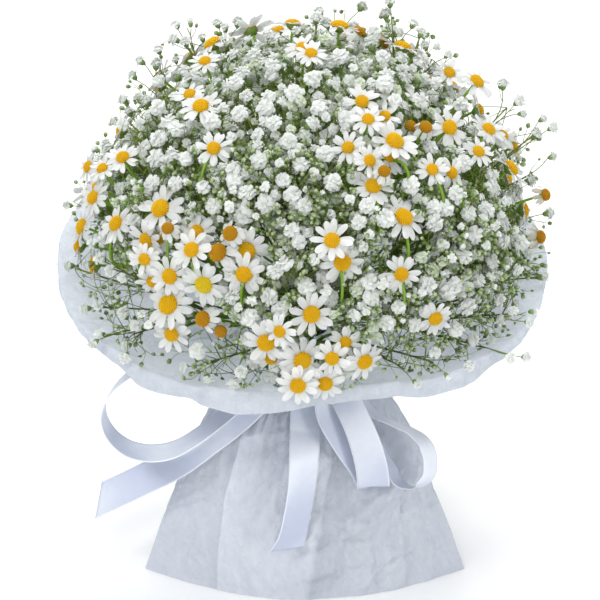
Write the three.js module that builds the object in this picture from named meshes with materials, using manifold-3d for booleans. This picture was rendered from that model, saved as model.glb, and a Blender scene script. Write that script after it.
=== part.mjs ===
// A hand-tied round bunch of daisies with gypsophila, in a tissue wrap with a satin bow.
// Millimetres, +Z up. The origin is on the surface the bunch stands on, under the middle of its box.
// +X is to the right and -Y towards the viewer. The stems cross in a spiral at the tie, and their level cut
// ends stand on z = 0 inside the flared skirt of the wrap, whose hem stands on the same plane.
import * as THREE from 'three';
import Module from 'manifold-3d';

const wasm = await Module();
wasm.setup();

// ---- driving dimensions ----
const ORIGIN = [3.75, 1.1, 0];                    // moves the whole bunch so that its box stands over the origin
const HEAD_TILT = 12 * Math.PI / 180;            // the head leans this much towards the viewer
const RIM_CENTRE = [-4.5, 0, 206];               // centre of the collar's rim
const WAIST_Z = 146.5;                           // height of the tie
const WAIST_XY = [-4.5, 12.5];                   // where the stems cross
const FOOT_XY = [-4, -4];                        // centre of the cut ends
const SPIRAL = 0.0150;                           // spiral lay of the stems, radians per mm along the stem at the tie
const DAISY_STEM_R = 1.3, GYP_STEM_R = 1.15;     // main stems
const DAISY_TWIG_R = 0.95, GYP_TWIG_R = 0.7;     // side branches
const DISC_RISE = 4.2;                           // how far a daisy's yellow dome rises over its petals
const BINDING = { rIn: 11.9, rOut: 13.2, z0: 139.5, z1: 149.5 };
const SHEET = 1.0;                               // thickness that a sheet of tissue is given here
const COLLAR_NECK_R = 15.2;
const SKIRT_NECK_R = 16.7;
const SKIRT_TOP = 157.8;
const BAND = { rIn: 17.1, rOut: 18.2, z0: 136.8, z1: 156.6 };
const RIBBON_W = 20, RIBBON_T = 0.9;
const KNOT = { c: [-0.5, -15.6, 149.5], r: [9.5, 9.4, 9.5] };

// ---- sprays: where a main stem crosses the tie (x, y from the crossing), then four points up to its fork ----
// the first 19 are daisy stems, the other 21 gypsophila
const DAISY_SPRAYS = 19;
const SPRAYS = [
  [0.96, 17.33, 0.4, 17.7, 162, 5, 29.6, 188, 11.7, 49.9, 211.2, 18.5, 67, 231.9],
  [-6.42, 4.56, -5.1, 2.3, 162, -2.6, -18.5, 176.7, -0.7, -50.7, 180.6, 0.7, -78.7, 185.2],
  [-0.52, 9.66, 0.3, 9.4, 162, 11.3, -0.6, 192.4, 28.7, -17.1, 219.9, 43.8, -31.1, 244.4],
  [-9.37, 9.66, -9.3, 7.8, 162, -21, -7.2, 186, -41.5, -30.3, 202.9, -59.1, -49.6, 218.7],
  [-9.37, 4.56, -8.2, 1.5, 162, -11.7, -17.8, 177.2, -19.9, -47.2, 182.9, -26.9, -72.7, 189],
  [-6.42, 14.77, -6.9, 13.8, 162, -10.9, 16.8, 197.2, -16.4, 24.5, 233, -21.4, 31, 264.4],
  [-7.89, 12.22, -8, 10.8, 162, -12.6, 3.7, 197.7, -20.1, -5.7, 233.8, -26.9, -13.6, 265.4],
  [-3.47, 19.88, -4.7, 19.6, 162, -8.7, 32.3, 188, -13.6, 55.8, 203.8, -17.6, 75.5, 220.9],
  [-12.32, 14.77, -13.9, 12.7, 162, -31.3, 8.9, 179, -59.8, 6.2, 187.9, -84.4, 4, 196.8],
  [-7.89, 7.11, -7.2, 5.3, 162, -13.1, -12.7, 186.6, -24.6, -40.3, 205.1, -34.5, -63.9, 221.9],
  [2.43, 9.66, 3.5, 10, 162, 21, 10.7, 184.3, 49.1, 11.3, 200.8, 73.3, 11.7, 215.8],
  [-9.37, 19.88, -11.1, 18.5, 162, -25.4, 24.3, 188.1, -46.8, 38.6, 199.7, -65.2, 50.3, 214.5],
  [-3.47, 9.66, -2.9, 9, 162, 3, -5, 194.3, 12.2, -27, 224.2, 20, -45.8, 250.7],
  [-0.52, 14.77, -0.7, 14.7, 162, 7, 17.8, 195.6, 20.1, 23, 229.1, 31.6, 27.7, 258.4],
  [-6.42, 19.88, -7.8, 19.1, 162, -18.9, 24.2, 191.5, -35, 34, 219.6, -48.7, 43.1, 244.3],
  [-1.99, 7.11, -0.7, 6.3, 162, 5.4, -12.1, 185.2, 14.7, -42.3, 200.7, 22.7, -68, 215.4],
  [3.91, 17.33, 3.6, 18.3, 162, 14.5, 26, 189.8, 33.4, 39.7, 206, 49.9, 51, 223.8],
  [-9.37, 14.77, -10.1, 13.3, 162, -27.1, 7.6, 186.4, -54.7, 0.4, 205.2, -78.4, -5.2, 222.5],
  [-12.32, 9.66, -12.8, 6.8, 162, -22.2, -11.4, 179.9, -38.6, -38.2, 189.3, -53.2, -61, 198.5],
  [-7.89, 17.33, -9, 16.2, 162, -21.6, 14, 187.2, -41.1, 12.3, 210.5, -57.7, 11.4, 231.2],
  [-1.99, 12.22, -1.8, 11.9, 162, 4.2, 5.5, 191.4, 13.9, -4.2, 220.5, 22.3, -12.3, 246.2],
  [-1.99, 17.33, -2.8, 17.1, 162, -1.7, 25.3, 187, 1.1, 39.1, 211.2, 3.6, 51.1, 232.5],
  [-4.94, 22.44, -7, 22.1, 162, -16.4, 27, 190.2, -30.3, 41.5, 195.1, -41.7, 52.7, 208.5],
  [-6.42, 9.66, -5.9, 8.6, 162, -7.9, -6.5, 187.1, -11.9, -29.3, 209, -15.4, -48.6, 228.7],
  [3.91, 12.22, 4.6, 12.9, 162, 17.2, 18.1, 179.3, 37.6, 26.8, 189.8, 55.2, 33.6, 200.4],
  [-3.47, 14.77, -3.8, 14.2, 162, -4.7, 16.4, 192, -5.7, 21.1, 222.9, -6.5, 25.2, 249.9],
  [-0.52, 4.56, 1.8, 3.5, 162, 15.4, -7.6, 175.7, 36.6, -25.4, 180.4, 55.1, -41.4, 184.1],
  [0.96, 7.11, 2.4, 6.8, 162, 14.1, -3, 182, 31.9, -19.2, 197.5, 47.3, -33.1, 211.4],
  [-10.84, 12.22, -11.1, 10.2, 162, -20.8, -1.5, 185.4, -36.4, -17.8, 205.7, -50.1, -31.5, 223.8],
  [-10.84, 7.11, -10.6, 4.3, 162, -14, -12.7, 173.3, -19.9, -38.3, 175.3, -26, -60.4, 178.1],
  [0.96, 12.22, 1.2, 12.3, 162, 16.5, 12.4, 185.4, 41.3, 12.5, 204.6, 62.6, 12.6, 221.9],
  [-0.52, 19.88, -1.7, 20.1, 162, 1.6, 29.7, 187.5, 8.9, 49.2, 194.7, 15, 64.7, 207.9],
  [-13.79, 12.22, -14.4, 9.4, 162, -27.8, -1.2, 175.3, -49.4, -15.6, 180.7, -68.5, -27.6, 186],
  [-3.47, 4.56, -1.9, 3, 162, 5.9, -12.5, 174, 16.8, -37.1, 176.8, 26.1, -58.4, 180.5],
  [-4.94, 12.22, -4.9, 11.5, 162, -7.3, 2.1, 192, -11.2, -11.7, 221.8, -14.6, -23.2, 248.1],
  [-4.94, 17.33, -5.9, 16.6, 162, -13.5, 20.4, 189.5, -24.9, 27.6, 216.7, -34.5, 34.2, 240.5],
  [-10.84, 17.33, -12.2, 15.6, 162, -26.6, 16.1, 179.6, -49, 19.9, 189.6, -68.2, 23.3, 200.2],
  [2.43, 14.77, 2.4, 15.2, 162, 9.5, 18.9, 189.4, 21.3, 24.2, 216.4, 32, 28.9, 240],
  [-4.94, 7.11, -3.9, 6, 162, -2.1, -10.9, 181.4, -0.5, -36.9, 195.3, 0.9, -59.1, 208.1],
  [3.91, 7.11, 5.5, 7.4, 162, 20.8, 4.9, 176, 44.3, 0.4, 183.4, 64.7, -3.9, 190.5],
];

// ---- daisy heads: stem, centre x y z, facing x y z, petal radius, disc radius, kind (1 old, 2 pale),
//      place of the branch on the stem, a point the branch passes, petal radius of the solid ----
const DAISIES = [
  [0, 18.7, 80, 324.9, 0.49, 0.27, 0.83, 13.7, 4.9, 1, 0.9, 8.6, 65.4, 259.6, 13.7],
  [0, 36, 126, 246.5, 0.37, 0.93, 0.02, 13.2, 5.3, 0, 0.746, 21.3, 69.3, 227.6, 13.2],
  [0, 22.8, 102.3, 301.2, 0.42, 0.67, 0.61, 12.8, 5.4, 0, 0.9, 12.8, 70.9, 253, 12.8],
  [0, 36.7, 116.4, 271.7, 0.6, 0.68, 0.43, 11.6, 5.6, 0, 0.9, 18.2, 79.2, 241.9, 11.6],
  [0, 54.8, 92, 296.8, 0.24, 0.76, 0.61, 11.2, 5.5, 0, 0.9, 31.6, 64.4, 250.9, 11.2],
  [1, -6, -139.2, 206.8, 0.19, -0.98, 0.08, 12.7, 5.5, 0, 0.9, -5.4, -90.4, 194, 12.7],
  [1, -0.8, -138, 235.6, 0.23, -0.96, 0.18, 12.5, 5.4, 0, 0.9, -3.8, -88.2, 206.8, 12.5],
  [1, -8.4, -145.5, 193.7, -0.04, -1, -0.02, 11.7, 5, 0, 0.9, -3.5, -92.8, 188.8, 11.7],
  [1, 30.1, -134.7, 204, 0.48, -0.87, -0.13, 11.6, 5, 0, 0.9, 8.7, -89.5, 195.5, 11.6],
  [1, 7.4, -137.1, 191, 0.12, -0.98, -0.13, 11.1, 4.8, 0, 0.9, 2.3, -90.1, 188.8, 11.1],
  [1, 11.4, -142.4, 209.6, 0.03, -1, 0.02, 10.1, 4.4, 0, 0.9, 5.3, -91, 196.2, 10.1],
  [1, 19, -133.3, 215.6, 0.1, -0.99, 0.08, 9.5, 4, 0, 0.9, 8.3, -87.3, 198.5, 9.5],
  [1, -18.7, -145.2, 228, -0.44, -0.9, -0.04, 9.5, 4, 0, 0.9, -2.3, -92.1, 206.3, 9.5],
  [2, 81.1, -47.9, 315.9, 0.34, -0.73, 0.6, 11.4, 4.9, 0, 0.9, 53.9, -24.8, 265.5, 11.4],
  [2, 66.4, -61.1, 321, 0.35, -0.51, 0.79, 9.9, 4.3, 1, 0.976, 50.4, -45.5, 265.8, 9.9],
  [2, 81.6, -73.9, 297.6, 0.59, -0.67, 0.45, 9.5, 4, 0, 0.9, 50.4, -39.2, 259.1, 9.5],
  [2, 57.8, -52.7, 318.4, 0.21, -0.55, 0.81, 9.5, 4, 1, 0.914, 46.1, -31.3, 266.5, 9.5],
  [2, 98.8, -42.7, 298.5, 0.38, -0.5, 0.78, 9.5, 4, 0, 0.9, 62.4, -26.3, 254.5, 9.5],
  [2, 70, -82.6, 303, 0.19, -0.62, 0.76, 9.5, 4, 0, 0.9, 50.7, -44, 256.4, 9.5],
  [3, -88.6, -90, 281.4, -0.38, -0.63, 0.68, 13.5, 5.8, 0, 0.9, -64.4, -56, 236.1, 13.5],
  [3, -115.8, -68, 262.6, -0.67, -0.42, 0.6, 12, 5.1, 0, 0.9, -74, -48.7, 228.6, 12],
  [3, -97, -92.5, 262.8, -0.67, -0.74, -0.07, 11.5, 4.9, 0, 0.674, -71.7, -104.3, 262.5, 11.5],
  [3, -89.7, -84.7, 260.1, -0.33, -0.63, 0.7, 9.5, 4, 0, 0.9, -66.5, -55.1, 227.2, 9.5],
  [3, -97.9, -104.1, 255.6, -0.36, -0.93, 0.08, 9.5, 4, 0, 0.76, -61.5, -55.6, 223.2, 9.5],
  [3, -84, -106.1, 275.5, -0.2, -0.64, 0.75, 9.5, 4, 1, 0.9, -64.8, -63.6, 231.7, 9.5],
  [4, -26.9, -137.6, 217.6, -0.05, -1, -0.03, 13.1, 5.6, 0, 0.9, -24.9, -85.9, 202.4, 13.1],
  [4, -63.1, -125.8, 226.9, -0.62, -0.71, 0.33, 11.9, 5.1, 1, 0.9, -34.5, -83.7, 201.9, 11.9],
  [4, -53.3, -124.9, 218.8, -0.16, -0.98, 0.13, 9.5, 4, 1, 0.9, -36.6, -80.7, 201, 9.5],
  [4, -24.1, -129.7, 203.7, -0.08, -1, 0, 9.5, 4, 0, 0.9, -23.1, -83.9, 195, 9.5],
  [5, -37.2, 50.4, 341.1, -0.4, 0.78, 0.47, 13.9, 5.2, 0, 0.9, -21.8, 26.7, 288.8, 13.9],
  [5, -21.5, 68.2, 334.6, -0.26, 0.2, 0.94, 13.1, 5, 0, 0.9, -16.3, 45.2, 278.3, 13.1],
  [5, -60, 26.7, 341.1, -0.57, 0.24, 0.79, 12.5, 5.9, 0, 0.9, -30.2, 23.5, 283.2, 12.5],
  [5, -11.6, 28.5, 353.1, 0.1, 0.43, 0.9, 11.5, 5.1, 0, 0.919, -18.1, 25.2, 292.1, 11.5],
  [6, -65.5, -53.7, 331.4, -0.16, -0.42, 0.89, 12, 5.2, 0, 0.9, -42.1, -25, 276.9, 12],
  [6, -6, -21.1, 356.4, -0.16, -0.45, 0.88, 9.5, 4, 0, 0.9, -12.2, -7.6, 288.8, 9.5],
  [6, -72.5, -37.1, 332.7, -0.26, -0.34, 0.9, 9.5, 4, 0, 0.9, -44, -18.1, 277.7, 9.5],
  [6, -64.1, -8.7, 343, -0.22, -0.26, 0.94, 9.5, 4, 0, 0.9, -40.4, -5.1, 282, 9.5],
  [6, -0.7, -33.9, 357.3, 0.07, -0.37, 0.93, 9.5, 4, 0, 0.9, -13.7, -15.3, 287.8, 9.5],
  [7, 12.4, 118.1, 243, 0.1, 0.92, 0.37, 13.5, 5.6, 0, 0.9, -3, 82.3, 224.3, 13.5],
  [7, -25.4, 130.1, 248.7, -0.28, 0.76, 0.58, 13.2, 5.8, 1, 0.9, -17.2, 89.2, 224, 13.2],
  [7, -59.2, 119.2, 251, -0.29, 0.93, 0.24, 13, 5.1, 0, 0.99, -35.1, 82.8, 233.1, 13],
  [7, -6.7, 113.3, 290.3, -0.38, 0.82, 0.44, 12.6, 5.1, 0, 0.9, -5.4, 77.8, 245.4, 12.6],
  [7, -58.6, 105.2, 282.4, -0.19, 0.43, 0.88, 12.6, 5.6, 0, 0.9, -34.4, 79.7, 234.7, 12.6],
  [7, -39.8, 115.4, 277.5, -0.55, 0.76, 0.34, 12.4, 5.8, 1, 0.9, -20, 80.5, 240.8, 12.4],
  [7, -22.9, 127.8, 269.8, 0.11, 0.97, 0.21, 12.2, 5, 1, 0.9, -21.1, 83.8, 239, 12.2],
  [7, -2.3, 125.1, 267.7, 0.28, 0.76, 0.59, 11.7, 5.1, 0, 0.9, -13.1, 85.9, 232.7, 11.7],
  [7, -33.9, 103.6, 298.8, 0.25, 0.27, 0.93, 11.4, 5.5, 0, 0.9, -29, 81.3, 241.4, 11.4],
  [8, -135.8, 20.9, 248.8, -0.74, 0.59, 0.32, 13.3, 4.8, 0, 0.679, -78.8, 3.6, 212.1, 13.3],
  [8, -139.8, -12.3, 237.3, -0.9, -0.2, 0.38, 12.2, 5.2, 0, 0.9, -94.6, -0.9, 209.9, 12.2],
  [8, -132.5, -17.2, 213.9, -1, 0.02, 0.01, 11.8, 5.5, 0, 0.9, -91.9, -6.4, 203.4, 11.8],
  [8, -142.3, 1.8, 219.1, -1, 0.05, 0.03, 11.6, 5.8, 0, 0.9, -95.7, 2.7, 205.8, 11.6],
  [9, -54.1, -120.4, 266.4, -0.54, -0.63, 0.56, 13.4, 5.8, 1, 0.9, -34.2, -78, 232.4, 13.4],
  [9, -37.9, -117.7, 267.1, -0.23, -0.97, -0.01, 13, 5.6, 0, 0.9, -31, -72.1, 241.3, 13],
  [9, -63, -121, 247, -0.29, -0.96, -0.03, 12.7, 5.5, 2, 0.9, -42.7, -74.3, 231.5, 12.7],
  [9, -39.6, -127.4, 256.2, -0.2, -0.97, 0.11, 12, 5.1, 0, 0.9, -32.1, -76.7, 234.1, 12],
  [9, -69.8, -118.4, 267.4, -0.38, -0.71, 0.59, 11.4, 4.9, 0, 0.9, -44.3, -75.3, 232, 11.4],
  [9, -67.2, -104.7, 272.4, -0.41, -0.72, 0.56, 11.4, 4.9, 0, 0.9, -42.9, -69, 235.6, 11.4],
  [9, -47, -125.2, 280.4, -0.37, -0.73, 0.57, 11.2, 4.8, 1, 0.853, -39.6, -78.6, 261.2, 11.2],
  [9, -57.4, -83.5, 316.6, -0.13, -0.69, 0.72, 10.3, 4.4, 0, 0.9, -41.5, -56.3, 252.6, 10.3],
  [10, 106.7, -4.6, 297.8, 0.49, -0.29, 0.82, 10.6, 4.6, 0, 0.9, 76.8, 8.4, 239.8, 10.6],
  [10, 139.4, -5.7, 227.8, 0.88, -0.42, 0.21, 10.3, 4.4, 1, 0.916, 105.6, -4.6, 234.5, 10.3],
  [10, 142.3, 2.2, 252.4, 0.84, -0.4, 0.36, 9.5, 4.1, 1, 0.9, 89.9, 13.1, 225.5, 9.5],
  [10, 116.5, 16, 285.8, 0.41, -0.34, 0.85, 9.5, 4, 0, 0.9, 83.6, 19.2, 234.3, 9.5],
  [10, 124, 24.3, 274.6, 0.87, -0.35, 0.35, 9.5, 4, 0, 0.9, 80.3, 23.3, 236.8, 9.5],
  [10, 120.5, -5.8, 272.8, 0.77, 0.04, 0.64, 13.3, 5.5, 0, 0.9, 80.6, 2.3, 231.7, 13.3],
  [10, 130.1, 16.8, 236.4, 0.99, 0.1, 0.13, 11.6, 5.4, 0, 0.9, 84.4, 13, 221.5, 11.6],
  [10, 121.2, 45.6, 244.3, 0.96, -0.28, -0.1, 11.5, 5.4, 0, 0.9, 79.6, 32.3, 228.3, 11.5],
  [11, -105.1, 88.1, 242.3, -0.79, 0.51, 0.34, 13.7, 5.9, 0, 0.9, -71.5, 60.4, 221.2, 13.7],
  [11, -110.1, 72.9, 261.4, -0.84, 0.52, 0.14, 13.2, 5.5, 0, 0.9, -72.3, 52.1, 233, 13.2],
  [11, -90.5, 92.7, 257, -0.85, 0.3, 0.43, 12.5, 5.7, 1, 0.952, -65, 63.8, 230.4, 12.5],
  [11, -117, 48.5, 276.4, -0.93, 0.37, 0.07, 11.2, 5.7, 0, 0.9, -72.9, 41.3, 241.4, 11.2],
  [12, 47.7, -80.3, 319.7, 0.35, -0.41, 0.84, 13.5, 5.8, 0, 0.657, -6.5, -26, 318.7, 13.5],
  [12, 45, -76, 309.2, 0.43, -0.48, 0.77, 12.3, 5.3, 0, 0.9, 24.7, -50.2, 263.5, 12.3],
  [12, 35.1, -104.7, 301.3, 0.1, -0.57, 0.82, 11.7, 5, 0, 0.9, 24.5, -62.4, 257.8, 11.7],
  [12, 29.1, -63.7, 338.3, 0.07, -0.69, 0.73, 10.1, 4.3, 0, 0.9, 21.8, -39, 276.5, 10.1],
  [12, 32.4, -78.2, 332.7, 0.12, -0.57, 0.82, 9.5, 4, 0, 0.9, 22.6, -48.4, 272.1, 9.5],
  [12, 32.8, -99.1, 315.3, 0.45, -0.68, 0.58, 9.5, 4, 0, 0.9, 17.2, -57.3, 267.9, 9.5],
  [12, 20.7, -90.6, 320, 0.04, -0.72, 0.69, 9.5, 4, 0, 0.9, 18.2, -52.6, 268.7, 9.5],
  [12, 42.7, -61.3, 328, -0.26, -0.55, 0.79, 9.5, 4, 0, 0.9, 34.1, -40.7, 271.2, 9.5],
  [12, 41.3, -107.5, 311.8, 0.14, -0.6, 0.78, 9.5, 4, 1, 0.734, 22.7, -32.9, 296.4, 8.1],
  [13, 100.4, 26.4, 317.1, 0.55, -0.25, 0.8, 11.6, 5, 0, 0.655, 49.3, 28.4, 245.7, 11.6],
  [13, 83.9, 29.2, 322, 0.35, -0.5, 0.79, 9.5, 4, 0, 0.54, 34.5, 40.3, 245.5, 9.5],
  [13, 28.5, 58.8, 336.7, 0.54, 0.25, 0.8, 13.6, 5, 1, 0.9, 18.8, 38.2, 278.5, 13.6],
  [13, 55.1, 27.3, 338.8, 0.33, 0.34, 0.88, 12.6, 5.6, 0, 0.9, 35.5, 20.9, 278.2, 12.6],
  [13, 16.8, 32.6, 350.3, 0.18, 0.27, 0.94, 11.5, 5.8, 0, 0.9, 18.7, 24.4, 281.7, 11.5],
  [13, 63.5, 48.1, 326, 0.62, 0.68, 0.39, 11, 5.7, 0, 0.9, 35.5, 26.4, 280.2, 11],
  [13, 41.2, 42.7, 336.6, 0.72, 0.33, 0.61, 11, 5.8, 1, 0.9, 22.6, 28.9, 281.9, 11],
  [14, -88.5, 79.1, 288.2, -0.33, 0.62, 0.71, 13.1, 4.9, 0, 0.9, -61.3, 50.6, 251.4, 13.1],
  [14, -75.2, 51.5, 322.4, -0.65, 0.64, 0.41, 12.4, 5.1, 0, 0.969, -50.4, 38.2, 276.8, 12.4],
  [14, -51.8, 72.2, 322.7, -0.39, 0.48, 0.78, 12.2, 5.1, 0, 0.637, -28.8, 43.9, 245.7, 12.2],
  [14, -93.3, 56.8, 303.3, -0.92, -0.08, 0.38, 12, 5, 0, 0.9, -54.4, 49.4, 263.2, 12],
  [14, -93.1, 37.6, 314.5, -0.89, 0.3, 0.33, 11.8, 5.6, 0, 0.9, -53.6, 33.6, 269.1, 11.8],
  [14, -67.5, 83.8, 303.1, -0.28, 0.62, 0.73, 11.4, 5.9, 0, 0.9, -51.3, 52.4, 258, 11.4],
  [15, 52.6, -108.5, 283.4, 0.43, -0.48, 0.77, 13.5, 5.8, 0, 0.9, 29.1, -75.2, 233.9, 13.5],
  [15, 17, -129.3, 264.6, 0.32, -0.94, 0.11, 12.6, 5.4, 0, 0.537, 4.8, -49.8, 222.4, 12.6],
  [15, 11.2, -132.4, 279.1, -0.02, -0.75, 0.66, 11.4, 4.9, 0, 0.9, 15.8, -81.9, 232.8, 11.4],
  [15, 51.4, -121.9, 253.8, 0.24, -0.96, 0.15, 10.5, 4.5, 0, 0.9, 32, -75.8, 229.5, 10.5],
  [15, 71.8, -116, 223.1, 0.34, -0.94, -0.1, 10.4, 4.5, 0, 0.9, 40.9, -73.9, 217.7, 10.4],
  [16, 102.2, 76.2, 252.9, 0.44, 0.82, 0.35, 13.8, 5.1, 0, 0.9, 66.9, 50.5, 230.1, 13.8],
  [16, 71.7, 76.4, 299.3, 0.89, 0.32, 0.32, 13.7, 5.3, 0, 0.9, 43.2, 56.4, 252.9, 13.7],
  [16, 102.2, 37, 293.7, 0.99, 0.11, 0.09, 13.4, 5.2, 0, 0.9, 56.1, 39.8, 253.7, 13.4],
  [16, 87.3, 95.1, 248.4, 0.49, 0.73, 0.47, 12.9, 5.8, 0, 0.9, 59.1, 61.4, 226.5, 12.9],
  [16, 86.5, 61.1, 300.1, 0.58, 0.6, 0.56, 12.4, 5.6, 0, 0.9, 55.5, 44, 249.3, 12.4],
  [16, 64.7, 108.4, 259.3, 0.65, 0.71, 0.26, 12.1, 5.8, 0, 0.9, 45.1, 67.7, 234.5, 12.1],
  [16, 88.8, 82.7, 270.2, 0.59, 0.48, 0.65, 11.7, 5.8, 1, 0.988, 63.4, 54.2, 252.4, 11.7],
  [17, -131.7, -25.9, 262, -0.73, -0.46, 0.5, 10.6, 4.6, 0, 0.9, -89.9, -7.9, 231.8, 10.6],
  [17, -112.9, -39, 293.2, -0.27, -0.47, 0.84, 10.1, 4.4, 0, 0.9, -86.5, -13.2, 240.5, 10.1],
  [17, -130.6, -11.1, 261.8, -0.68, -0.58, 0.45, 9.8, 4.2, 0, 0.9, -90.6, 0.9, 232.6, 9.8],
  [17, -136.5, 9.6, 267.9, -0.84, -0.34, 0.43, 9.5, 4, 0, 0.952, -97.8, -1.8, 229.1, 9.5],
  [17, -126.3, -18.4, 277.8, -0.39, -0.26, 0.88, 9.5, 4, 0, 0.9, -91.8, -6.8, 233.6, 9.5],
  [18, -83.9, -113.2, 230.2, -0.44, -0.69, 0.57, 14, 6.2, 0, 0.9, -59.5, -72.9, 204.6, 14],
  [18, -83.1, -111.6, 248, -0.3, -0.93, 0.2, 11.4, 4.9, 0, 0.9, -60.7, -67.6, 218.3, 11.4],
  [18, -82.3, -115.3, 212.5, -0.32, -0.94, 0.08, 10.7, 4.6, 0, 0.9, -60.7, -71.3, 202.6, 10.7],
  [18, -93.6, -99.5, 239.5, -0.27, -0.93, -0.25, 9.5, 4, 0, 0.9, -66.6, -62.5, 220.7, 9.5],
];

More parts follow.
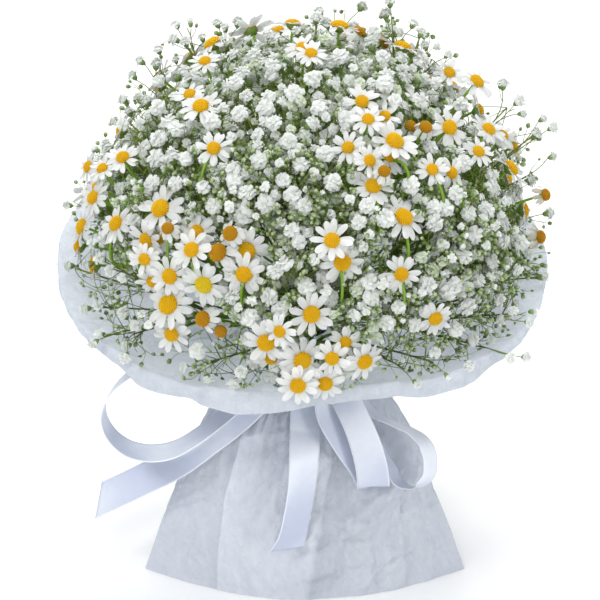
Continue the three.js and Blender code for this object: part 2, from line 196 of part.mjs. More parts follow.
// ---- gypsophila clusters: stem, centre x y z, radius, place of the branch on the stem, a point it passes ----
const CLUSTERS = [
  [0, -99.5, 25.2, 328.7, 8.5, 0.9, -77.6, 18.6, 279.9],
  [0, -116.4, 17.4, 300, 8.5, 0.9, -86, 14.6, 264.8],
  [0, -125.5, -0.7, 285.3, 5.5, 0.9, -90.7, 5.3, 257.2],
  [0, -106.8, 36.6, 304, 5.5, 0.9, -81.1, 24.5, 266.9],
  [0, -101.2, 11.3, 312, 5.5, 0.9, -78.2, 11.5, 270.9],
  [0, -92, -27.6, 321.4, 5.5, 0.9, -73.7, -8.6, 276.1],
  [1, 16.5, -27.5, 353.7, 5.5, 0.9, 18.4, -19.3, 299.4],
  [1, 48, -34.4, 342.4, 8.5, 0.9, 34.6, -22.7, 293.4],
  [1, 43.8, -3.5, 347.7, 8.5, 0.9, 32.5, -6.9, 296.2],
  [1, 56.5, -49.1, 334, 8.5, 0.9, 39, -30.3, 289.1],
  [1, 70, -61.6, 309.2, 5.5, 0.9, 45.9, -36.7, 276.2],
  [2, 17.8, 76.6, 342.3, 8.5, 0.687, 5.5, 41.6, 280.8],
  [2, -28.8, 79.9, 317.3, 8.5, 0.9, -13.4, 64.7, 274.5],
  [2, 27.9, 77.4, 310.3, 8.2, 0.9, 15.8, 63.3, 270.6],
  [2, 31.4, 88.8, 298.1, 5.5, 0.9, 17.6, 69.1, 264.3],
  [2, -18.4, 93.9, 292.6, 8.5, 0.9, -8, 71.7, 261.3],
  [2, -2.1, 83, 316.5, 8.3, 0.9, 0.4, 66.2, 273.9],
  [2, 7.3, 103.9, 300.5, 5.5, 0.9, 5.2, 76.9, 265.6],
  [2, 53.3, 90.2, 312, 5.5, 0.9, 29, 70, 271.9],
  [3, -94.8, 51.2, 285.4, 7.9, 0.9, -68, 51, 247.5],
  [3, -62.9, 106.5, 263, 7.9, 0.9, -51.4, 79.3, 235.6],
  [3, -69, 108.9, 245, 5.5, 0.9, -54.5, 80.5, 226.3],
  [3, -79.7, 83.9, 273.9, 8.5, 0.9, -60.1, 67.7, 241.3],
  [3, -39, 119.3, 253.3, 5.5, 0.9, -39.1, 86, 230.7],
  [3, -99.7, 65.6, 276.9, 5.5, 0.9, -70.5, 58.4, 243.1],
  [3, -48.9, 88.7, 285, 8.5, 0.9, -44.2, 70.2, 247.1],
  [3, -81.6, 96.9, 245.3, 5.5, 0.9, -60.9, 74.2, 226.4],
  [3, -109.6, 88.2, 257.9, 5.5, 0.921, -76.8, 69.7, 236.1],
  [4, -15, -112.9, 298.9, 8.5, 0.9, -14.8, -79.5, 263.2],
  [4, -39, -111.7, 293.5, 7.7, 0.9, -27.2, -78.9, 260.4],
  [4, 9.6, -103.3, 312.9, 8.4, 0.9, -2.1, -74.7, 270.6],
  [4, -40.8, -98.9, 309.4, 8.5, 0.9, -28.1, -72.4, 268.6],
  [4, -6.6, -101.5, 314.4, 5.5, 0.9, -10.5, -73.8, 271.3],
  [4, -60.7, -101.8, 294.2, 7.6, 0.9, -38.3, -73.9, 260.8],
  [5, 140.5, 27.3, 227.9, 8.3, 0.9, 97.5, 29.6, 214.2],
  [5, 105.4, 64.2, 244.2, 8.5, 0.9, 79.1, 48.5, 222.3],
  [5, 112.8, 40.2, 264.4, 8.5, 0.9, 83.1, 36.2, 232.9],
  [5, 78.9, 83.6, 258.1, 8.1, 0.9, 65.6, 58.6, 229.6],
  [5, 124.2, 25.5, 253.5, 8.4, 0.9, 89.1, 28.7, 227.3],
  [5, 129.4, 44, 229.3, 8.1, 0.9, 91.6, 38.2, 214.7],
  [5, 92.5, 85, 238.5, 5.5, 0.9, 72.5, 59.3, 219.4],
  [5, 99.5, 55.2, 279.9, 8.2, 0.9, 76.4, 44, 241],
  [6, -35.1, 12, 351.2, 8.5, 0.9, -21.1, 17.9, 299.7],
  [6, 14.9, 58, 336, 5.5, 0.9, 4.6, 41.6, 291.6],
  [6, -20.7, 38.3, 340.5, 8, 0.9, -13.7, 31.5, 293.9],
  [6, -8.7, 63.1, 327.2, 7.8, 0.9, -7.5, 44.2, 286.9],
  [6, -1.9, 49.3, 341, 5.5, 0.9, -4, 37.1, 294.2],
  [6, 3.2, 27.3, 359.2, 5.5, 0.9, -1.4, 25.8, 304],
  [6, -9.6, 10.3, 356.6, 5.5, 0.9, -8, 17.1, 302.5],
  [7, 122.4, -105.4, 192.7, 6.9, 0.9, 87.9, -72.9, 189],
  [7, 91.1, -104.5, 200.4, 8.5, 0.9, 71.5, -72.1, 192.8],
  [7, 95.5, -94.8, 229.4, 8.2, 0.9, 73.8, -67.2, 207.7],
  [7, 129.2, -65, 203.6, 8.5, 0.9, 91.2, -51.8, 194.5],
  [7, 112.7, -73.7, 209.3, 7.7, 0.9, 82.5, -56.2, 197.3],
  [8, 84.1, -103, 243, 8.5, 0.9, 64.6, -67.5, 226.7],
  [8, 94.1, -82.1, 268.9, 7.5, 0.9, 69.7, -56.8, 240],
  [8, 69.4, -95.3, 285.6, 8.5, 0.9, 57.2, -63.8, 248.9],
  [8, 108.3, -46.8, 281.2, 6.7, 0.9, 77.1, -38.7, 246.5],
  [8, 103.6, -66.9, 271.2, 5.5, 0.9, 74.6, -49, 241.2],
  [8, 114.5, -58.9, 254, 7, 0.9, 80.2, -44.8, 232.3],
  [8, 84.2, -85.7, 289.8, 5.5, 0.9, 64.8, -58.8, 251],
  [8, 89.7, -61, 298.8, 5.5, 0.9, 67.6, -46.1, 255.6],
  [8, 107.3, -77.2, 242.7, 5.5, 0.9, 76.4, -54.2, 226.4],
  [9, -78.9, -78.8, 304.5, 8.5, 0.9, -63.5, -54.4, 264],
  [9, -89.7, -54.9, 311.8, 8.5, 0.9, -69.1, -42.1, 267.8],
  [9, -94.9, -74.7, 291.6, 5.5, 0.9, -71.7, -52.2, 257.2],
  [9, -105.6, -79.9, 270.2, 5.5, 0.9, -77.2, -54.8, 246.1],
  [10, -41.4, -132.4, 237.5, 8.1, 0.35, -26.5, -70.4, 205.8],
  [10, -68.1, -122.7, 195, 8.5, 0.9, -47, -90.1, 187.2],
  [10, -44.1, -132.2, 191.3, 7.2, 0.9, -34.7, -95, 185.2],
  [10, -29.5, -121.3, 192.3, 7.6, 0.9, -27.1, -89.1, 185.6],
  [11, 141.9, 12.8, 266, 8.5, 0.9, 101, 12.7, 243.2],
  [11, 124.6, 21.2, 308.2, 8.5, 0.692, 80.9, 19, 259.1],
  [11, 142.5, 14.6, 293.1, 7.4, 0.9, 101.6, 13.6, 257.5],
  [11, 97.6, 13.4, 299, 8.5, 0.9, 78.1, 13, 260.1],
  [11, 115.7, 1.6, 287.8, 5.5, 0.9, 86.6, 9.5, 253.3],
  [12, 48.3, 108.5, 257.8, 8.3, 0.9, 31.4, 85.6, 232.6],
  [12, 60.8, 90.7, 278.2, 8.3, 0.9, 38, 76.6, 243.4],
  [12, 74.1, 117, 247.8, 8.2, 0.9, 44.9, 90.2, 227.8],
  [12, -6.8, 131.4, 244.7, 5.5, 0.9, 3.1, 97.5, 226],
  [12, 19.1, 126.9, 262.2, 8.1, 0.778, 21, 95.5, 236.5],
  [12, 31.8, 101.1, 277.4, 8.5, 0.9, 23, 81.8, 242.8],
  [12, 3.4, 115.1, 279.4, 5.5, 0.9, 8.4, 89.2, 244],
  [13, -123.8, -65, 240.2, 8.5, 0.9, -95, -45.6, 214],
  [13, -110, -95.7, 202.1, 8.5, 0.9, -87.9, -61.4, 194.4],
  [13, -129, -88.3, 197.2, 7.2, 0.9, -97.8, -57.7, 191.9],
  [13, -112.6, -84.6, 234.9, 5.5, 0.9, -89.3, -55.7, 211.3],
  [13, -150.1, -12.7, 211.5, 5.5, 0.662, -98.4, -8.5, 192.3],
  [13, -134.5, -42.3, 232.2, 8.5, 0.9, -100.5, -33.9, 209.9],
  [13, -133.5, -58, 204.2, 6.9, 0.9, -99.8, -41.9, 195.4],
  [14, 51.4, -126.6, 227.5, 8.5, 0.9, 38.2, -91.4, 205],
  [14, 57.2, -127.9, 193.8, 8.2, 0.9, 41.1, -91.9, 187.5],
  [14, 67.4, -115.5, 244.7, 5.5, 0.9, 46.5, -85.8, 214],
  [14, 19.1, -129.8, 195.3, 5.5, 0.9, 21.5, -92.8, 188.3],
  [14, 76, -119.1, 194.5, 8.1, 0.9, 50.8, -87.4, 188],
  [15, 12, -74.7, 335.4, 8.3, 0.9, -0.5, -48.5, 290.7],
  [15, -11.9, -84.3, 329.4, 8.5, 0.9, -12.8, -53.4, 287.6],
  [15, -21.2, -65.6, 340.7, 8.5, 0.9, -17.6, -43.7, 293.4],
  [15, -40.9, -63.9, 337.1, 7.6, 0.9, -27.7, -42.8, 291.5],
  [15, 5.4, -52.9, 347.7, 6.9, 0.9, -3.9, -37.2, 297.1],
  [15, -58.7, -68.6, 328.3, 5.5, 0.9, -36.9, -45.3, 287],
  [15, -33.4, -16.5, 353.5, 7.5, 0.9, -23.9, -18.5, 300.1],
  [15, -43.5, -41.7, 345.7, 6.8, 0.9, -29.1, -31.4, 296],
  [15, -23.2, -37.8, 351.8, 5.5, 0.9, -18.6, -29.4, 299.2],
  [16, -77.3, 36.5, 346, 8.5, 0.9, -55.6, 34.8, 293.1],
  [16, -54.3, 49.5, 331, 5.5, 0.9, -43.6, 41.4, 284.9],
  [16, -78.1, 24.5, 325.9, 5.5, 0.9, -55.9, 28.5, 282.4],
  [16, -38.9, 63.6, 329.5, 5.5, 0.9, -35.7, 48.6, 284.2],
  [16, -77.2, 63.9, 306.9, 7.9, 0.9, -55.3, 48.7, 272.3],
  [16, -66.6, 72.6, 321.6, 5.5, 0.9, -49.9, 53.3, 280.1],
  [16, -51, 79.3, 305.8, 5.5, 0.9, -41.8, 56.6, 271.7],
  [16, -54.4, 44.6, 345.5, 7.2, 0.9, -43.7, 38.9, 292.7],
  [17, -124, 16.6, 267.4, 8.5, 0.9, -95.1, 19.5, 234.3],
  [17, -121.8, 46.6, 252.7, 8.5, 0.9, -93.7, 34.9, 226.6],
  [17, -134.6, 24.2, 232.8, 5.5, 0.9, -100.2, 23.4, 216.3],
  [17, -130.6, 46.7, 226.1, 5.5, 0.9, -98.2, 34.9, 212.8],
  [17, -143.6, 0, 251.8, 8.4, 0.9, -105.3, 10.9, 226.4],
  [17, -119.5, 66.4, 237.5, 8.5, 0.9, -92.6, 45.1, 218.8],
  [17, -115.3, 32.2, 274.2, 5.5, 0.9, -90.6, 27.5, 237.8],
  [18, 76.5, 33.3, 336, 8, 0.9, 53.9, 30.7, 287.6],
  [18, 49.3, 37.1, 353.6, 8.5, 0.654, 49.8, 43, 292.2],
  [18, 82.9, 44.9, 307, 8.5, 0.9, 57, 36.6, 272.2],
  [18, 60.8, 64, 314.9, 8.5, 0.9, 45.6, 46.4, 276.3],
  [18, 46.4, 53.3, 326, 5.5, 0.9, 38.3, 40.9, 282],
  [18, 75.4, 67.2, 285.6, 5.5, 0.9, 53, 48, 260.9],
  [18, 66.8, 16, 334.6, 5.5, 0.9, 48.9, 21.8, 286.7],
  [18, 67.3, 36.6, 346.5, 5.5, 0.9, 49.2, 32.4, 293.1],
  [19, -17, -133.8, 251.7, 8.5, 0.972, -3.3, -102.3, 225.5],
  [19, 30.6, -131.8, 243, 8.5, 0.9, 16.1, -94.1, 225.2],
  [19, 33.5, -121.1, 290.4, 8.5, 0.9, 17.7, -88.9, 250],
  [19, 8.5, -127.5, 247.7, 7.7, 0.9, 4.7, -91.7, 227.5],
  [19, -9.8, -125, 279.1, 6.6, 0.9, -4.7, -90.8, 243.9],
  [19, 10.1, -118.8, 289.6, 5.5, 0.9, 5.6, -87.6, 249.4],
  [19, -14.2, -118.7, 248, 5.5, 0.9, -7, -87.1, 227.5],
  [20, 121, -7, 255.1, 5.5, 0.9, 91.7, -5.1, 223.7],
  [20, 123.5, -19.6, 229.5, 5.5, 0.9, 92.7, -11.6, 210.3],
  [20, 130.5, 0.1, 219.1, 8.4, 0.9, 96.3, -1.4, 204.9],
  [20, 142.5, -23, 209.3, 5.5, 0.9, 102.7, -13.3, 200.1],
  [20, 125.2, -43.7, 231.5, 8.4, 0.9, 93.8, -24, 211.5],
];

// ---- the wrap's rim: angle in degrees (0 right, 90 back), radius of the outer edge, radius of the crest ----
const RIM = [
  [-180, 152, 150], [-165, 152, 149.5], [-150, 151.5, 147], [-138, 152.5, 145], [-129, 157, 147], [-117, 153, 145],
  [-106, 155.5, 140], [-97, 149.5, 136], [-88, 142.5, 133], [-78, 140.5, 132], [-67, 145, 136.5], [-61, 152.5, 142],
  [-52, 155.5, 145], [-42, 152.5, 146], [-28, 150.5, 146.5], [-10, 148.5, 146.5], [5, 150.5, 149], [30, 152, 150.5],
  [60, 150, 148.5], [90, 152, 150.5], [120, 150, 148.5], [150, 153, 151.5], [180, 152, 150],
];

// ---- ribbon runs: centre x y z, then the direction across the ribbon ----
const TAIL_FRONT = [
  [-2.3, -19.0, 152.2, 1.000, 0.000, 0.000],
  [-3.2, -27.0, 135.4, 0.959, 0.260, -0.116],
  [-3.5, -34.0, 118.2, 0.943, 0.303, -0.135],
  [-4.1, -41.0, 106.5, 0.927, 0.342, -0.152],
  [-5.7, -48.5, 82.6, 0.867, 0.477, -0.145],
  [-8.4, -53.0, 65.5, 0.868, 0.484, -0.114],
  [-11.9, -55.0, 48.4, 0.901, 0.431, -0.056],
  [-15.6, -55.5, 38.8, 0.964, 0.253, 0.074],
];
const TAIL_LEFT = [
  [-4.7, -17.0, 151.3, 0.186, -0.924, -0.334],
  [-20.8, -21.0, 138.1, 0.496, -0.624, -0.604],
  [-35.1, -23.0, 125.3, 0.621, -0.527, -0.581],
  [-48.9, -24.0, 111.3, 0.591, -0.632, -0.502],
  [-65.2, -24.0, 96.7, 0.437, -0.686, -0.582],
  [-82.3, -23.0, 83.0, 0.407, -0.662, -0.630],
  [-107.6, -21.0, 68.0, 0.377, -0.625, -0.684],
  [-134.2, -18.0, 52.7, -0.093, -0.405, -0.910],
];
const LOOP_LEFT = [
  [-4.1, -17.0, 152.6, 0.031, 0.969, 0.246],
  [-30.6, -26.0, 159.5, 0.062, 0.984, 0.169],
  [-56.3, -32.0, 163.6, 0.061, 0.990, 0.131],
  [-86.9, -36.0, 161.4, 0.092, 0.991, 0.096],
  [-108.5, -38.0, 152.2, 0.123, 0.992, 0.029],
  [-122.8, -39.0, 139.1, 0.123, 0.992, -0.004],
  [-128.3, -40.0, 125.2, 0.108, 0.994, 0.030],
  [-125.1, -41.0, 112.7, 0.108, 0.989, 0.100],
  [-114.8, -42.0, 102.2, 0.093, 0.986, 0.136],
  [-101.2, -43.0, 98.5, 0.093, 0.986, 0.136],
  [-86.3, -44.0, 101.1, 0.093, 0.986, 0.136],
  [-71.4, -43.0, 109.6, 0.093, 0.986, 0.135],
  [-55.3, -39.0, 121.3, 0.093, 0.981, 0.171],
  [-35.0, -31.0, 136.0, 0.062, 0.976, 0.207],
  [-4.7, -19.0, 152.9, 0.031, 0.969, 0.246],
];
const LOOP_FLAT = [
  [0.2, -18.0, 153.1, -0.681, -0.716, -0.155],
  [11.3, -32.0, 137.8, -0.740, -0.572, -0.353],
  [11.3, -40.0, 125.2, -0.770, -0.570, -0.286],
  [20.6, -45.0, 108.5, -0.740, -0.572, -0.353],
  [30.5, -48.0, 92.1, -0.834, -0.523, -0.173],
  [36.7, -51.5, 82.1, -0.958, -0.285, -0.008],
  [38.2, -54.5, 84.3, -0.988, 0.128, -0.091],
  [36.5, -57.0, 97.3, -0.984, 0.162, -0.072],
  [32.1, -55.0, 113.4, -0.951, 0.267, -0.153],
  [24.7, -49.0, 129.6, -0.890, 0.371, -0.266],
  [16.2, -37.0, 142.2, -0.830, 0.405, -0.382],
  [0.8, -21.0, 154.5, -0.680, 0.482, -0.553],
];
const LOOP_RING = [
  [0.2, -18.0, 153.8, 0.124, 0.987, 0.102],
  [20.6, -29.0, 140.5, 0.278, 0.957, -0.088],
  [36.0, -37.0, 124.5, 0.370, 0.872, -0.321],
  [49.6, -39.0, 117.2, 0.401, 0.795, -0.455],
  [61.4, -39.0, 111.0, 0.402, 0.795, -0.455],
  [69.6, -39.0, 102.8, 0.402, 0.794, -0.455],
  [73.5, -39.0, 91.7, 0.403, 0.794, -0.455],
  [72.3, -40.0, 80.4, 0.404, 0.793, -0.455],
  [64.9, -41.0, 74.3, 0.404, 0.793, -0.455],
  [55.6, -41.5, 77.7, 0.404, 0.793, -0.455],
  [47.4, -41.0, 89.2, 0.403, 0.794, -0.455],
  [37.3, -39.0, 106.9, 0.371, 0.848, -0.378],
  [23.7, -31.0, 127.8, 0.247, 0.956, -0.155],
  [0.8, -20.0, 153.3, 0.124, 0.992, 0.032],
];

// ---- vectors ----
const V = (a) => new THREE.Vector3(a[0], a[1], a[2]);
const AX_U = V([1, 0, 0]);
const AX_W = V([0, Math.cos(HEAD_TILT), Math.sin(HEAD_TILT)]);
const AX_N = V([0, -Math.sin(HEAD_TILT), Math.cos(HEAD_TILT)]);
const lerp = (a, b, t) => a + (b - a) * t;
function table(rows, x, k) {
  for (let i = 0; i < rows.length - 1; i++) {
    if (x <= rows[i + 1][0]) return lerp(rows[i][k], rows[i + 1][k], (x - rows[i][0]) / (rows[i + 1][0] - rows[i][0]));
  }
  return rows[rows.length - 1][k];
}

// ---- closed meshes from rings of points ----
function fromRings(rings, { cap = true, loop = false } = {}) {
  const n = rings[0].length, pos = [], idx = [];
  for (const r of rings) for (const p of r) pos.push(p.x, p.y, p.z);
  const m = rings.length, last = loop ? m : m - 1;
  for (let i = 0; i < last; i++) {
    const a = i * n, b = ((i + 1) % m) * n;
    for (let j = 0; j < n; j++) {
      const k = (j + 1) % n;
      idx.push(a + j, a + k, b + k, a + j, b + k, b + j);
    }
  }
  if (cap && !loop) {
    for (let j = 1; j < n - 1; j++) {
      idx.push(0, j + 1, j);
      idx.push((m - 1) * n, (m - 1) * n + j, (m - 1) * n + j + 1);
    }
  }
  const g = new THREE.BufferGeometry();
  g.setAttribute('position', new THREE.Float32BufferAttribute(pos, 3));
  g.setIndex(idx);
  return outward(g);
}
function volume(g) {
  const p = g.attributes.position, ix = g.index.array;
  let v = 0;
  const a = new THREE.Vector3(), b = new THREE.Vector3(), c = new THREE.Vector3();
  for (let i = 0; i < ix.length; i += 3) {
    a.fromBufferAttribute(p, ix[i]); b.fromBufferAttribute(p, ix[i + 1]); c.fromBufferAttribute(p, ix[i + 2]);
    v += a.dot(b.cross(c)) / 6;
  }
  return v;
}
function outward(g) {
  if (volume(g) < 0) {
    const ix = g.index.array;
    for (let i = 0; i < ix.length; i += 3) { const t = ix[i + 1]; ix[i + 1] = ix[i + 2]; ix[i + 2] = t; }
  }
  return g;
}

// ---- joining ----
function solid(g) {
  return new wasm.Manifold(new wasm.Mesh({
    numProp: 3,
    vertProperties: Float32Array.from(g.attributes.position.array),
    triVerts: Uint32Array.from(g.index.array),
  }));
}
function joined(list) {
  let m = solid(list[0]);
  for (let i = 1; i < list.length; i++) m = m.add(solid(list[i]));
  const out = m.getMesh();
  const g = new THREE.BufferGeometry();
  const np = out.numProp, pos = [];
  for (let i = 0; i < out.vertProperties.length; i += np) {
    pos.push(out.vertProperties[i], out.vertProperties[i + 1], out.vertProperties[i + 2]);
  }
  g.setAttribute('position', new THREE.Float32BufferAttribute(pos, 3));
  g.setIndex(Array.from(out.triVerts));
  return g;
}

// ---- a round stem through points, its first ring level when flatStart is set ----
function stem(points, radius, sides, flatStart = false) {
  const rings = [];
  let side = null;
  for (let i = 0; i < points.length; i++) {
    const a = points[Math.max(0, i - 1)], b = points[Math.min(points.length - 1, i + 1)];
    let t = b.clone().sub(a).normalize();
    if (flatStart && i === 0) t = new THREE.Vector3(0, 0, 1);
    if (!side) side = Math.abs(t.z) > 0.9 ? new THREE.Vector3(1, 0, 0) : new THREE.Vector3(0, 0, 1);
    side = side.clone().addScaledVector(t, -side.dot(t)).normalize();
    const up = t.clone().cross(side);
    const ring = [];
    const rr = Array.isArray(radius) ? radius[i] : radius;
    for (let k = 0; k < sides; k++) {
      const q = 2 * Math.PI * k / sides;
      ring.push(points[i].clone().addScaledVector(side, rr * Math.cos(q)).addScaledVector(up, rr * Math.sin(q)));
    }
    rings.push(ring);
  }
  return fromRings(rings);
}

// ---- the spiral: below the tie every stem is straight, and the bundle is a hyperboloid ----
function stemFoot(q) {
  const t = -WAIST_Z * SPIRAL;                       // (1 + i t) times (qx + i qy)
  return V([FOOT_XY[0] + q[0] - t * q[1], FOOT_XY[1] + q[1] + t * q[0], 0]);
}
function mainPoints(i) {
  const s = SPRAYS[i];
  const q = [s[0] - WAIST_XY[0], s[1] - WAIST_XY[1]];
  const pts = [stemFoot(q), V([s[0], s[1], WAIST_Z])];
  for (let k = 0; k < 4; k++) pts.push(V([s[2 + 3 * k], s[3 + 3 * k], s[4 + 3 * k]]));
  return pts;
}
function along(pts, s) {
  const x = s * (pts.length - 1), a = Math.min(Math.floor(x), pts.length - 2);
  return pts[a].clone().lerp(pts[a + 1], x - a);
}

// ---- a branch of three sides that ends in a six-sided head, as one closed mesh ----
// rows of the head: radius and height along its axis; the last row is the top point
function twigWithHead(points, radius, p, n, rows) {
  const sides = 6, rings = [];
  const start = points[1].clone().sub(points[0]).normalize();
  let side = Math.abs(n.x) < 0.8 ? new THREE.Vector3(1, 0, 0) : new THREE.Vector3(0, 1, 0);
  side.addScaledVector(n, -side.dot(n)).normalize();
  for (let i = 0; i < points.length; i++) {
    const t = i === points.length - 1 ? n.clone() : i === 0 ? start : points[i + 1].clone().sub(points[i - 1]).normalize();
    const s = side.clone().addScaledVector(t, -side.dot(t)).normalize(), u = t.clone().cross(s);
    rings.push([0, 1, 2].map((k) => points[i].clone()
      .addScaledVector(s, radius * Math.cos(2 * Math.PI * k / 3)).addScaledVector(u, radius * Math.sin(2 * Math.PI * k / 3))));
  }
  const a = side, b = n.clone().cross(side);
  const heads = rows.slice(0, -1).map(([rad, h]) => Array.from({ length: sides }, (_, k) => p.clone().addScaledVector(n, h)
    .addScaledVector(a, rad * Math.cos(Math.PI * k / 3)).addScaledVector(b, rad * Math.sin(Math.PI * k / 3))));
  const top = p.clone().addScaledVector(n, rows[rows.length - 1][1]);
  const pos = [...rings.flat(), ...heads.flat(), top], idx = [0, 2, 1], m = rings.length;
  for (let i = 0; i < m - 1; i++) {
    for (let k = 0; k < 3; k++) {
      const A = 3 * i + k, B = 3 * i + (k + 1) % 3;
      idx.push(A, B, B + 3, A, B + 3, A + 3);
    }
  }
  const r0 = 3 * (m - 1), h0 = 3 * m;
  for (let k = 0; k < 3; k++) {                     // three corners meet six
    const A = r0 + k, B = r0 + (k + 1) % 3, C = h0 + 2 * k, E = h0 + 2 * k + 1, F = h0 + (2 * k + 2) % 6;
    idx.push(A, E, C, A, B, E, B, F, E);
  }
  for (let i = 0; i < heads.length - 1; i++) {
    for (let k = 0; k < sides; k++) {
      const A = h0 + sides * i + k, B = h0 + sides * i + (k + 1) % sides;
      idx.push(A, B, B + sides, A, B + sides, A + sides);
    }
  }
  const l0 = h0 + sides * (heads.length - 1), T = pos.length - 1;
  for (let k = 0; k < sides; k++) idx.push(l0 + k, l0 + (k + 1) % sides, T);
  const g = new THREE.BufferGeometry();
  g.setAttribute('position', new THREE.Float32BufferAttribute(pos.flatMap((v) => [v.x, v.y, v.z]), 3));
  g.setIndex(idx);
  return outward(g);
}

// a branch goes straight where its middle point is nearly in line
function route(foot, mid, end, slack) {
  const near = new THREE.Line3(foot, end).closestPointToPoint(mid, true, new THREE.Vector3());
  return near.distanceTo(mid) < slack ? [foot, end] : [foot, mid, end];
}

// ---- sprays ----
function spray(i) {
  const daisy = i < DAISY_SPRAYS;
  const main = mainPoints(i), up = main.slice(1);
  const parts = [stem(main, daisy ? DAISY_STEM_R : GYP_STEM_R, 5, true)];
  if (daisy) {
    // a head: petals in a shallow cup round the raised yellow disc
    for (const d of DAISIES.filter((row) => row[0] === i)) {
      const p = V(d.slice(1, 4)), n = V(d.slice(4, 7)).normalize();
      const foot = along(up, d[10]), mid = V(d.slice(11, 14)), end = p.clone().addScaledVector(n, -3.2);
      parts.push(twigWithHead(route(foot, mid, end, 1.6), DAISY_TWIG_R, p, n, [[d[14] * 0.86, 0.4], [Math.min(d[8], d[14] * 0.5), 1.4], [0, DISC_RISE]]));
    }
  } else {
    for (const c of CLUSTERS.filter((row) => row[0] === i - DAISY_SPRAYS)) {
      const p = V(c.slice(1, 4)), foot = along(up, c[5]), mid = V(c.slice(6, 9));
      const n = p.clone().sub(mid).normalize();
      parts.push(twigWithHead(route(foot, mid, p.clone().addScaledVector(n, -c[4]), 2.2), GYP_TWIG_R, p, n, [[c[4], 0], [0, c[4] * 0.95]]));
    }
  }
  return joined(parts);
}

// ---- plain rings round the tie ----
function tieRing(r) {
  const sides = 20, c = WAIST_XY;
  const prof = [[r.rIn, r.z0], [r.rOut, r.z0], [r.rOut, r.z1], [r.rIn, r.z1]];
  const rings = [];
  for (let k = 0; k < sides; k++) {
    const q = 2 * Math.PI * k / sides;
    rings.push(prof.map(([rad, z]) => V([c[0] + rad * Math.cos(q), c[1] + rad * Math.sin(q), z])));
  }
  return fromRings(rings, { loop: true });
}

// ---- the collar: neck round the stems, trumpet, and a rim that is folded out at the front ----
// profile rows: weight of the tilted frame, then either the level neck or a point of the trumpet
function collarRings() {
  const sides = 30, rings = [];
  const prof = [];
  const R = COLLAR_NECK_R, T = SHEET;
  const outer = [['n', R, 138.5], ['n', R, 158.5], ['t', 20, -42], ['t', 39, -34], ['t', 67, -24], ['t', 105, -12.6], ['c', -2.5, -1.0], ['e', 0, 0]];
  const inner = [['e', 0, 0], ['c', 0, 1.2], ['t', 104, -11.2], ['t', 66, -22.6], ['t', 38, -32.6], ['t', 19, -40.6], ['n', R - T, 159.5], ['n', R - T, 138.5]];
  for (let k = 0; k < sides; k++) {
    const deg = -180 + 360 * k / sides, q = deg * Math.PI / 180;
    const rOut = table(RIM, deg, 1), rCrest = table(RIM, deg, 2);
    const front = Math.max(0, Math.min(1, (rOut - rCrest - 1.6) / 8));
    const P = (rho, h) => V(RIM_CENTRE).addScaledVector(AX_U, rho * Math.cos(q))
      .addScaledVector(AX_W, rho * Math.sin(q)).addScaledVector(AX_N, h);
    const ring = [];
    outer.concat(inner).forEach(([kind, a, h], m) => {
      if (kind === 'n') ring.push(V([WAIST_XY[0] + a * Math.cos(q), WAIST_XY[1] + a * Math.sin(q), h]));
      else if (kind === 't') ring.push(P(a * (a > 100 ? rCrest / 150 : 1), h));
      else if (kind === 'c') ring.push(P(rCrest + a, h));
      else ring.push(m < outer.length ? P(rOut - 0.6, -0.6 - 7.4 * front) : P(rOut, 0.5 - 7.2 * front));
    });
    rings.push(ring);
  }
  return fromRings(rings, { loop: true });
}

// ---- the skirt: z, centre x y, half width, depth to the front, depth to the back, how pointed the sides are ----
const SKIRT = [
  [0, -3.8, -10, 98.4, 40, 44, 2.1],
  [35, -3.9, -9, 85, 37.5, 41, 1.9],
  [70, -4, -7, 71.5, 34.5, 38, 1.7],
  [100, -4.2, -4, 60, 31.5, 34, 1.45],
  [116, -4.3, 1, 50, 29, 29.5, 1.25],
  [126, -4.4, 6, 38, 25, 24, 1.1],
  [131, -4.5, 10, 25.5, 21, 20, 1.0],
  [135.5, -4.5, 12.5, SKIRT_NECK_R, SKIRT_NECK_R, SKIRT_NECK_R, 1.0],
  [SKIRT_TOP, -4.5, 12.5, SKIRT_NECK_R, SKIRT_NECK_R, SKIRT_NECK_R, 1.0],
];
function skirtRings() {
  const sides = 32, rings = [];
  for (let k = 0; k < sides; k++) {
    const q = 2 * Math.PI * k / sides, c = Math.cos(q), s = Math.sin(q);
    const at = ([z, cx, cy, a, f, b, e], t) => {
      const depth = s < 0 ? f : b;
      return V([cx + (a - t) * c, cy + Math.sign(s) * (depth - t) * Math.pow(Math.abs(s), e), z]);
    };
    rings.push(SKIRT.map((r) => at(r, 0)).concat(SKIRT.slice().reverse().map((r) => at(r, SHEET))));
  }
  return fromRings(rings, { loop: true });
}

// ---- ribbon ----
function strip(rows, n, pinchStart, pinchEnd) {
  const c = new THREE.CatmullRomCurve3(rows.map((r) => V(r.slice(0, 3))), false, 'centripetal');
  const w = new THREE.CatmullRomCurve3(rows.map((r) => V(r.slice(3, 6))), false, 'centripetal');
  const rings = [];
  for (let i = 0; i <= n; i++) {
    const t = i / n;
    const p = c.getPoint(t), tan = c.getTangent(t).normalize();
    const across = w.getPoint(t).normalize();
    across.addScaledVector(tan, -across.dot(tan)).normalize();
    const face = tan.clone().cross(across).normalize();
    const pinch = Math.min(pinchStart ? lerp(0.4, 1, Math.min(1, t * n / 2.5)) : 1, pinchEnd ? lerp(0.4, 1, Math.min(1, (1 - t) * n / 2.5)) : 1);
    const h = RIBBON_W / 2 * pinch, e = RIBBON_T / 2;
    rings.push([[-h, -e], [h, -e], [h, e], [-h, e]].map(([a, f]) => p.clone().addScaledVector(across, a).addScaledVector(face, f)));
  }
  return fromRings(rings);
}
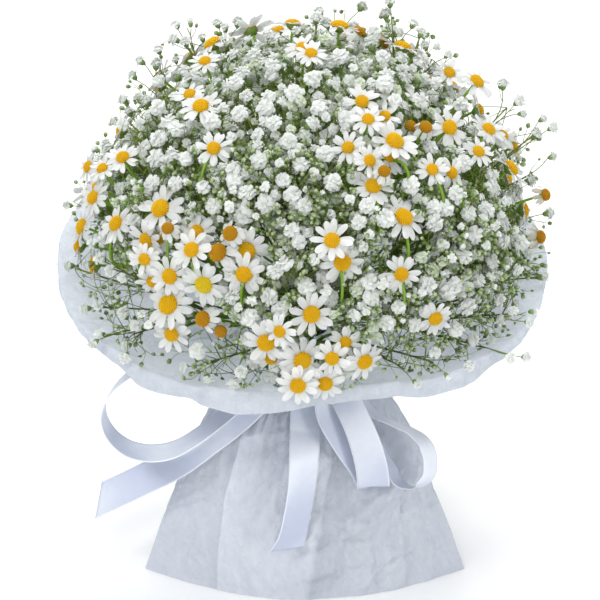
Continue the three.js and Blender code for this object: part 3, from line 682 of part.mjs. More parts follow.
function knot() {
  const g = [], n = 10;
  const prof = [[0.35, -1], [0.85, -0.72], [1, 0], [0.85, 0.72], [0.35, 1]];
  for (const [rad, y] of prof) {
    const ring = [];
    for (let k = 0; k < n; k++) {
      const q = 2 * Math.PI * k / n;
      ring.push(V([KNOT.c[0] + KNOT.r[0] * rad * Math.cos(q), KNOT.c[1] + KNOT.r[1] * y, KNOT.c[2] + KNOT.r[2] * rad * Math.sin(q)]));
    }
    g.push(ring);
  }
  return fromRings(g);
}
const bow = () => joined([
  knot(),
  strip(LOOP_LEFT, 16, true, true),
  strip(LOOP_FLAT, 13, true, true),
  strip(LOOP_RING, 15, true, true),
  strip(TAIL_LEFT, 7, true, false),
  strip(TAIL_FRONT, 6, true, false),
]);

// ---- materials ----
const mat = (color, roughness) => new THREE.MeshStandardMaterial({ color, roughness, metalness: 0 });
const M_DAISY = mat(0xf4f2ea, 0.7), M_GYP = mat(0xe9efe4, 0.8), M_TISSUE = mat(0xd5dbe8, 0.85);
const M_SATIN = mat(0xdfe5f4, 0.35), M_RAFFIA = mat(0xb99c62, 0.8);

const bunch = new THREE.Group();
bunch.position.set(...ORIGIN);
function put(name, geometry, material) {
  geometry.deleteAttribute('normal');
  const mesh = new THREE.Mesh(geometry, material);
  mesh.name = name;
  bunch.add(mesh);
}
const two = (n) => String(n).padStart(2, '0');
for (let i = 0; i < SPRAYS.length; i++) {
  if (i < DAISY_SPRAYS) put(`daisy_stem_${two(i + 1)}`, spray(i), M_DAISY);
  else put(`gypsophila_stem_${two(i - DAISY_SPRAYS + 1)}`, spray(i), M_GYP);
}
put('stem_binding', tieRing(BINDING), M_RAFFIA);
put('tissue_collar', collarRings(), M_TISSUE);
put('tissue_skirt', skirtRings(), M_TISSUE);
put('ribbon_band', tieRing(BAND), M_SATIN);
put('ribbon_bow', bow(), M_SATIN);

export default bunch;
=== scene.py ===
import bpy, math
import numpy as np
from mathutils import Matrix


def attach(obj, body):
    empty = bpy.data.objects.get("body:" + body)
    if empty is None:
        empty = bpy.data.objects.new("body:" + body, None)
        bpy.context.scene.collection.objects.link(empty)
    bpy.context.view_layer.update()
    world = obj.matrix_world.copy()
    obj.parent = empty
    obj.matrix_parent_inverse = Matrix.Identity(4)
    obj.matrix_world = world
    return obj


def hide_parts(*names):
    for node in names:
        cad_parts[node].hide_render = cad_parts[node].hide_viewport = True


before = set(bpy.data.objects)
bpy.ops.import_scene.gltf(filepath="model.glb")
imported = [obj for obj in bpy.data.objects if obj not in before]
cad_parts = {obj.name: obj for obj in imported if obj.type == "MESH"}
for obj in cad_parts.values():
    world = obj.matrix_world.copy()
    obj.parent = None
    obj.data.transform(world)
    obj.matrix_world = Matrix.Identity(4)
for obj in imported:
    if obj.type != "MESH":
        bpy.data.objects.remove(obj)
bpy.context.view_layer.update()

# A hand-tied round bunch of daisies with gypsophila, in a tissue wrap with a satin bow.
# Every table here is in millimetres, in the bunch's own coordinates; SHIFT takes them to the frame.
# +X is to the right, -Y towards the viewer, +Z up, and z = 0 is the surface the bunch stands on.
SHIFT = np.array([3.75, 1.1, 0.0])
rng = np.random.default_rng(20461)

WAIST_Z = 146.5
WAIST = np.array([-4.5, 12.5])
FOOT = np.array([-4.0, -4.0])
SPIRAL = 0.0150
TILT = math.radians(12)
HC = np.array([-4.5, 0.0, 206.0])
AX_U = np.array([1.0, 0.0, 0.0])
AX_W = np.array([0.0, math.cos(TILT), math.sin(TILT)])
AX_N = np.array([0.0, -math.sin(TILT), math.cos(TILT)])
E0 = HC + 5 * AX_N                       # centre of the dome of flowers
DOME_R, DOME_H = 138.0, 147.0            # its radius, and its height along AX_N
CAM_E = math.radians(24)
TO_CAM = np.array([0.0, -math.cos(CAM_E), math.sin(CAM_E)])
DAISY_SPRAYS = 19

RIM = [
  [-180, 152, 150], [-165, 152, 149.5], [-150, 151.5, 147], [-138, 152.5, 145], [-129, 157, 147], [-117, 153, 145],
  [-106, 155.5, 140], [-97, 149.5, 136], [-88, 142.5, 133], [-78, 140.5, 132], [-67, 145, 136.5], [-61, 152.5, 142],
  [-52, 155.5, 145], [-42, 152.5, 146], [-28, 150.5, 146.5], [-10, 148.5, 146.5], [5, 150.5, 149], [30, 152, 150.5],
  [60, 150, 148.5], [90, 152, 150.5], [120, 150, 148.5], [148, 157, 155.5], [163, 156, 154.5], [180, 152, 150],
]

TAIL_FRONT = [
  [-2.3, -19.0, 152.2, 1.000, 0.000, 0.000],
  [-3.2, -27.0, 135.4, 0.959, 0.260, -0.116],
  [-3.5, -34.0, 118.2, 0.943, 0.303, -0.135],
  [-4.1, -41.0, 106.5, 0.927, 0.342, -0.152],
  [-5.7, -48.5, 82.6, 0.867, 0.477, -0.145],
  [-8.4, -53.0, 65.5, 0.868, 0.484, -0.114],
  [-11.9, -55.0, 48.4, 0.901, 0.431, -0.056],
  [-15.6, -55.5, 38.8, 0.964, 0.253, 0.074],
]

TAIL_LEFT = [
  [-4.7, -17.0, 151.3, 0.186, -0.924, -0.334],
  [-20.8, -21.0, 138.1, 0.496, -0.624, -0.604],
  [-35.1, -23.0, 125.3, 0.621, -0.527, -0.581],
  [-48.9, -24.0, 111.3, 0.591, -0.632, -0.502],
  [-65.2, -24.0, 96.7, 0.437, -0.686, -0.582],
  [-82.3, -23.0, 83.0, 0.407, -0.662, -0.630],
  [-107.6, -21.0, 68.0, 0.377, -0.625, -0.684],
  [-134.2, -18.0, 52.7, -0.093, -0.405, -0.910],
]

LOOP_LEFT = [
  [-4.1, -17.0, 152.6, 0.031, 0.969, 0.246],
  [-30.6, -26.0, 159.5, 0.062, 0.984, 0.169],
  [-56.3, -32.0, 163.6, 0.061, 0.990, 0.131],
  [-86.9, -36.0, 161.4, 0.092, 0.991, 0.096],
  [-108.5, -38.0, 152.2, 0.123, 0.992, 0.029],
  [-122.8, -39.0, 139.1, 0.123, 0.992, -0.004],
  [-128.3, -40.0, 125.2, 0.108, 0.994, 0.030],
  [-125.1, -41.0, 112.7, 0.108, 0.989, 0.100],
  [-114.8, -42.0, 102.2, 0.093, 0.986, 0.136],
  [-101.2, -43.0, 98.5, 0.093, 0.986, 0.136],
  [-86.3, -44.0, 101.1, 0.093, 0.986, 0.136],
  [-71.4, -43.0, 109.6, 0.093, 0.986, 0.135],
  [-55.3, -39.0, 121.3, 0.093, 0.981, 0.171],
  [-35.0, -31.0, 136.0, 0.062, 0.976, 0.207],
  [-4.7, -19.0, 152.9, 0.031, 0.969, 0.246],
]

LOOP_FLAT = [
  [0.2, -18.0, 153.1, -0.681, -0.716, -0.155],
  [11.3, -32.0, 137.8, -0.740, -0.572, -0.353],
  [11.3, -40.0, 125.2, -0.770, -0.570, -0.286],
  [20.6, -45.0, 108.5, -0.740, -0.572, -0.353],
  [32.2, -47.4, 92.0, -0.920, -0.385, -0.080],
  [36.9, -49.5, 83.4, -0.990, -0.140, -0.010],
  [38.0, -52.6, 80.4, -1.000, 0.000, 0.010],
  [38.1, -55.8, 83.6, -0.996, 0.080, -0.010],
  [36.5, -57.0, 97.3, -0.984, 0.162, -0.072],
  [32.1, -55.0, 113.4, -0.951, 0.267, -0.153],
  [24.7, -49.0, 129.6, -0.890, 0.371, -0.266],
  [16.2, -37.0, 142.2, -0.830, 0.405, -0.382],
  [0.8, -21.0, 154.5, -0.680, 0.482, -0.553],
]

LOOP_RING = [
  [0.2, -18.0, 153.8, 0.124, 0.987, 0.102],
  [20.6, -29.0, 140.5, 0.278, 0.957, -0.088],
  [36.0, -37.0, 124.5, 0.370, 0.872, -0.321],
  [49.6, -39.0, 117.2, 0.401, 0.795, -0.455],
  [61.4, -39.0, 111.0, 0.402, 0.795, -0.455],
  [69.6, -39.0, 102.8, 0.402, 0.794, -0.455],
  [73.5, -39.0, 91.7, 0.403, 0.794, -0.455],
  [72.3, -40.0, 80.4, 0.404, 0.793, -0.455],
  [64.9, -41.0, 74.3, 0.404, 0.793, -0.455],
  [55.6, -41.5, 77.7, 0.404, 0.793, -0.455],
  [47.4, -41.0, 89.2, 0.403, 0.794, -0.455],
  [37.3, -39.0, 106.9, 0.371, 0.848, -0.378],
  [23.7, -31.0, 127.8, 0.247, 0.956, -0.155],
  [0.8, -20.0, 153.3, 0.124, 0.992, 0.032],
]

SPRAYS = [
  [0.96, 17.33, 0.4, 17.7, 162, 5, 29.6, 188, 11.7, 49.9, 211.2, 18.5, 67, 231.9],
  [-6.42, 4.56, -5.1, 2.3, 162, -2.6, -18.5, 176.7, -0.7, -50.7, 180.6, 0.7, -78.7, 185.2],
  [-0.52, 9.66, 0.3, 9.4, 162, 11.3, -0.6, 192.4, 28.7, -17.1, 219.9, 43.8, -31.1, 244.4],
  [-9.37, 9.66, -9.3, 7.8, 162, -21, -7.2, 186, -41.5, -30.3, 202.9, -59.1, -49.6, 218.7],
  [-9.37, 4.56, -8.2, 1.5, 162, -11.7, -17.8, 177.2, -19.9, -47.2, 182.9, -26.9, -72.7, 189],
  [-6.42, 14.77, -6.9, 13.8, 162, -10.9, 16.8, 197.2, -16.4, 24.5, 233, -21.4, 31, 264.4],
  [-7.89, 12.22, -8, 10.8, 162, -12.6, 3.7, 197.7, -20.1, -5.7, 233.8, -26.9, -13.6, 265.4],
  [-3.47, 19.88, -4.7, 19.6, 162, -8.7, 32.3, 188, -13.6, 55.8, 203.8, -17.6, 75.5, 220.9],
  [-12.32, 14.77, -13.9, 12.7, 162, -31.3, 8.9, 179, -59.8, 6.2, 187.9, -84.4, 4, 196.8],
  [-7.89, 7.11, -7.2, 5.3, 162, -13.1, -12.7, 186.6, -24.6, -40.3, 205.1, -34.5, -63.9, 221.9],
  [2.43, 9.66, 3.5, 10, 162, 21, 10.7, 184.3, 49.1, 11.3, 200.8, 73.3, 11.7, 215.8],
  [-9.37, 19.88, -11.1, 18.5, 162, -25.4, 24.3, 188.1, -46.8, 38.6, 199.7, -65.2, 50.3, 214.5],
  [-3.47, 9.66, -2.9, 9, 162, 3, -5, 194.3, 12.2, -27, 224.2, 20, -45.8, 250.7],
  [-0.52, 14.77, -0.7, 14.7, 162, 7, 17.8, 195.6, 20.1, 23, 229.1, 31.6, 27.7, 258.4],
  [-6.42, 19.88, -7.8, 19.1, 162, -18.9, 24.2, 191.5, -35, 34, 219.6, -48.7, 43.1, 244.3],
  [-1.99, 7.11, -0.7, 6.3, 162, 5.4, -12.1, 185.2, 14.7, -42.3, 200.7, 22.7, -68, 215.4],
  [3.91, 17.33, 3.6, 18.3, 162, 14.5, 26, 189.8, 33.4, 39.7, 206, 49.9, 51, 223.8],
  [-9.37, 14.77, -10.1, 13.3, 162, -27.1, 7.6, 186.4, -54.7, 0.4, 205.2, -78.4, -5.2, 222.5],
  [-12.32, 9.66, -12.8, 6.8, 162, -22.2, -11.4, 179.9, -38.6, -38.2, 189.3, -53.2, -61, 198.5],
  [-7.89, 17.33, -9, 16.2, 162, -21.6, 14, 187.2, -41.1, 12.3, 210.5, -57.7, 11.4, 231.2],
  [-1.99, 12.22, -1.8, 11.9, 162, 4.2, 5.5, 191.4, 13.9, -4.2, 220.5, 22.3, -12.3, 246.2],
  [-1.99, 17.33, -2.8, 17.1, 162, -1.7, 25.3, 187, 1.1, 39.1, 211.2, 3.6, 51.1, 232.5],
  [-4.94, 22.44, -7, 22.1, 162, -16.4, 27, 190.2, -30.3, 41.5, 195.1, -41.7, 52.7, 208.5],
  [-6.42, 9.66, -5.9, 8.6, 162, -7.9, -6.5, 187.1, -11.9, -29.3, 209, -15.4, -48.6, 228.7],
  [3.91, 12.22, 4.6, 12.9, 162, 17.2, 18.1, 179.3, 37.6, 26.8, 189.8, 55.2, 33.6, 200.4],
  [-3.47, 14.77, -3.8, 14.2, 162, -4.7, 16.4, 192, -5.7, 21.1, 222.9, -6.5, 25.2, 249.9],
  [-0.52, 4.56, 1.8, 3.5, 162, 15.4, -7.6, 175.7, 36.6, -25.4, 180.4, 55.1, -41.4, 184.1],
  [0.96, 7.11, 2.4, 6.8, 162, 14.1, -3, 182, 31.9, -19.2, 197.5, 47.3, -33.1, 211.4],
  [-10.84, 12.22, -11.1, 10.2, 162, -20.8, -1.5, 185.4, -36.4, -17.8, 205.7, -50.1, -31.5, 223.8],
  [-10.84, 7.11, -10.6, 4.3, 162, -14, -12.7, 173.3, -19.9, -38.3, 175.3, -26, -60.4, 178.1],
  [0.96, 12.22, 1.2, 12.3, 162, 16.5, 12.4, 185.4, 41.3, 12.5, 204.6, 62.6, 12.6, 221.9],
  [-0.52, 19.88, -1.7, 20.1, 162, 1.6, 29.7, 187.5, 8.9, 49.2, 194.7, 15, 64.7, 207.9],
  [-13.79, 12.22, -14.4, 9.4, 162, -27.8, -1.2, 175.3, -49.4, -15.6, 180.7, -68.5, -27.6, 186],
  [-3.47, 4.56, -1.9, 3, 162, 5.9, -12.5, 174, 16.8, -37.1, 176.8, 26.1, -58.4, 180.5],
  [-4.94, 12.22, -4.9, 11.5, 162, -7.3, 2.1, 192, -11.2, -11.7, 221.8, -14.6, -23.2, 248.1],
  [-4.94, 17.33, -5.9, 16.6, 162, -13.5, 20.4, 189.5, -24.9, 27.6, 216.7, -34.5, 34.2, 240.5],
  [-10.84, 17.33, -12.2, 15.6, 162, -26.6, 16.1, 179.6, -49, 19.9, 189.6, -68.2, 23.3, 200.2],
  [2.43, 14.77, 2.4, 15.2, 162, 9.5, 18.9, 189.4, 21.3, 24.2, 216.4, 32, 28.9, 240],
  [-4.94, 7.11, -3.9, 6, 162, -2.1, -10.9, 181.4, -0.5, -36.9, 195.3, 0.9, -59.1, 208.1],
  [3.91, 7.11, 5.5, 7.4, 162, 20.8, 4.9, 176, 44.3, 0.4, 183.4, 64.7, -3.9, 190.5],
]

DAISIES = [
  [0, 18.7, 80, 324.9, 0.49, 0.27, 0.83, 13.7, 4.9, 1, 0.9, 8.6, 65.4, 259.6, 13.7],
  [0, 36, 126, 246.5, 0.37, 0.93, 0.02, 13.2, 5.3, 0, 0.746, 21.3, 69.3, 227.6, 13.2],
  [0, 22.8, 102.3, 301.2, 0.42, 0.67, 0.61, 12.8, 5.4, 0, 0.9, 12.8, 70.9, 253, 12.8],
  [0, 36.7, 116.4, 271.7, 0.6, 0.68, 0.43, 11.6, 5.6, 0, 0.9, 18.2, 79.2, 241.9, 11.6],
  [0, 54.8, 92, 296.8, 0.24, 0.76, 0.61, 11.2, 5.5, 0, 0.9, 31.6, 64.4, 250.9, 11.2],
  [1, -6, -139.2, 206.8, 0.19, -0.98, 0.08, 12.7, 5.5, 0, 0.9, -5.4, -90.4, 194, 12.7],
  [1, -0.8, -138, 235.6, 0.23, -0.96, 0.18, 12.5, 5.4, 0, 0.9, -3.8, -88.2, 206.8, 12.5],
  [1, -8.4, -145.5, 193.7, -0.04, -1, -0.02, 11.7, 5, 0, 0.9, -3.5, -92.8, 188.8, 11.7],
  [1, 30.1, -134.7, 204, 0.48, -0.87, -0.13, 11.6, 5, 0, 0.9, 8.7, -89.5, 195.5, 11.6],
  [1, 7.4, -137.1, 191, 0.12, -0.98, -0.13, 11.1, 4.8, 0, 0.9, 2.3, -90.1, 188.8, 11.1],
  [1, 11.4, -142.4, 209.6, 0.03, -1, 0.02, 10.1, 4.4, 0, 0.9, 5.3, -91, 196.2, 10.1],
  [1, 19, -133.3, 215.6, 0.1, -0.99, 0.08, 9.5, 4, 0, 0.9, 8.3, -87.3, 198.5, 9.5],
  [1, -18.7, -145.2, 228, -0.44, -0.9, -0.04, 9.5, 4, 0, 0.9, -2.3, -92.1, 206.3, 9.5],
  [2, 81.1, -47.9, 315.9, 0.34, -0.73, 0.6, 11.4, 4.9, 0, 0.9, 53.9, -24.8, 265.5, 11.4],
  [2, 66.4, -61.1, 321, 0.35, -0.51, 0.79, 9.9, 4.3, 1, 0.976, 50.4, -45.5, 265.8, 9.9],
  [2, 81.6, -73.9, 297.6, 0.59, -0.67, 0.45, 9.5, 4, 0, 0.9, 50.4, -39.2, 259.1, 9.5],
  [2, 57.8, -52.7, 318.4, 0.21, -0.55, 0.81, 9.5, 4, 1, 0.914, 46.1, -31.3, 266.5, 9.5],
  [2, 98.8, -42.7, 298.5, 0.38, -0.5, 0.78, 9.5, 4, 0, 0.9, 62.4, -26.3, 254.5, 9.5],
  [2, 70, -82.6, 303, 0.19, -0.62, 0.76, 9.5, 4, 0, 0.9, 50.7, -44, 256.4, 9.5],
  [3, -88.6, -90, 281.4, -0.38, -0.63, 0.68, 13.5, 5.8, 0, 0.9, -64.4, -56, 236.1, 13.5],
  [3, -115.8, -68, 262.6, -0.67, -0.42, 0.6, 12, 5.1, 0, 0.9, -74, -48.7, 228.6, 12],
  [3, -97, -92.5, 262.8, -0.67, -0.74, -0.07, 11.5, 4.9, 0, 0.674, -71.7, -104.3, 262.5, 11.5],
  [3, -89.7, -84.7, 260.1, -0.33, -0.63, 0.7, 9.5, 4, 0, 0.9, -66.5, -55.1, 227.2, 9.5],
  [3, -97.9, -104.1, 255.6, -0.36, -0.93, 0.08, 9.5, 4, 0, 0.76, -61.5, -55.6, 223.2, 9.5],
  [3, -84, -106.1, 275.5, -0.2, -0.64, 0.75, 9.5, 4, 1, 0.9, -64.8, -63.6, 231.7, 9.5],
  [4, -26.9, -137.6, 217.6, -0.05, -1, -0.03, 13.1, 5.6, 0, 0.9, -24.9, -85.9, 202.4, 13.1],
  [4, -63.1, -125.8, 226.9, -0.62, -0.71, 0.33, 11.9, 5.1, 1, 0.9, -34.5, -83.7, 201.9, 11.9],
  [4, -53.3, -124.9, 218.8, -0.16, -0.98, 0.13, 9.5, 4, 1, 0.9, -36.6, -80.7, 201, 9.5],
  [4, -24.1, -129.7, 203.7, -0.08, -1, 0, 9.5, 4, 0, 0.9, -23.1, -83.9, 195, 9.5],
  [5, -37.2, 50.4, 341.1, -0.4, 0.78, 0.47, 13.9, 5.2, 0, 0.9, -21.8, 26.7, 288.8, 13.9],
  [5, -21.5, 68.2, 334.6, -0.26, 0.2, 0.94, 13.1, 5, 0, 0.9, -16.3, 45.2, 278.3, 13.1],
  [5, -60, 26.7, 341.1, -0.57, 0.24, 0.79, 12.5, 5.9, 0, 0.9, -30.2, 23.5, 283.2, 12.5],
  [5, -11.6, 28.5, 353.1, 0.1, 0.43, 0.9, 11.5, 5.1, 0, 0.919, -18.1, 25.2, 292.1, 11.5],
  [6, -65.5, -53.7, 331.4, -0.16, -0.42, 0.89, 12, 5.2, 0, 0.9, -42.1, -25, 276.9, 12],
  [6, -6, -21.1, 356.4, -0.16, -0.45, 0.88, 9.5, 4, 0, 0.9, -12.2, -7.6, 288.8, 9.5],
  [6, -72.5, -37.1, 332.7, -0.26, -0.34, 0.9, 9.5, 4, 0, 0.9, -44, -18.1, 277.7, 9.5],
  [6, -64.1, -8.7, 343, -0.22, -0.26, 0.94, 9.5, 4, 0, 0.9, -40.4, -5.1, 282, 9.5],
  [6, -0.7, -33.9, 357.3, 0.07, -0.37, 0.93, 9.5, 4, 0, 0.9, -13.7, -15.3, 287.8, 9.5],
  [7, 12.4, 118.1, 243, 0.1, 0.92, 0.37, 13.5, 5.6, 0, 0.9, -3, 82.3, 224.3, 13.5],
  [7, -25.4, 130.1, 248.7, -0.28, 0.76, 0.58, 13.2, 5.8, 1, 0.9, -17.2, 89.2, 224, 13.2],
  [7, -59.2, 119.2, 251, -0.29, 0.93, 0.24, 13, 5.1, 0, 0.99, -35.1, 82.8, 233.1, 13],
  [7, -6.7, 113.3, 290.3, -0.38, 0.82, 0.44, 12.6, 5.1, 0, 0.9, -5.4, 77.8, 245.4, 12.6],
  [7, -58.6, 105.2, 282.4, -0.19, 0.43, 0.88, 12.6, 5.6, 0, 0.9, -34.4, 79.7, 234.7, 12.6],
  [7, -39.8, 115.4, 277.5, -0.55, 0.76, 0.34, 12.4, 5.8, 1, 0.9, -20, 80.5, 240.8, 12.4],
  [7, -22.9, 127.8, 269.8, 0.11, 0.97, 0.21, 12.2, 5, 1, 0.9, -21.1, 83.8, 239, 12.2],
  [7, -2.3, 125.1, 267.7, 0.28, 0.76, 0.59, 11.7, 5.1, 0, 0.9, -13.1, 85.9, 232.7, 11.7],
  [7, -33.9, 103.6, 298.8, 0.25, 0.27, 0.93, 11.4, 5.5, 0, 0.9, -29, 81.3, 241.4, 11.4],
  [8, -135.8, 20.9, 248.8, -0.74, 0.59, 0.32, 13.3, 4.8, 0, 0.679, -78.8, 3.6, 212.1, 13.3],
  [8, -139.8, -12.3, 237.3, -0.9, -0.2, 0.38, 12.2, 5.2, 0, 0.9, -94.6, -0.9, 209.9, 12.2],
  [8, -132.5, -17.2, 213.9, -1, 0.02, 0.01, 11.8, 5.5, 0, 0.9, -91.9, -6.4, 203.4, 11.8],
  [8, -142.3, 1.8, 219.1, -1, 0.05, 0.03, 11.6, 5.8, 0, 0.9, -95.7, 2.7, 205.8, 11.6],
  [9, -54.1, -120.4, 266.4, -0.54, -0.63, 0.56, 13.4, 5.8, 1, 0.9, -34.2, -78, 232.4, 13.4],
  [9, -37.9, -117.7, 267.1, -0.23, -0.97, -0.01, 13, 5.6, 0, 0.9, -31, -72.1, 241.3, 13],
  [9, -63, -121, 247, -0.29, -0.96, -0.03, 12.7, 5.5, 2, 0.9, -42.7, -74.3, 231.5, 12.7],
  [9, -39.6, -127.4, 256.2, -0.2, -0.97, 0.11, 12, 5.1, 0, 0.9, -32.1, -76.7, 234.1, 12],
  [9, -69.8, -118.4, 267.4, -0.38, -0.71, 0.59, 11.4, 4.9, 0, 0.9, -44.3, -75.3, 232, 11.4],
  [9, -67.2, -104.7, 272.4, -0.41, -0.72, 0.56, 11.4, 4.9, 0, 0.9, -42.9, -69, 235.6, 11.4],
  [9, -47, -125.2, 280.4, -0.37, -0.73, 0.57, 11.2, 4.8, 1, 0.853, -39.6, -78.6, 261.2, 11.2],
  [9, -57.4, -83.5, 316.6, -0.13, -0.69, 0.72, 10.3, 4.4, 0, 0.9, -41.5, -56.3, 252.6, 10.3],
  [10, 106.7, -4.6, 297.8, 0.49, -0.29, 0.82, 10.6, 4.6, 0, 0.9, 76.8, 8.4, 239.8, 10.6],
  [10, 139.4, -5.7, 227.8, 0.88, -0.42, 0.21, 10.3, 4.4, 1, 0.916, 105.6, -4.6, 234.5, 10.3],
  [10, 142.3, 2.2, 252.4, 0.84, -0.4, 0.36, 9.5, 4.1, 1, 0.9, 89.9, 13.1, 225.5, 9.5],
  [10, 116.5, 16, 285.8, 0.41, -0.34, 0.85, 9.5, 4, 0, 0.9, 83.6, 19.2, 234.3, 9.5],
  [10, 124, 24.3, 274.6, 0.87, -0.35, 0.35, 9.5, 4, 0, 0.9, 80.3, 23.3, 236.8, 9.5],
  [10, 120.5, -5.8, 272.8, 0.77, 0.04, 0.64, 13.3, 5.5, 0, 0.9, 80.6, 2.3, 231.7, 13.3],
  [10, 130.1, 16.8, 236.4, 0.99, 0.1, 0.13, 11.6, 5.4, 0, 0.9, 84.4, 13, 221.5, 11.6],
  [10, 121.2, 45.6, 244.3, 0.96, -0.28, -0.1, 11.5, 5.4, 0, 0.9, 79.6, 32.3, 228.3, 11.5],
  [11, -105.1, 88.1, 242.3, -0.79, 0.51, 0.34, 13.7, 5.9, 0, 0.9, -71.5, 60.4, 221.2, 13.7],
  [11, -110.1, 72.9, 261.4, -0.84, 0.52, 0.14, 13.2, 5.5, 0, 0.9, -72.3, 52.1, 233, 13.2],
  [11, -90.5, 92.7, 257, -0.85, 0.3, 0.43, 12.5, 5.7, 1, 0.952, -65, 63.8, 230.4, 12.5],
  [11, -117, 48.5, 276.4, -0.93, 0.37, 0.07, 11.2, 5.7, 0, 0.9, -72.9, 41.3, 241.4, 11.2],
  [12, 47.7, -80.3, 319.7, 0.35, -0.41, 0.84, 13.5, 5.8, 0, 0.657, -6.5, -26, 318.7, 13.5],
  [12, 45, -76, 309.2, 0.43, -0.48, 0.77, 12.3, 5.3, 0, 0.9, 24.7, -50.2, 263.5, 12.3],
  [12, 35.1, -104.7, 301.3, 0.1, -0.57, 0.82, 11.7, 5, 0, 0.9, 24.5, -62.4, 257.8, 11.7],
  [12, 29.1, -63.7, 338.3, 0.07, -0.69, 0.73, 10.1, 4.3, 0, 0.9, 21.8, -39, 276.5, 10.1],
  [12, 32.4, -78.2, 332.7, 0.12, -0.57, 0.82, 9.5, 4, 0, 0.9, 22.6, -48.4, 272.1, 9.5],
  [12, 32.8, -99.1, 315.3, 0.45, -0.68, 0.58, 9.5, 4, 0, 0.9, 17.2, -57.3, 267.9, 9.5],
  [12, 20.7, -90.6, 320, 0.04, -0.72, 0.69, 9.5, 4, 0, 0.9, 18.2, -52.6, 268.7, 9.5],
  [12, 42.7, -61.3, 328, -0.26, -0.55, 0.79, 9.5, 4, 0, 0.9, 34.1, -40.7, 271.2, 9.5],
  [12, 41.3, -107.5, 311.8, 0.14, -0.6, 0.78, 9.5, 4, 1, 0.734, 22.7, -32.9, 296.4, 8.1],
  [13, 100.4, 26.4, 317.1, 0.55, -0.25, 0.8, 11.6, 5, 0, 0.655, 49.3, 28.4, 245.7, 11.6],
  [13, 83.9, 29.2, 322, 0.35, -0.5, 0.79, 9.5, 4, 0, 0.54, 34.5, 40.3, 245.5, 9.5],
  [13, 28.5, 58.8, 336.7, 0.54, 0.25, 0.8, 13.6, 5, 1, 0.9, 18.8, 38.2, 278.5, 13.6],
  [13, 55.1, 27.3, 338.8, 0.33, 0.34, 0.88, 12.6, 5.6, 0, 0.9, 35.5, 20.9, 278.2, 12.6],
  [13, 16.8, 32.6, 350.3, 0.18, 0.27, 0.94, 11.5, 5.8, 0, 0.9, 18.7, 24.4, 281.7, 11.5],
  [13, 63.5, 48.1, 326, 0.62, 0.68, 0.39, 11, 5.7, 0, 0.9, 35.5, 26.4, 280.2, 11],
  [13, 41.2, 42.7, 336.6, 0.72, 0.33, 0.61, 11, 5.8, 1, 0.9, 22.6, 28.9, 281.9, 11],
  [14, -88.5, 79.1, 288.2, -0.33, 0.62, 0.71, 13.1, 4.9, 0, 0.9, -61.3, 50.6, 251.4, 13.1],
  [14, -75.2, 51.5, 322.4, -0.65, 0.64, 0.41, 12.4, 5.1, 0, 0.969, -50.4, 38.2, 276.8, 12.4],
  [14, -51.8, 72.2, 322.7, -0.39, 0.48, 0.78, 12.2, 5.1, 0, 0.637, -28.8, 43.9, 245.7, 12.2],
  [14, -93.3, 56.8, 303.3, -0.92, -0.08, 0.38, 12, 5, 0, 0.9, -54.4, 49.4, 263.2, 12],
  [14, -93.1, 37.6, 314.5, -0.89, 0.3, 0.33, 11.8, 5.6, 0, 0.9, -53.6, 33.6, 269.1, 11.8],
  [14, -67.5, 83.8, 303.1, -0.28, 0.62, 0.73, 11.4, 5.9, 0, 0.9, -51.3, 52.4, 258, 11.4],
  [15, 52.6, -108.5, 283.4, 0.43, -0.48, 0.77, 13.5, 5.8, 0, 0.9, 29.1, -75.2, 233.9, 13.5],
  [15, 17, -129.3, 264.6, 0.32, -0.94, 0.11, 12.6, 5.4, 0, 0.537, 4.8, -49.8, 222.4, 12.6],
  [15, 11.2, -132.4, 279.1, -0.02, -0.75, 0.66, 11.4, 4.9, 0, 0.9, 15.8, -81.9, 232.8, 11.4],
  [15, 51.4, -121.9, 253.8, 0.24, -0.96, 0.15, 10.5, 4.5, 0, 0.9, 32, -75.8, 229.5, 10.5],
  [15, 71.8, -116, 223.1, 0.34, -0.94, -0.1, 10.4, 4.5, 0, 0.9, 40.9, -73.9, 217.7, 10.4],
  [16, 102.2, 76.2, 252.9, 0.44, 0.82, 0.35, 13.8, 5.1, 0, 0.9, 66.9, 50.5, 230.1, 13.8],
  [16, 71.7, 76.4, 299.3, 0.89, 0.32, 0.32, 13.7, 5.3, 0, 0.9, 43.2, 56.4, 252.9, 13.7],
  [16, 102.2, 37, 293.7, 0.99, 0.11, 0.09, 13.4, 5.2, 0, 0.9, 56.1, 39.8, 253.7, 13.4],
  [16, 87.3, 95.1, 248.4, 0.49, 0.73, 0.47, 12.9, 5.8, 0, 0.9, 59.1, 61.4, 226.5, 12.9],
  [16, 86.5, 61.1, 300.1, 0.58, 0.6, 0.56, 12.4, 5.6, 0, 0.9, 55.5, 44, 249.3, 12.4],
  [16, 64.7, 108.4, 259.3, 0.65, 0.71, 0.26, 12.1, 5.8, 0, 0.9, 45.1, 67.7, 234.5, 12.1],
  [16, 88.8, 82.7, 270.2, 0.59, 0.48, 0.65, 11.7, 5.8, 1, 0.988, 63.4, 54.2, 252.4, 11.7],
  [17, -131.7, -25.9, 262, -0.73, -0.46, 0.5, 10.6, 4.6, 0, 0.9, -89.9, -7.9, 231.8, 10.6],
  [17, -112.9, -39, 293.2, -0.27, -0.47, 0.84, 10.1, 4.4, 0, 0.9, -86.5, -13.2, 240.5, 10.1],
  [17, -130.6, -11.1, 261.8, -0.68, -0.58, 0.45, 9.8, 4.2, 0, 0.9, -90.6, 0.9, 232.6, 9.8],
  [17, -136.5, 9.6, 267.9, -0.84, -0.34, 0.43, 9.5, 4, 0, 0.952, -97.8, -1.8, 229.1, 9.5],
  [17, -126.3, -18.4, 277.8, -0.39, -0.26, 0.88, 9.5, 4, 0, 0.9, -91.8, -6.8, 233.6, 9.5],
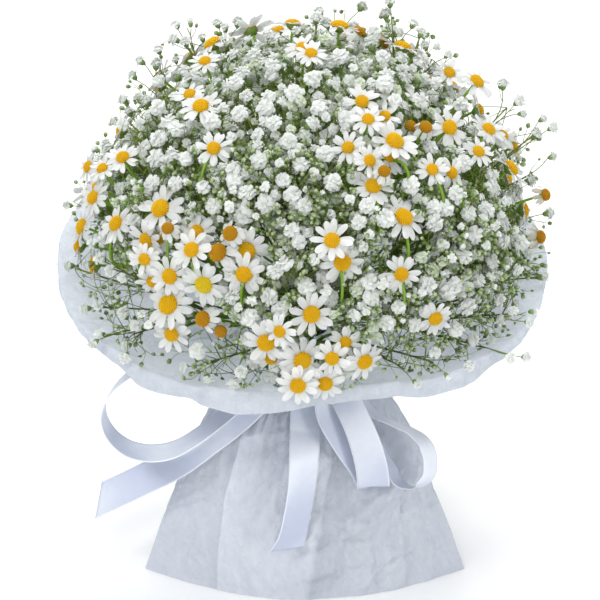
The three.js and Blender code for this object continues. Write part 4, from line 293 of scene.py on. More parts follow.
  [18, -83.9, -113.2, 230.2, -0.44, -0.69, 0.57, 14, 6.2, 0, 0.9, -59.5, -72.9, 204.6, 14],
  [18, -83.1, -111.6, 248, -0.3, -0.93, 0.2, 11.4, 4.9, 0, 0.9, -60.7, -67.6, 218.3, 11.4],
  [18, -82.3, -115.3, 212.5, -0.32, -0.94, 0.08, 10.7, 4.6, 0, 0.9, -60.7, -71.3, 202.6, 10.7],
  [18, -93.6, -99.5, 239.5, -0.27, -0.93, -0.25, 9.5, 4, 0, 0.9, -66.6, -62.5, 220.7, 9.5],
]

CLUSTERS = [
  [0, -99.5, 25.2, 328.7, 8.5, 0.9, -77.6, 18.6, 279.9],
  [0, -116.4, 17.4, 300, 8.5, 0.9, -86, 14.6, 264.8],
  [0, -125.5, -0.7, 285.3, 5.5, 0.9, -90.7, 5.3, 257.2],
  [0, -106.8, 36.6, 304, 5.5, 0.9, -81.1, 24.5, 266.9],
  [0, -101.2, 11.3, 312, 5.5, 0.9, -78.2, 11.5, 270.9],
  [0, -92, -27.6, 321.4, 5.5, 0.9, -73.7, -8.6, 276.1],
  [1, 16.5, -27.5, 353.7, 5.5, 0.9, 18.4, -19.3, 299.4],
  [1, 48, -34.4, 342.4, 8.5, 0.9, 34.6, -22.7, 293.4],
  [1, 43.8, -3.5, 347.7, 8.5, 0.9, 32.5, -6.9, 296.2],
  [1, 56.5, -49.1, 334, 8.5, 0.9, 39, -30.3, 289.1],
  [1, 70, -61.6, 309.2, 5.5, 0.9, 45.9, -36.7, 276.2],
  [2, 17.8, 76.6, 342.3, 8.5, 0.687, 5.5, 41.6, 280.8],
  [2, -28.8, 79.9, 317.3, 8.5, 0.9, -13.4, 64.7, 274.5],
  [2, 27.9, 77.4, 310.3, 8.2, 0.9, 15.8, 63.3, 270.6],
  [2, 31.4, 88.8, 298.1, 5.5, 0.9, 17.6, 69.1, 264.3],
  [2, -18.4, 93.9, 292.6, 8.5, 0.9, -8, 71.7, 261.3],
  [2, -2.1, 83, 316.5, 8.3, 0.9, 0.4, 66.2, 273.9],
  [2, 7.3, 103.9, 300.5, 5.5, 0.9, 5.2, 76.9, 265.6],
  [2, 53.3, 90.2, 312, 5.5, 0.9, 29, 70, 271.9],
  [3, -94.8, 51.2, 285.4, 7.9, 0.9, -68, 51, 247.5],
  [3, -62.9, 106.5, 263, 7.9, 0.9, -51.4, 79.3, 235.6],
  [3, -69, 108.9, 245, 5.5, 0.9, -54.5, 80.5, 226.3],
  [3, -79.7, 83.9, 273.9, 8.5, 0.9, -60.1, 67.7, 241.3],
  [3, -39, 119.3, 253.3, 5.5, 0.9, -39.1, 86, 230.7],
  [3, -99.7, 65.6, 276.9, 5.5, 0.9, -70.5, 58.4, 243.1],
  [3, -48.9, 88.7, 285, 8.5, 0.9, -44.2, 70.2, 247.1],
  [3, -81.6, 96.9, 245.3, 5.5, 0.9, -60.9, 74.2, 226.4],
  [3, -109.6, 88.2, 257.9, 5.5, 0.921, -76.8, 69.7, 236.1],
  [4, -15, -112.9, 298.9, 8.5, 0.9, -14.8, -79.5, 263.2],
  [4, -39, -111.7, 293.5, 7.7, 0.9, -27.2, -78.9, 260.4],
  [4, 9.6, -103.3, 312.9, 8.4, 0.9, -2.1, -74.7, 270.6],
  [4, -40.8, -98.9, 309.4, 8.5, 0.9, -28.1, -72.4, 268.6],
  [4, -6.6, -101.5, 314.4, 5.5, 0.9, -10.5, -73.8, 271.3],
  [4, -60.7, -101.8, 294.2, 7.6, 0.9, -38.3, -73.9, 260.8],
  [5, 140.5, 27.3, 227.9, 8.3, 0.9, 97.5, 29.6, 214.2],
  [5, 105.4, 64.2, 244.2, 8.5, 0.9, 79.1, 48.5, 222.3],
  [5, 112.8, 40.2, 264.4, 8.5, 0.9, 83.1, 36.2, 232.9],
  [5, 78.9, 83.6, 258.1, 8.1, 0.9, 65.6, 58.6, 229.6],
  [5, 124.2, 25.5, 253.5, 8.4, 0.9, 89.1, 28.7, 227.3],
  [5, 129.4, 44, 229.3, 8.1, 0.9, 91.6, 38.2, 214.7],
  [5, 92.5, 85, 238.5, 5.5, 0.9, 72.5, 59.3, 219.4],
  [5, 99.5, 55.2, 279.9, 8.2, 0.9, 76.4, 44, 241],
  [6, -35.1, 12, 351.2, 8.5, 0.9, -21.1, 17.9, 299.7],
  [6, 14.9, 58, 336, 5.5, 0.9, 4.6, 41.6, 291.6],
  [6, -20.7, 38.3, 340.5, 8, 0.9, -13.7, 31.5, 293.9],
  [6, -8.7, 63.1, 327.2, 7.8, 0.9, -7.5, 44.2, 286.9],
  [6, -1.9, 49.3, 341, 5.5, 0.9, -4, 37.1, 294.2],
  [6, 3.2, 27.3, 359.2, 5.5, 0.9, -1.4, 25.8, 304],
  [6, -9.6, 10.3, 356.6, 5.5, 0.9, -8, 17.1, 302.5],
  [7, 122.4, -105.4, 192.7, 6.9, 0.9, 87.9, -72.9, 189],
  [7, 91.1, -104.5, 200.4, 8.5, 0.9, 71.5, -72.1, 192.8],
  [7, 95.5, -94.8, 229.4, 8.2, 0.9, 73.8, -67.2, 207.7],
  [7, 129.2, -65, 203.6, 8.5, 0.9, 91.2, -51.8, 194.5],
  [7, 112.7, -73.7, 209.3, 7.7, 0.9, 82.5, -56.2, 197.3],
  [8, 84.1, -103, 243, 8.5, 0.9, 64.6, -67.5, 226.7],
  [8, 94.1, -82.1, 268.9, 7.5, 0.9, 69.7, -56.8, 240],
  [8, 69.4, -95.3, 285.6, 8.5, 0.9, 57.2, -63.8, 248.9],
  [8, 108.3, -46.8, 281.2, 6.7, 0.9, 77.1, -38.7, 246.5],
  [8, 103.6, -66.9, 271.2, 5.5, 0.9, 74.6, -49, 241.2],
  [8, 114.5, -58.9, 254, 7, 0.9, 80.2, -44.8, 232.3],
  [8, 84.2, -85.7, 289.8, 5.5, 0.9, 64.8, -58.8, 251],
  [8, 89.7, -61, 298.8, 5.5, 0.9, 67.6, -46.1, 255.6],
  [8, 107.3, -77.2, 242.7, 5.5, 0.9, 76.4, -54.2, 226.4],
  [9, -78.9, -78.8, 304.5, 8.5, 0.9, -63.5, -54.4, 264],
  [9, -89.7, -54.9, 311.8, 8.5, 0.9, -69.1, -42.1, 267.8],
  [9, -94.9, -74.7, 291.6, 5.5, 0.9, -71.7, -52.2, 257.2],
  [9, -105.6, -79.9, 270.2, 5.5, 0.9, -77.2, -54.8, 246.1],
  [10, -41.4, -132.4, 237.5, 8.1, 0.35, -26.5, -70.4, 205.8],
  [10, -68.1, -122.7, 195, 8.5, 0.9, -47, -90.1, 187.2],
  [10, -44.1, -132.2, 191.3, 7.2, 0.9, -34.7, -95, 185.2],
  [10, -29.5, -121.3, 192.3, 7.6, 0.9, -27.1, -89.1, 185.6],
  [11, 141.9, 12.8, 266, 8.5, 0.9, 101, 12.7, 243.2],
  [11, 124.6, 21.2, 308.2, 8.5, 0.692, 80.9, 19, 259.1],
  [11, 142.5, 14.6, 293.1, 7.4, 0.9, 101.6, 13.6, 257.5],
  [11, 97.6, 13.4, 299, 8.5, 0.9, 78.1, 13, 260.1],
  [11, 115.7, 1.6, 287.8, 5.5, 0.9, 86.6, 9.5, 253.3],
  [12, 48.3, 108.5, 257.8, 8.3, 0.9, 31.4, 85.6, 232.6],
  [12, 60.8, 90.7, 278.2, 8.3, 0.9, 38, 76.6, 243.4],
  [12, 74.1, 117, 247.8, 8.2, 0.9, 44.9, 90.2, 227.8],
  [12, -6.8, 131.4, 244.7, 5.5, 0.9, 3.1, 97.5, 226],
  [12, 19.1, 126.9, 262.2, 8.1, 0.778, 21, 95.5, 236.5],
  [12, 31.8, 101.1, 277.4, 8.5, 0.9, 23, 81.8, 242.8],
  [12, 3.4, 115.1, 279.4, 5.5, 0.9, 8.4, 89.2, 244],
  [13, -123.8, -65, 240.2, 8.5, 0.9, -95, -45.6, 214],
  [13, -110, -95.7, 202.1, 8.5, 0.9, -87.9, -61.4, 194.4],
  [13, -129, -88.3, 197.2, 7.2, 0.9, -97.8, -57.7, 191.9],
  [13, -112.6, -84.6, 234.9, 5.5, 0.9, -89.3, -55.7, 211.3],
  [13, -150.1, -12.7, 211.5, 5.5, 0.662, -98.4, -8.5, 192.3],
  [13, -134.5, -42.3, 232.2, 8.5, 0.9, -100.5, -33.9, 209.9],
  [13, -133.5, -58, 204.2, 6.9, 0.9, -99.8, -41.9, 195.4],
  [14, 51.4, -126.6, 227.5, 8.5, 0.9, 38.2, -91.4, 205],
  [14, 57.2, -127.9, 193.8, 8.2, 0.9, 41.1, -91.9, 187.5],
  [14, 67.4, -115.5, 244.7, 5.5, 0.9, 46.5, -85.8, 214],
  [14, 19.1, -129.8, 195.3, 5.5, 0.9, 21.5, -92.8, 188.3],
  [14, 76, -119.1, 194.5, 8.1, 0.9, 50.8, -87.4, 188],
  [15, 12, -74.7, 335.4, 8.3, 0.9, -0.5, -48.5, 290.7],
  [15, -11.9, -84.3, 329.4, 8.5, 0.9, -12.8, -53.4, 287.6],
  [15, -21.2, -65.6, 340.7, 8.5, 0.9, -17.6, -43.7, 293.4],
  [15, -40.9, -63.9, 337.1, 7.6, 0.9, -27.7, -42.8, 291.5],
  [15, 5.4, -52.9, 347.7, 6.9, 0.9, -3.9, -37.2, 297.1],
  [15, -58.7, -68.6, 328.3, 5.5, 0.9, -36.9, -45.3, 287],
  [15, -33.4, -16.5, 353.5, 7.5, 0.9, -23.9, -18.5, 300.1],
  [15, -43.5, -41.7, 345.7, 6.8, 0.9, -29.1, -31.4, 296],
  [15, -23.2, -37.8, 351.8, 5.5, 0.9, -18.6, -29.4, 299.2],
  [16, -77.3, 36.5, 346, 8.5, 0.9, -55.6, 34.8, 293.1],
  [16, -54.3, 49.5, 331, 5.5, 0.9, -43.6, 41.4, 284.9],
  [16, -78.1, 24.5, 325.9, 5.5, 0.9, -55.9, 28.5, 282.4],
  [16, -38.9, 63.6, 329.5, 5.5, 0.9, -35.7, 48.6, 284.2],
  [16, -77.2, 63.9, 306.9, 7.9, 0.9, -55.3, 48.7, 272.3],
  [16, -66.6, 72.6, 321.6, 5.5, 0.9, -49.9, 53.3, 280.1],
  [16, -51, 79.3, 305.8, 5.5, 0.9, -41.8, 56.6, 271.7],
  [16, -54.4, 44.6, 345.5, 7.2, 0.9, -43.7, 38.9, 292.7],
  [17, -124, 16.6, 267.4, 8.5, 0.9, -95.1, 19.5, 234.3],
  [17, -121.8, 46.6, 252.7, 8.5, 0.9, -93.7, 34.9, 226.6],
  [17, -134.6, 24.2, 232.8, 5.5, 0.9, -100.2, 23.4, 216.3],
  [17, -130.6, 46.7, 226.1, 5.5, 0.9, -98.2, 34.9, 212.8],
  [17, -143.6, 0, 251.8, 8.4, 0.9, -105.3, 10.9, 226.4],
  [17, -119.5, 66.4, 237.5, 8.5, 0.9, -92.6, 45.1, 218.8],
  [17, -115.3, 32.2, 274.2, 5.5, 0.9, -90.6, 27.5, 237.8],
  [18, 76.5, 33.3, 336, 8, 0.9, 53.9, 30.7, 287.6],
  [18, 49.3, 37.1, 353.6, 8.5, 0.654, 49.8, 43, 292.2],
  [18, 82.9, 44.9, 307, 8.5, 0.9, 57, 36.6, 272.2],
  [18, 60.8, 64, 314.9, 8.5, 0.9, 45.6, 46.4, 276.3],
  [18, 46.4, 53.3, 326, 5.5, 0.9, 38.3, 40.9, 282],
  [18, 75.4, 67.2, 285.6, 5.5, 0.9, 53, 48, 260.9],
  [18, 66.8, 16, 334.6, 5.5, 0.9, 48.9, 21.8, 286.7],
  [18, 67.3, 36.6, 346.5, 5.5, 0.9, 49.2, 32.4, 293.1],
  [19, -17, -133.8, 251.7, 8.5, 0.972, -3.3, -102.3, 225.5],
  [19, 30.6, -131.8, 243, 8.5, 0.9, 16.1, -94.1, 225.2],
  [19, 33.5, -121.1, 290.4, 8.5, 0.9, 17.7, -88.9, 250],
  [19, 8.5, -127.5, 247.7, 7.7, 0.9, 4.7, -91.7, 227.5],
  [19, -9.8, -125, 279.1, 6.6, 0.9, -4.7, -90.8, 243.9],
  [19, 10.1, -118.8, 289.6, 5.5, 0.9, 5.6, -87.6, 249.4],
  [19, -14.2, -118.7, 248, 5.5, 0.9, -7, -87.1, 227.5],
  [20, 121, -7, 255.1, 5.5, 0.9, 91.7, -5.1, 223.7],
  [20, 123.5, -19.6, 229.5, 5.5, 0.9, 92.7, -11.6, 210.3],
  [20, 130.5, 0.1, 219.1, 8.4, 0.9, 96.3, -1.4, 204.9],
  [20, 142.5, -23, 209.3, 5.5, 0.9, 102.7, -13.3, 200.1],
  [20, 125.2, -43.7, 231.5, 8.4, 0.9, 93.8, -24, 211.5],
]

POMPONS = [
  [0, -109.7, 23.6, 323.4],
  [0, -93.7, 20.5, 320],
  [0, -95, 26.7, 330],
  [0, -93.8, 28.9, 338.3],
  [0, -105.4, 26.1, 331.5],
  [1, -121.7, 19.2, 294.4],
  [1, -115.3, 5.1, 297.7],
  [1, -112.5, 21.9, 300.6],
  [1, -116.1, 23.4, 307.2],
  [2, -125.5, -0.7, 285.3],
  [3, -106.8, 36.6, 304],
  [4, -101.2, 11.3, 312],
  [5, -92, -27.6, 321.4],
  [6, 16.5, -27.5, 353.7],
  [7, 55.9, -27.4, 340.4],
  [7, 45, -32.9, 344.4],
  [7, 43, -42.8, 342.4],
  [8, 42.4, -13.1, 348.5],
  [8, 34.9, 4.2, 351.1],
  [8, 54.1, -1.5, 343.6],
  [9, 48.7, -54.8, 336.2],
  [9, 64.4, -43.4, 331.9],
  [10, 70, -61.6, 309.2],
  [11, 9.1, 75.9, 338.5],
  [11, 26.2, 75, 336.2],
  [11, 31.7, 77.7, 348.8],
  [11, 4.2, 77.6, 345.6],
  [12, -38.2, 84.1, 312.3],
  [12, -28.2, 71.6, 318.9],
  [12, -19.9, 84, 320.8],
  [13, 34.5, 72.2, 312.3],
  [13, 21.3, 82.6, 308.2],
  [14, 31.4, 88.8, 298.1],
  [15, -19.3, 102.3, 287.3],
  [15, -17.6, 85.6, 297.8],
  [16, -6.9, 89.9, 313.8],
  [16, 2.7, 76.1, 319.3],
  [17, 7.3, 103.9, 300.5],
  [18, 53.3, 90.2, 312],
  [19, -97.8, 44.3, 283.4],
  [19, -91.9, 58.1, 287.3],
  [20, -55.9, 106.7, 260],
  [20, -69.9, 106.2, 265.9],
  [21, -69, 108.9, 245],
  [22, -72.4, 80.1, 278.8],
  [22, -87, 87.7, 268.9],
  [23, -39, 119.3, 253.3],
  [24, -99.7, 65.6, 276.9],
  [25, -56.7, 84.5, 288.3],
  [25, -41.1, 93, 281.6],
  [26, -81.6, 96.9, 245.3],
  [27, -109.6, 88.2, 257.9],
  [28, -27.4, -114.3, 294.6],
  [28, -17, -107.3, 306.7],
  [28, -4.3, -116.8, 294.4],
  [28, -11.2, -113.1, 299.7],
  [29, -39.6, -115.5, 287.6],
  [29, -38.5, -108, 299.5],
  [30, 11.9, -109, 306.2],
  [30, 7.3, -97.6, 319.7],
  [31, -45.5, -102, 304],
  [31, -31, -97.2, 315.1],
  [31, -46.1, -97.4, 309],
  [32, -6.6, -101.5, 314.4],
  [33, -57.7, -106.5, 290.1],
  [33, -63.6, -97.2, 298.2],
  [34, 148.6, 25.8, 230.6],
  [34, 132.3, 28.9, 225.2],
  [35, 112.2, 59.5, 240.4],
  [35, 104.9, 62.9, 254.1],
  [35, 99.1, 70.1, 238],
  [36, 116.5, 45.1, 256.7],
  [36, 109.1, 35.3, 272.1],
  [37, 73.9, 88.4, 262.7],
  [37, 83.9, 78.8, 253.5],
  [38, 120.5, 22.5, 261.3],
  [38, 127.8, 28.4, 245.7],
  [39, 130.2, 35.9, 230.6],
  [39, 128.6, 52.1, 227.9],
  [40, 92.5, 85, 238.5],
  [41, 95.7, 59.1, 273.4],
  [41, 103.3, 51.2, 286.4],
  [42, -27.1, 10.2, 354.7],
  [42, -39.7, 22.8, 346],
  [42, -38.5, 3.1, 352.8],
  [43, 14.9, 58, 336],
  [44, -25.1, 31.8, 342.3],
  [44, -16.3, 44.8, 338.7],
  [45, -10.4, 57.3, 331.8],
  [45, -7, 69, 322.7],
  [46, -1.9, 49.3, 341],
  [47, 3.2, 27.3, 359.2],
  [48, -9.6, 10.3, 356.6],
  [49, 117.6, -105.9, 192.6],
  [49, 127.2, -104.9, 192.8],
  [50, 96.1, -94.8, 199.2],
  [50, 92.6, -112.2, 190.3],
  [50, 84.7, -106.6, 211.8],
  [51, 98.5, -90.6, 236.2],
  [51, 92.5, -99.1, 222.6],
  [52, 134.1, -63.5, 203.4],
  [52, 130.5, -74.5, 201.1],
  [52, 123, -57, 206.4],
  [53, 113.2, -72.6, 202.2],
  [53, 112.2, -74.9, 216.3],
  [54, 89.1, -95.3, 253.7],
  [54, 83.7, -104.7, 239.2],
  [54, 79.5, -108.8, 235.9],
  [55, 95.9, -83.6, 262.8],
  [55, 92.3, -80.5, 274.9],
  [56, 71, -95.2, 284.8],
  [56, 56.8, -95.3, 298.7],
  [56, 78.3, -90.6, 282.3],
  [56, 71.6, -100, 276.7],
  [57, 108.1, -43.3, 284],
  [57, 108.5, -50.2, 278.4],
  [58, 103.6, -66.9, 271.2],
  [59, 114.6, -56, 258.2],
  [59, 114.5, -61.8, 249.7],
  [60, 84.2, -85.7, 289.8],
  [61, 89.7, -61, 298.8],
  [62, 107.3, -77.2, 242.7],
  [63, -73.9, -79.5, 308.7],
  [63, -82.4, -71, 308.5],
  [63, -80.3, -86.1, 296.2],
  [64, -91.2, -53.7, 311.8],
  [64, -79.7, -58.4, 319.3],
  [64, -92.7, -64.3, 303.3],
  [64, -100.3, -50.1, 304],
  [64, -84.7, -48.3, 320.4],
  [65, -94.9, -74.7, 291.6],
  [66, -105.6, -79.9, 270.2],
  [67, -36.2, -134.8, 231.6],
  [67, -46.6, -130, 243.4],
  [68, -76.1, -117.5, 192.2],
  [68, -67.5, -123.9, 205.5],
  [68, -60.6, -126.5, 187.3],
  [69, -46.5, -131.2, 186.3],
  [69, -41.7, -133.2, 196.3],
  [70, -24.3, -121.8, 187.7],
  [70, -34.8, -120.8, 196.9],
  [71, 148.6, 14.1, 273.4],
  [71, 135.3, 11.5, 258.6],
  [72, 127.2, 20.7, 307.6],
  [72, 116.8, 24.7, 317.8],
  [72, 129.7, 18.1, 299.4],
  [73, 137.7, 14.1, 289.2],
  [73, 148, 13.6, 292.6],
  [73, 141.9, 15.9, 297.6],
  [74, 98.5, 8.3, 293],
  [74, 90.6, 9.2, 309.5],
  [74, 103.7, 22.5, 294.6],
  [75, 115.7, 1.6, 287.8],
  [76, 48.4, 114, 250.7],
  [76, 48.2, 103.1, 264.8],
  [77, 56.6, 95.7, 272.2],
  [77, 65, 85.7, 284.2],
  [78, 80.2, 112.8, 252],
  [78, 67.9, 121.2, 243.6],
  [79, -6.8, 131.4, 244.7],
  [80, 27, 125.9, 259.8],
  [80, 11.2, 128, 264.6],
  [81, 40.8, 101.6, 279.6],
  [81, 22.8, 100.5, 275.1],
  [82, 3.4, 115.1, 279.4],
  [83, -120.3, -73.5, 234.6],
  [83, -123.5, -62, 249.1],
  [83, -127.5, -59.4, 237],
  [84, -112.3, -87.4, 213.5],
  [84, -104.9, -95.8, 208.8],
  [84, -111.2, -93.9, 194.2],
  [84, -111.4, -105.5, 191.8],
  [85, -127.2, -82.9, 198.4],
  [85, -130.8, -93.7, 196.1],
  [86, -112.6, -84.6, 234.9],
  [87, -150.1, -12.7, 211.5],
  [88, -132.3, -45.5, 240.8],
  [88, -136.7, -39.1, 223.6],
  [89, -129.4, -59.6, 206.2],
  [89, -137.5, -56.4, 202.2],
  [90, 43.4, -130.4, 225.8],
  [90, 60.5, -122.9, 221.7],
  [90, 50.4, -126.5, 234.9],
  [91, 52.5, -126.4, 200.8],
  [91, 62, -129.4, 186.7],
  [92, 67.4, -115.5, 244.7],
  [93, 19.1, -129.8, 195.3],
  [94, 72.2, -115.4, 200.9],
  [94, 79.8, -122.7, 188.1],
  [95, 20.2, -76.9, 332.7],
  [95, 3.9, -72.6, 338],
  [96, -13.6, -90.8, 324.5],
  [96, 0.4, -81.7, 332.1],
  [96, -22.3, -80.4, 331.6],
  [97, -10.1, -62.8, 343.6],
  [97, -25.9, -63.5, 341.4],
  [97, -27.6, -70.5, 337.2],
  [98, -38.9, -58.5, 340.7],
  [98, -42.9, -69.3, 333.6],
  [99, 9.8, -54.4, 346.7],
  [99, 1, -51.3, 348.7],
  [100, -58.7, -68.6, 328.3],
  [101, -32.3, -10.2, 354.4],
  [101, -34.6, -22.9, 352.7],
  [102, -41.5, -38.1, 347.5],
  [102, -45.5, -45.3, 343.9],
  [103, -23.2, -37.8, 351.8],
  [104, -82.9, 37.4, 351.4],
  [104, -77.5, 35.4, 341.1],
  [104, -84.8, 35, 341.9],
  [104, -67.1, 36.6, 343.3],
  [104, -74.3, 38.2, 352.4],
  [105, -54.3, 49.5, 331],
  [106, -78.1, 24.5, 325.9],
  [107, -38.9, 63.6, 329.5],
  [108, -73.9, 67.6, 300.9],
  [108, -80.4, 60.1, 313],
  [109, -66.6, 72.6, 321.6],
  [110, -51, 79.3, 305.8],
  [111, -53.2, 47.1, 346],
  [111, -58.7, 47.4, 348.5],
  [111, -45.3, 48.2, 349.5],
  [111, -60.4, 35.6, 337.9],
  [112, -121.9, 21.7, 259.8],
  [112, -126.2, 11.5, 275.1],
  [113, -123.9, 40, 254.9],
  [113, -119.3, 55.9, 263.4],
  [113, -122.2, 44, 240],
  [114, -134.6, 24.2, 232.8],
  [115, -130.6, 46.7, 226.1],
  [116, -136.5, -1, 257.4],
  [116, -150.7, 0.9, 246.2],
  [117, -122.3, 74.5, 233.4],
  [117, -116.7, 58.4, 241.6],
  [118, -115.3, 32.2, 274.2],
  [119, 83.8, 32.1, 333.3],
  [119, 69.2, 34.6, 338.8],
  [120, 45.3, 40.4, 357.5],
  [120, 53.9, 37.2, 345.7],
  [120, 37.5, 27.9, 348.5],
  [120, 47.7, 41.8, 364.7],
  [120, 62.4, 38.1, 351.8],
  [121, 81.1, 39.4, 305.4],
  [121, 75.4, 49, 317.7],
  [121, 92.2, 46.4, 297.8],
  [122, 55.2, 67.1, 308.1],
  [122, 66.4, 60.9, 321.8],
  [123, 46.4, 53.3, 326],
  [124, 75.4, 67.2, 285.6],
  [125, 66.8, 16, 334.6],
  [126, 67.3, 36.6, 346.5],
  [127, -21.6, -131.5, 259.9],
  [127, -25.1, -134.8, 244.9],
  [127, -16.4, -130.6, 264.5],
  [127, -3.2, -135, 251.3],
  [127, -18.8, -137, 237.6],
  [128, 33.3, -129.2, 252.5],
  [128, 34.5, -131, 243.2],
  [128, 24.1, -135.3, 233.1],
  [129, 26.7, -125, 287.8],
  [129, 31.4, -119.1, 295.4],
  [129, 42.5, -119.4, 287.9],
  [130, 6.1, -126.1, 254.3],
  [130, 10.8, -128.9, 241],
  [131, -7.8, -126.6, 276],
  [131, -11.8, -123.5, 282.2],
  [132, 10.1, -118.8, 289.6],
  [133, -14.2, -118.7, 248],
  [134, 121, -7, 255.1],
  [135, 123.5, -19.6, 229.5],
  [136, 127.9, 8.9, 219.9],
  [136, 133.1, -8.8, 218.2],
  [137, 142.5, -23, 209.3],
  [138, 124.1, -49.7, 224.9],
  [138, 126.3, -37.6, 238.1],
]

# ---------------------------------------------------------------- numbers
def arr(x):
    return np.asarray(x, dtype=float)


def unit(v):
    v = arr(v)
    return v / np.maximum(np.linalg.norm(v, axis=-1, keepdims=True), 1e-9)


def lerp(a, b, t):
    return a + (b - a) * t


def smooth(e0, e1, x):
    t = np.clip((arr(x) - e0) / (e1 - e0), 0, 1)
    return t * t * (3 - 2 * t)


def lattice(seed):
    return np.random.default_rng(seed).random((64, 64))


def noise2(x, y, seed):
    """Smooth value noise from -1 to 1, one cell per unit."""
    g = lattice(seed)
    x, y = arr(x), arr(y)
    i, j = np.floor(x).astype(int), np.floor(y).astype(int)
    fx, fy = x - i, y - j
    fx, fy = fx * fx * (3 - 2 * fx), fy * fy * (3 - 2 * fy)
    a, b = g[i % 64, j % 64], g[(i + 1) % 64, j % 64]
    c, d = g[i % 64, (j + 1) % 64], g[(i + 1) % 64, (j + 1) % 64]
    return 2 * lerp(lerp(a, b, fx), lerp(c, d, fx), fy) - 1


def tri(x):
    """A triangle wave from -1 to 1, one wave per unit."""
    return 4 * np.abs(x - np.floor(x) - 0.5) - 1


def spin(axis, angle, v):
    """v turned about axis."""
    axis, v = unit(axis), arr(v)
    c, s = math.cos(angle), math.sin(angle)
    return v * c + np.cross(axis, v) * s + axis * np.dot(axis, v) * (1 - c)


def across(n):
    """A unit vector square to n."""
    n = unit(n)
    ref = np.array([1.0, 0, 0]) if abs(n[0]) < 0.8 else np.array([0, 1.0, 0])
    return unit(ref - n * np.dot(ref, n))


def catmull(points, n, closed=False):
    """n + 1 points of a centripetal Catmull-Rom curve through points, evenly spaced in its parameter."""
    p = arr(points)
    ext = np.vstack([2 * p[0] - p[1], p, 2 * p[-1] - p[-2]])
    out = []
    for k in range(n + 1):
        x = k / n * (len(p) - 1)
        i = min(int(x), len(p) - 2)
        t = x - i
        p0, p1, p2, p3 = ext[i], ext[i + 1], ext[i + 2], ext[i + 3]
        d0, d1, d2 = (max(np.linalg.norm(b - a) ** 0.5, 1e-4) for a, b in ((p0, p1), (p1, p2), (p2, p3)))
        m1 = (p1 - p0) / d0 - (p2 - p0) / (d0 + d1) + (p2 - p1) / d1
        m2 = (p2 - p1) / d1 - (p3 - p1) / (d1 + d2) + (p3 - p2) / d2
        m1, m2 = m1 * d1, m2 * d1
        out.append((2 * t**3 - 3 * t**2 + 1) * p1 + (t**3 - 2 * t**2 + t) * m1 + (-2 * t**3 + 3 * t**2) * p2 + (t**3 - t**2) * m2)
    return np.array(out)


# ---------------------------------------------------------------- the plants' palette
# Each kind of surface has its own strip of the UV square: U picks the strip, how light this one is, and
# the place across it; V runs from its base to its tip.
KINDS = {
    "petal": 0, "disc": 1, "disc_old": 2, "disc_pale": 3, "calyx": 4, "stem": 5, "leaf": 6, "gyp": 7,
    "gyp_calyx": 8, "bud": 9, "gyp_stem": 10, "gyp_leaf": 11, "petal_old": 12, "cut": 13, "raffia": 14, "gyp_painted_shade": 15,
}
# For stems, twigs and leaves the darker base colour is partly their own green and partly painted shade for the deep
# inside of the head, where their lower ends sit. The last strip is a greener, darker copy of the small flowers' white:
# painted shade for flowers that sit deeper.
BASE = [(234, 237, 235), (236, 176, 8), (176, 122, 8), (238, 204, 20), (100, 138, 50), (86, 124, 36), (74, 110, 38), (228, 234, 224),
        (106, 144, 56), (98, 134, 50), (94, 116, 38), (82, 112, 42), (206, 198, 172), (206, 210, 164), (168, 138, 84), (198, 214, 178)]
TIP = [(252, 252, 254), (255, 220, 26), (240, 184, 26), (255, 238, 56), (160, 196, 98), (160, 200, 70), (142, 184, 74), (252, 253, 254),
       (188, 212, 152), (220, 231, 190), (184, 202, 112), (154, 184, 94), (236, 233, 222), (228, 232, 196), (206, 180, 126), (241, 246, 234)]


def linear(rgb):
    return tuple(((c / 255 + 0.055) / 1.055) ** 2.4 if c > 10 else c / 255 / 12.92 for c in rgb) + (1.0,)


# ---------------------------------------------------------------- meshes from many small elements
class Template:
    """A small mesh: places, its kind, how far across and how far along, and its faces."""

    def __init__(self, v, kind, c, h, f4=(), f3=()):
        self.v, self.c, self.h = arr(v), arr(c) * np.ones(len(v)), arr(h) * np.ones(len(v))
        self.k = KINDS[kind] * np.ones(len(v)) if isinstance(kind, str) else arr(kind)
        self.f4, self.f3 = np.array(f4, dtype=int).reshape(-1, 4), np.array(f3, dtype=int).reshape(-1, 3)

    def plus(self, o):
        n = len(self.v)
        t = Template(np.vstack([self.v, o.v]), "petal", 0, 0, np.vstack([self.f4, o.f4 + n]), np.vstack([self.f3, o.f3 + n]))
        t.c, t.h, t.k = np.append(self.c, o.c), np.append(self.h, o.h), np.append(self.k, o.k)
        return t


def quads(m, n, wrap=False):
    """The faces of a grid of m rows of n points."""
    i, j = np.meshgrid(np.arange(m - 1), np.arange(n if wrap else n - 1), indexing="ij")
    k = (j + 1) % n
    return np.stack([i * n + j, i * n + k, (i + 1) * n + k, (i + 1) * n + j], -1).reshape(-1, 4)


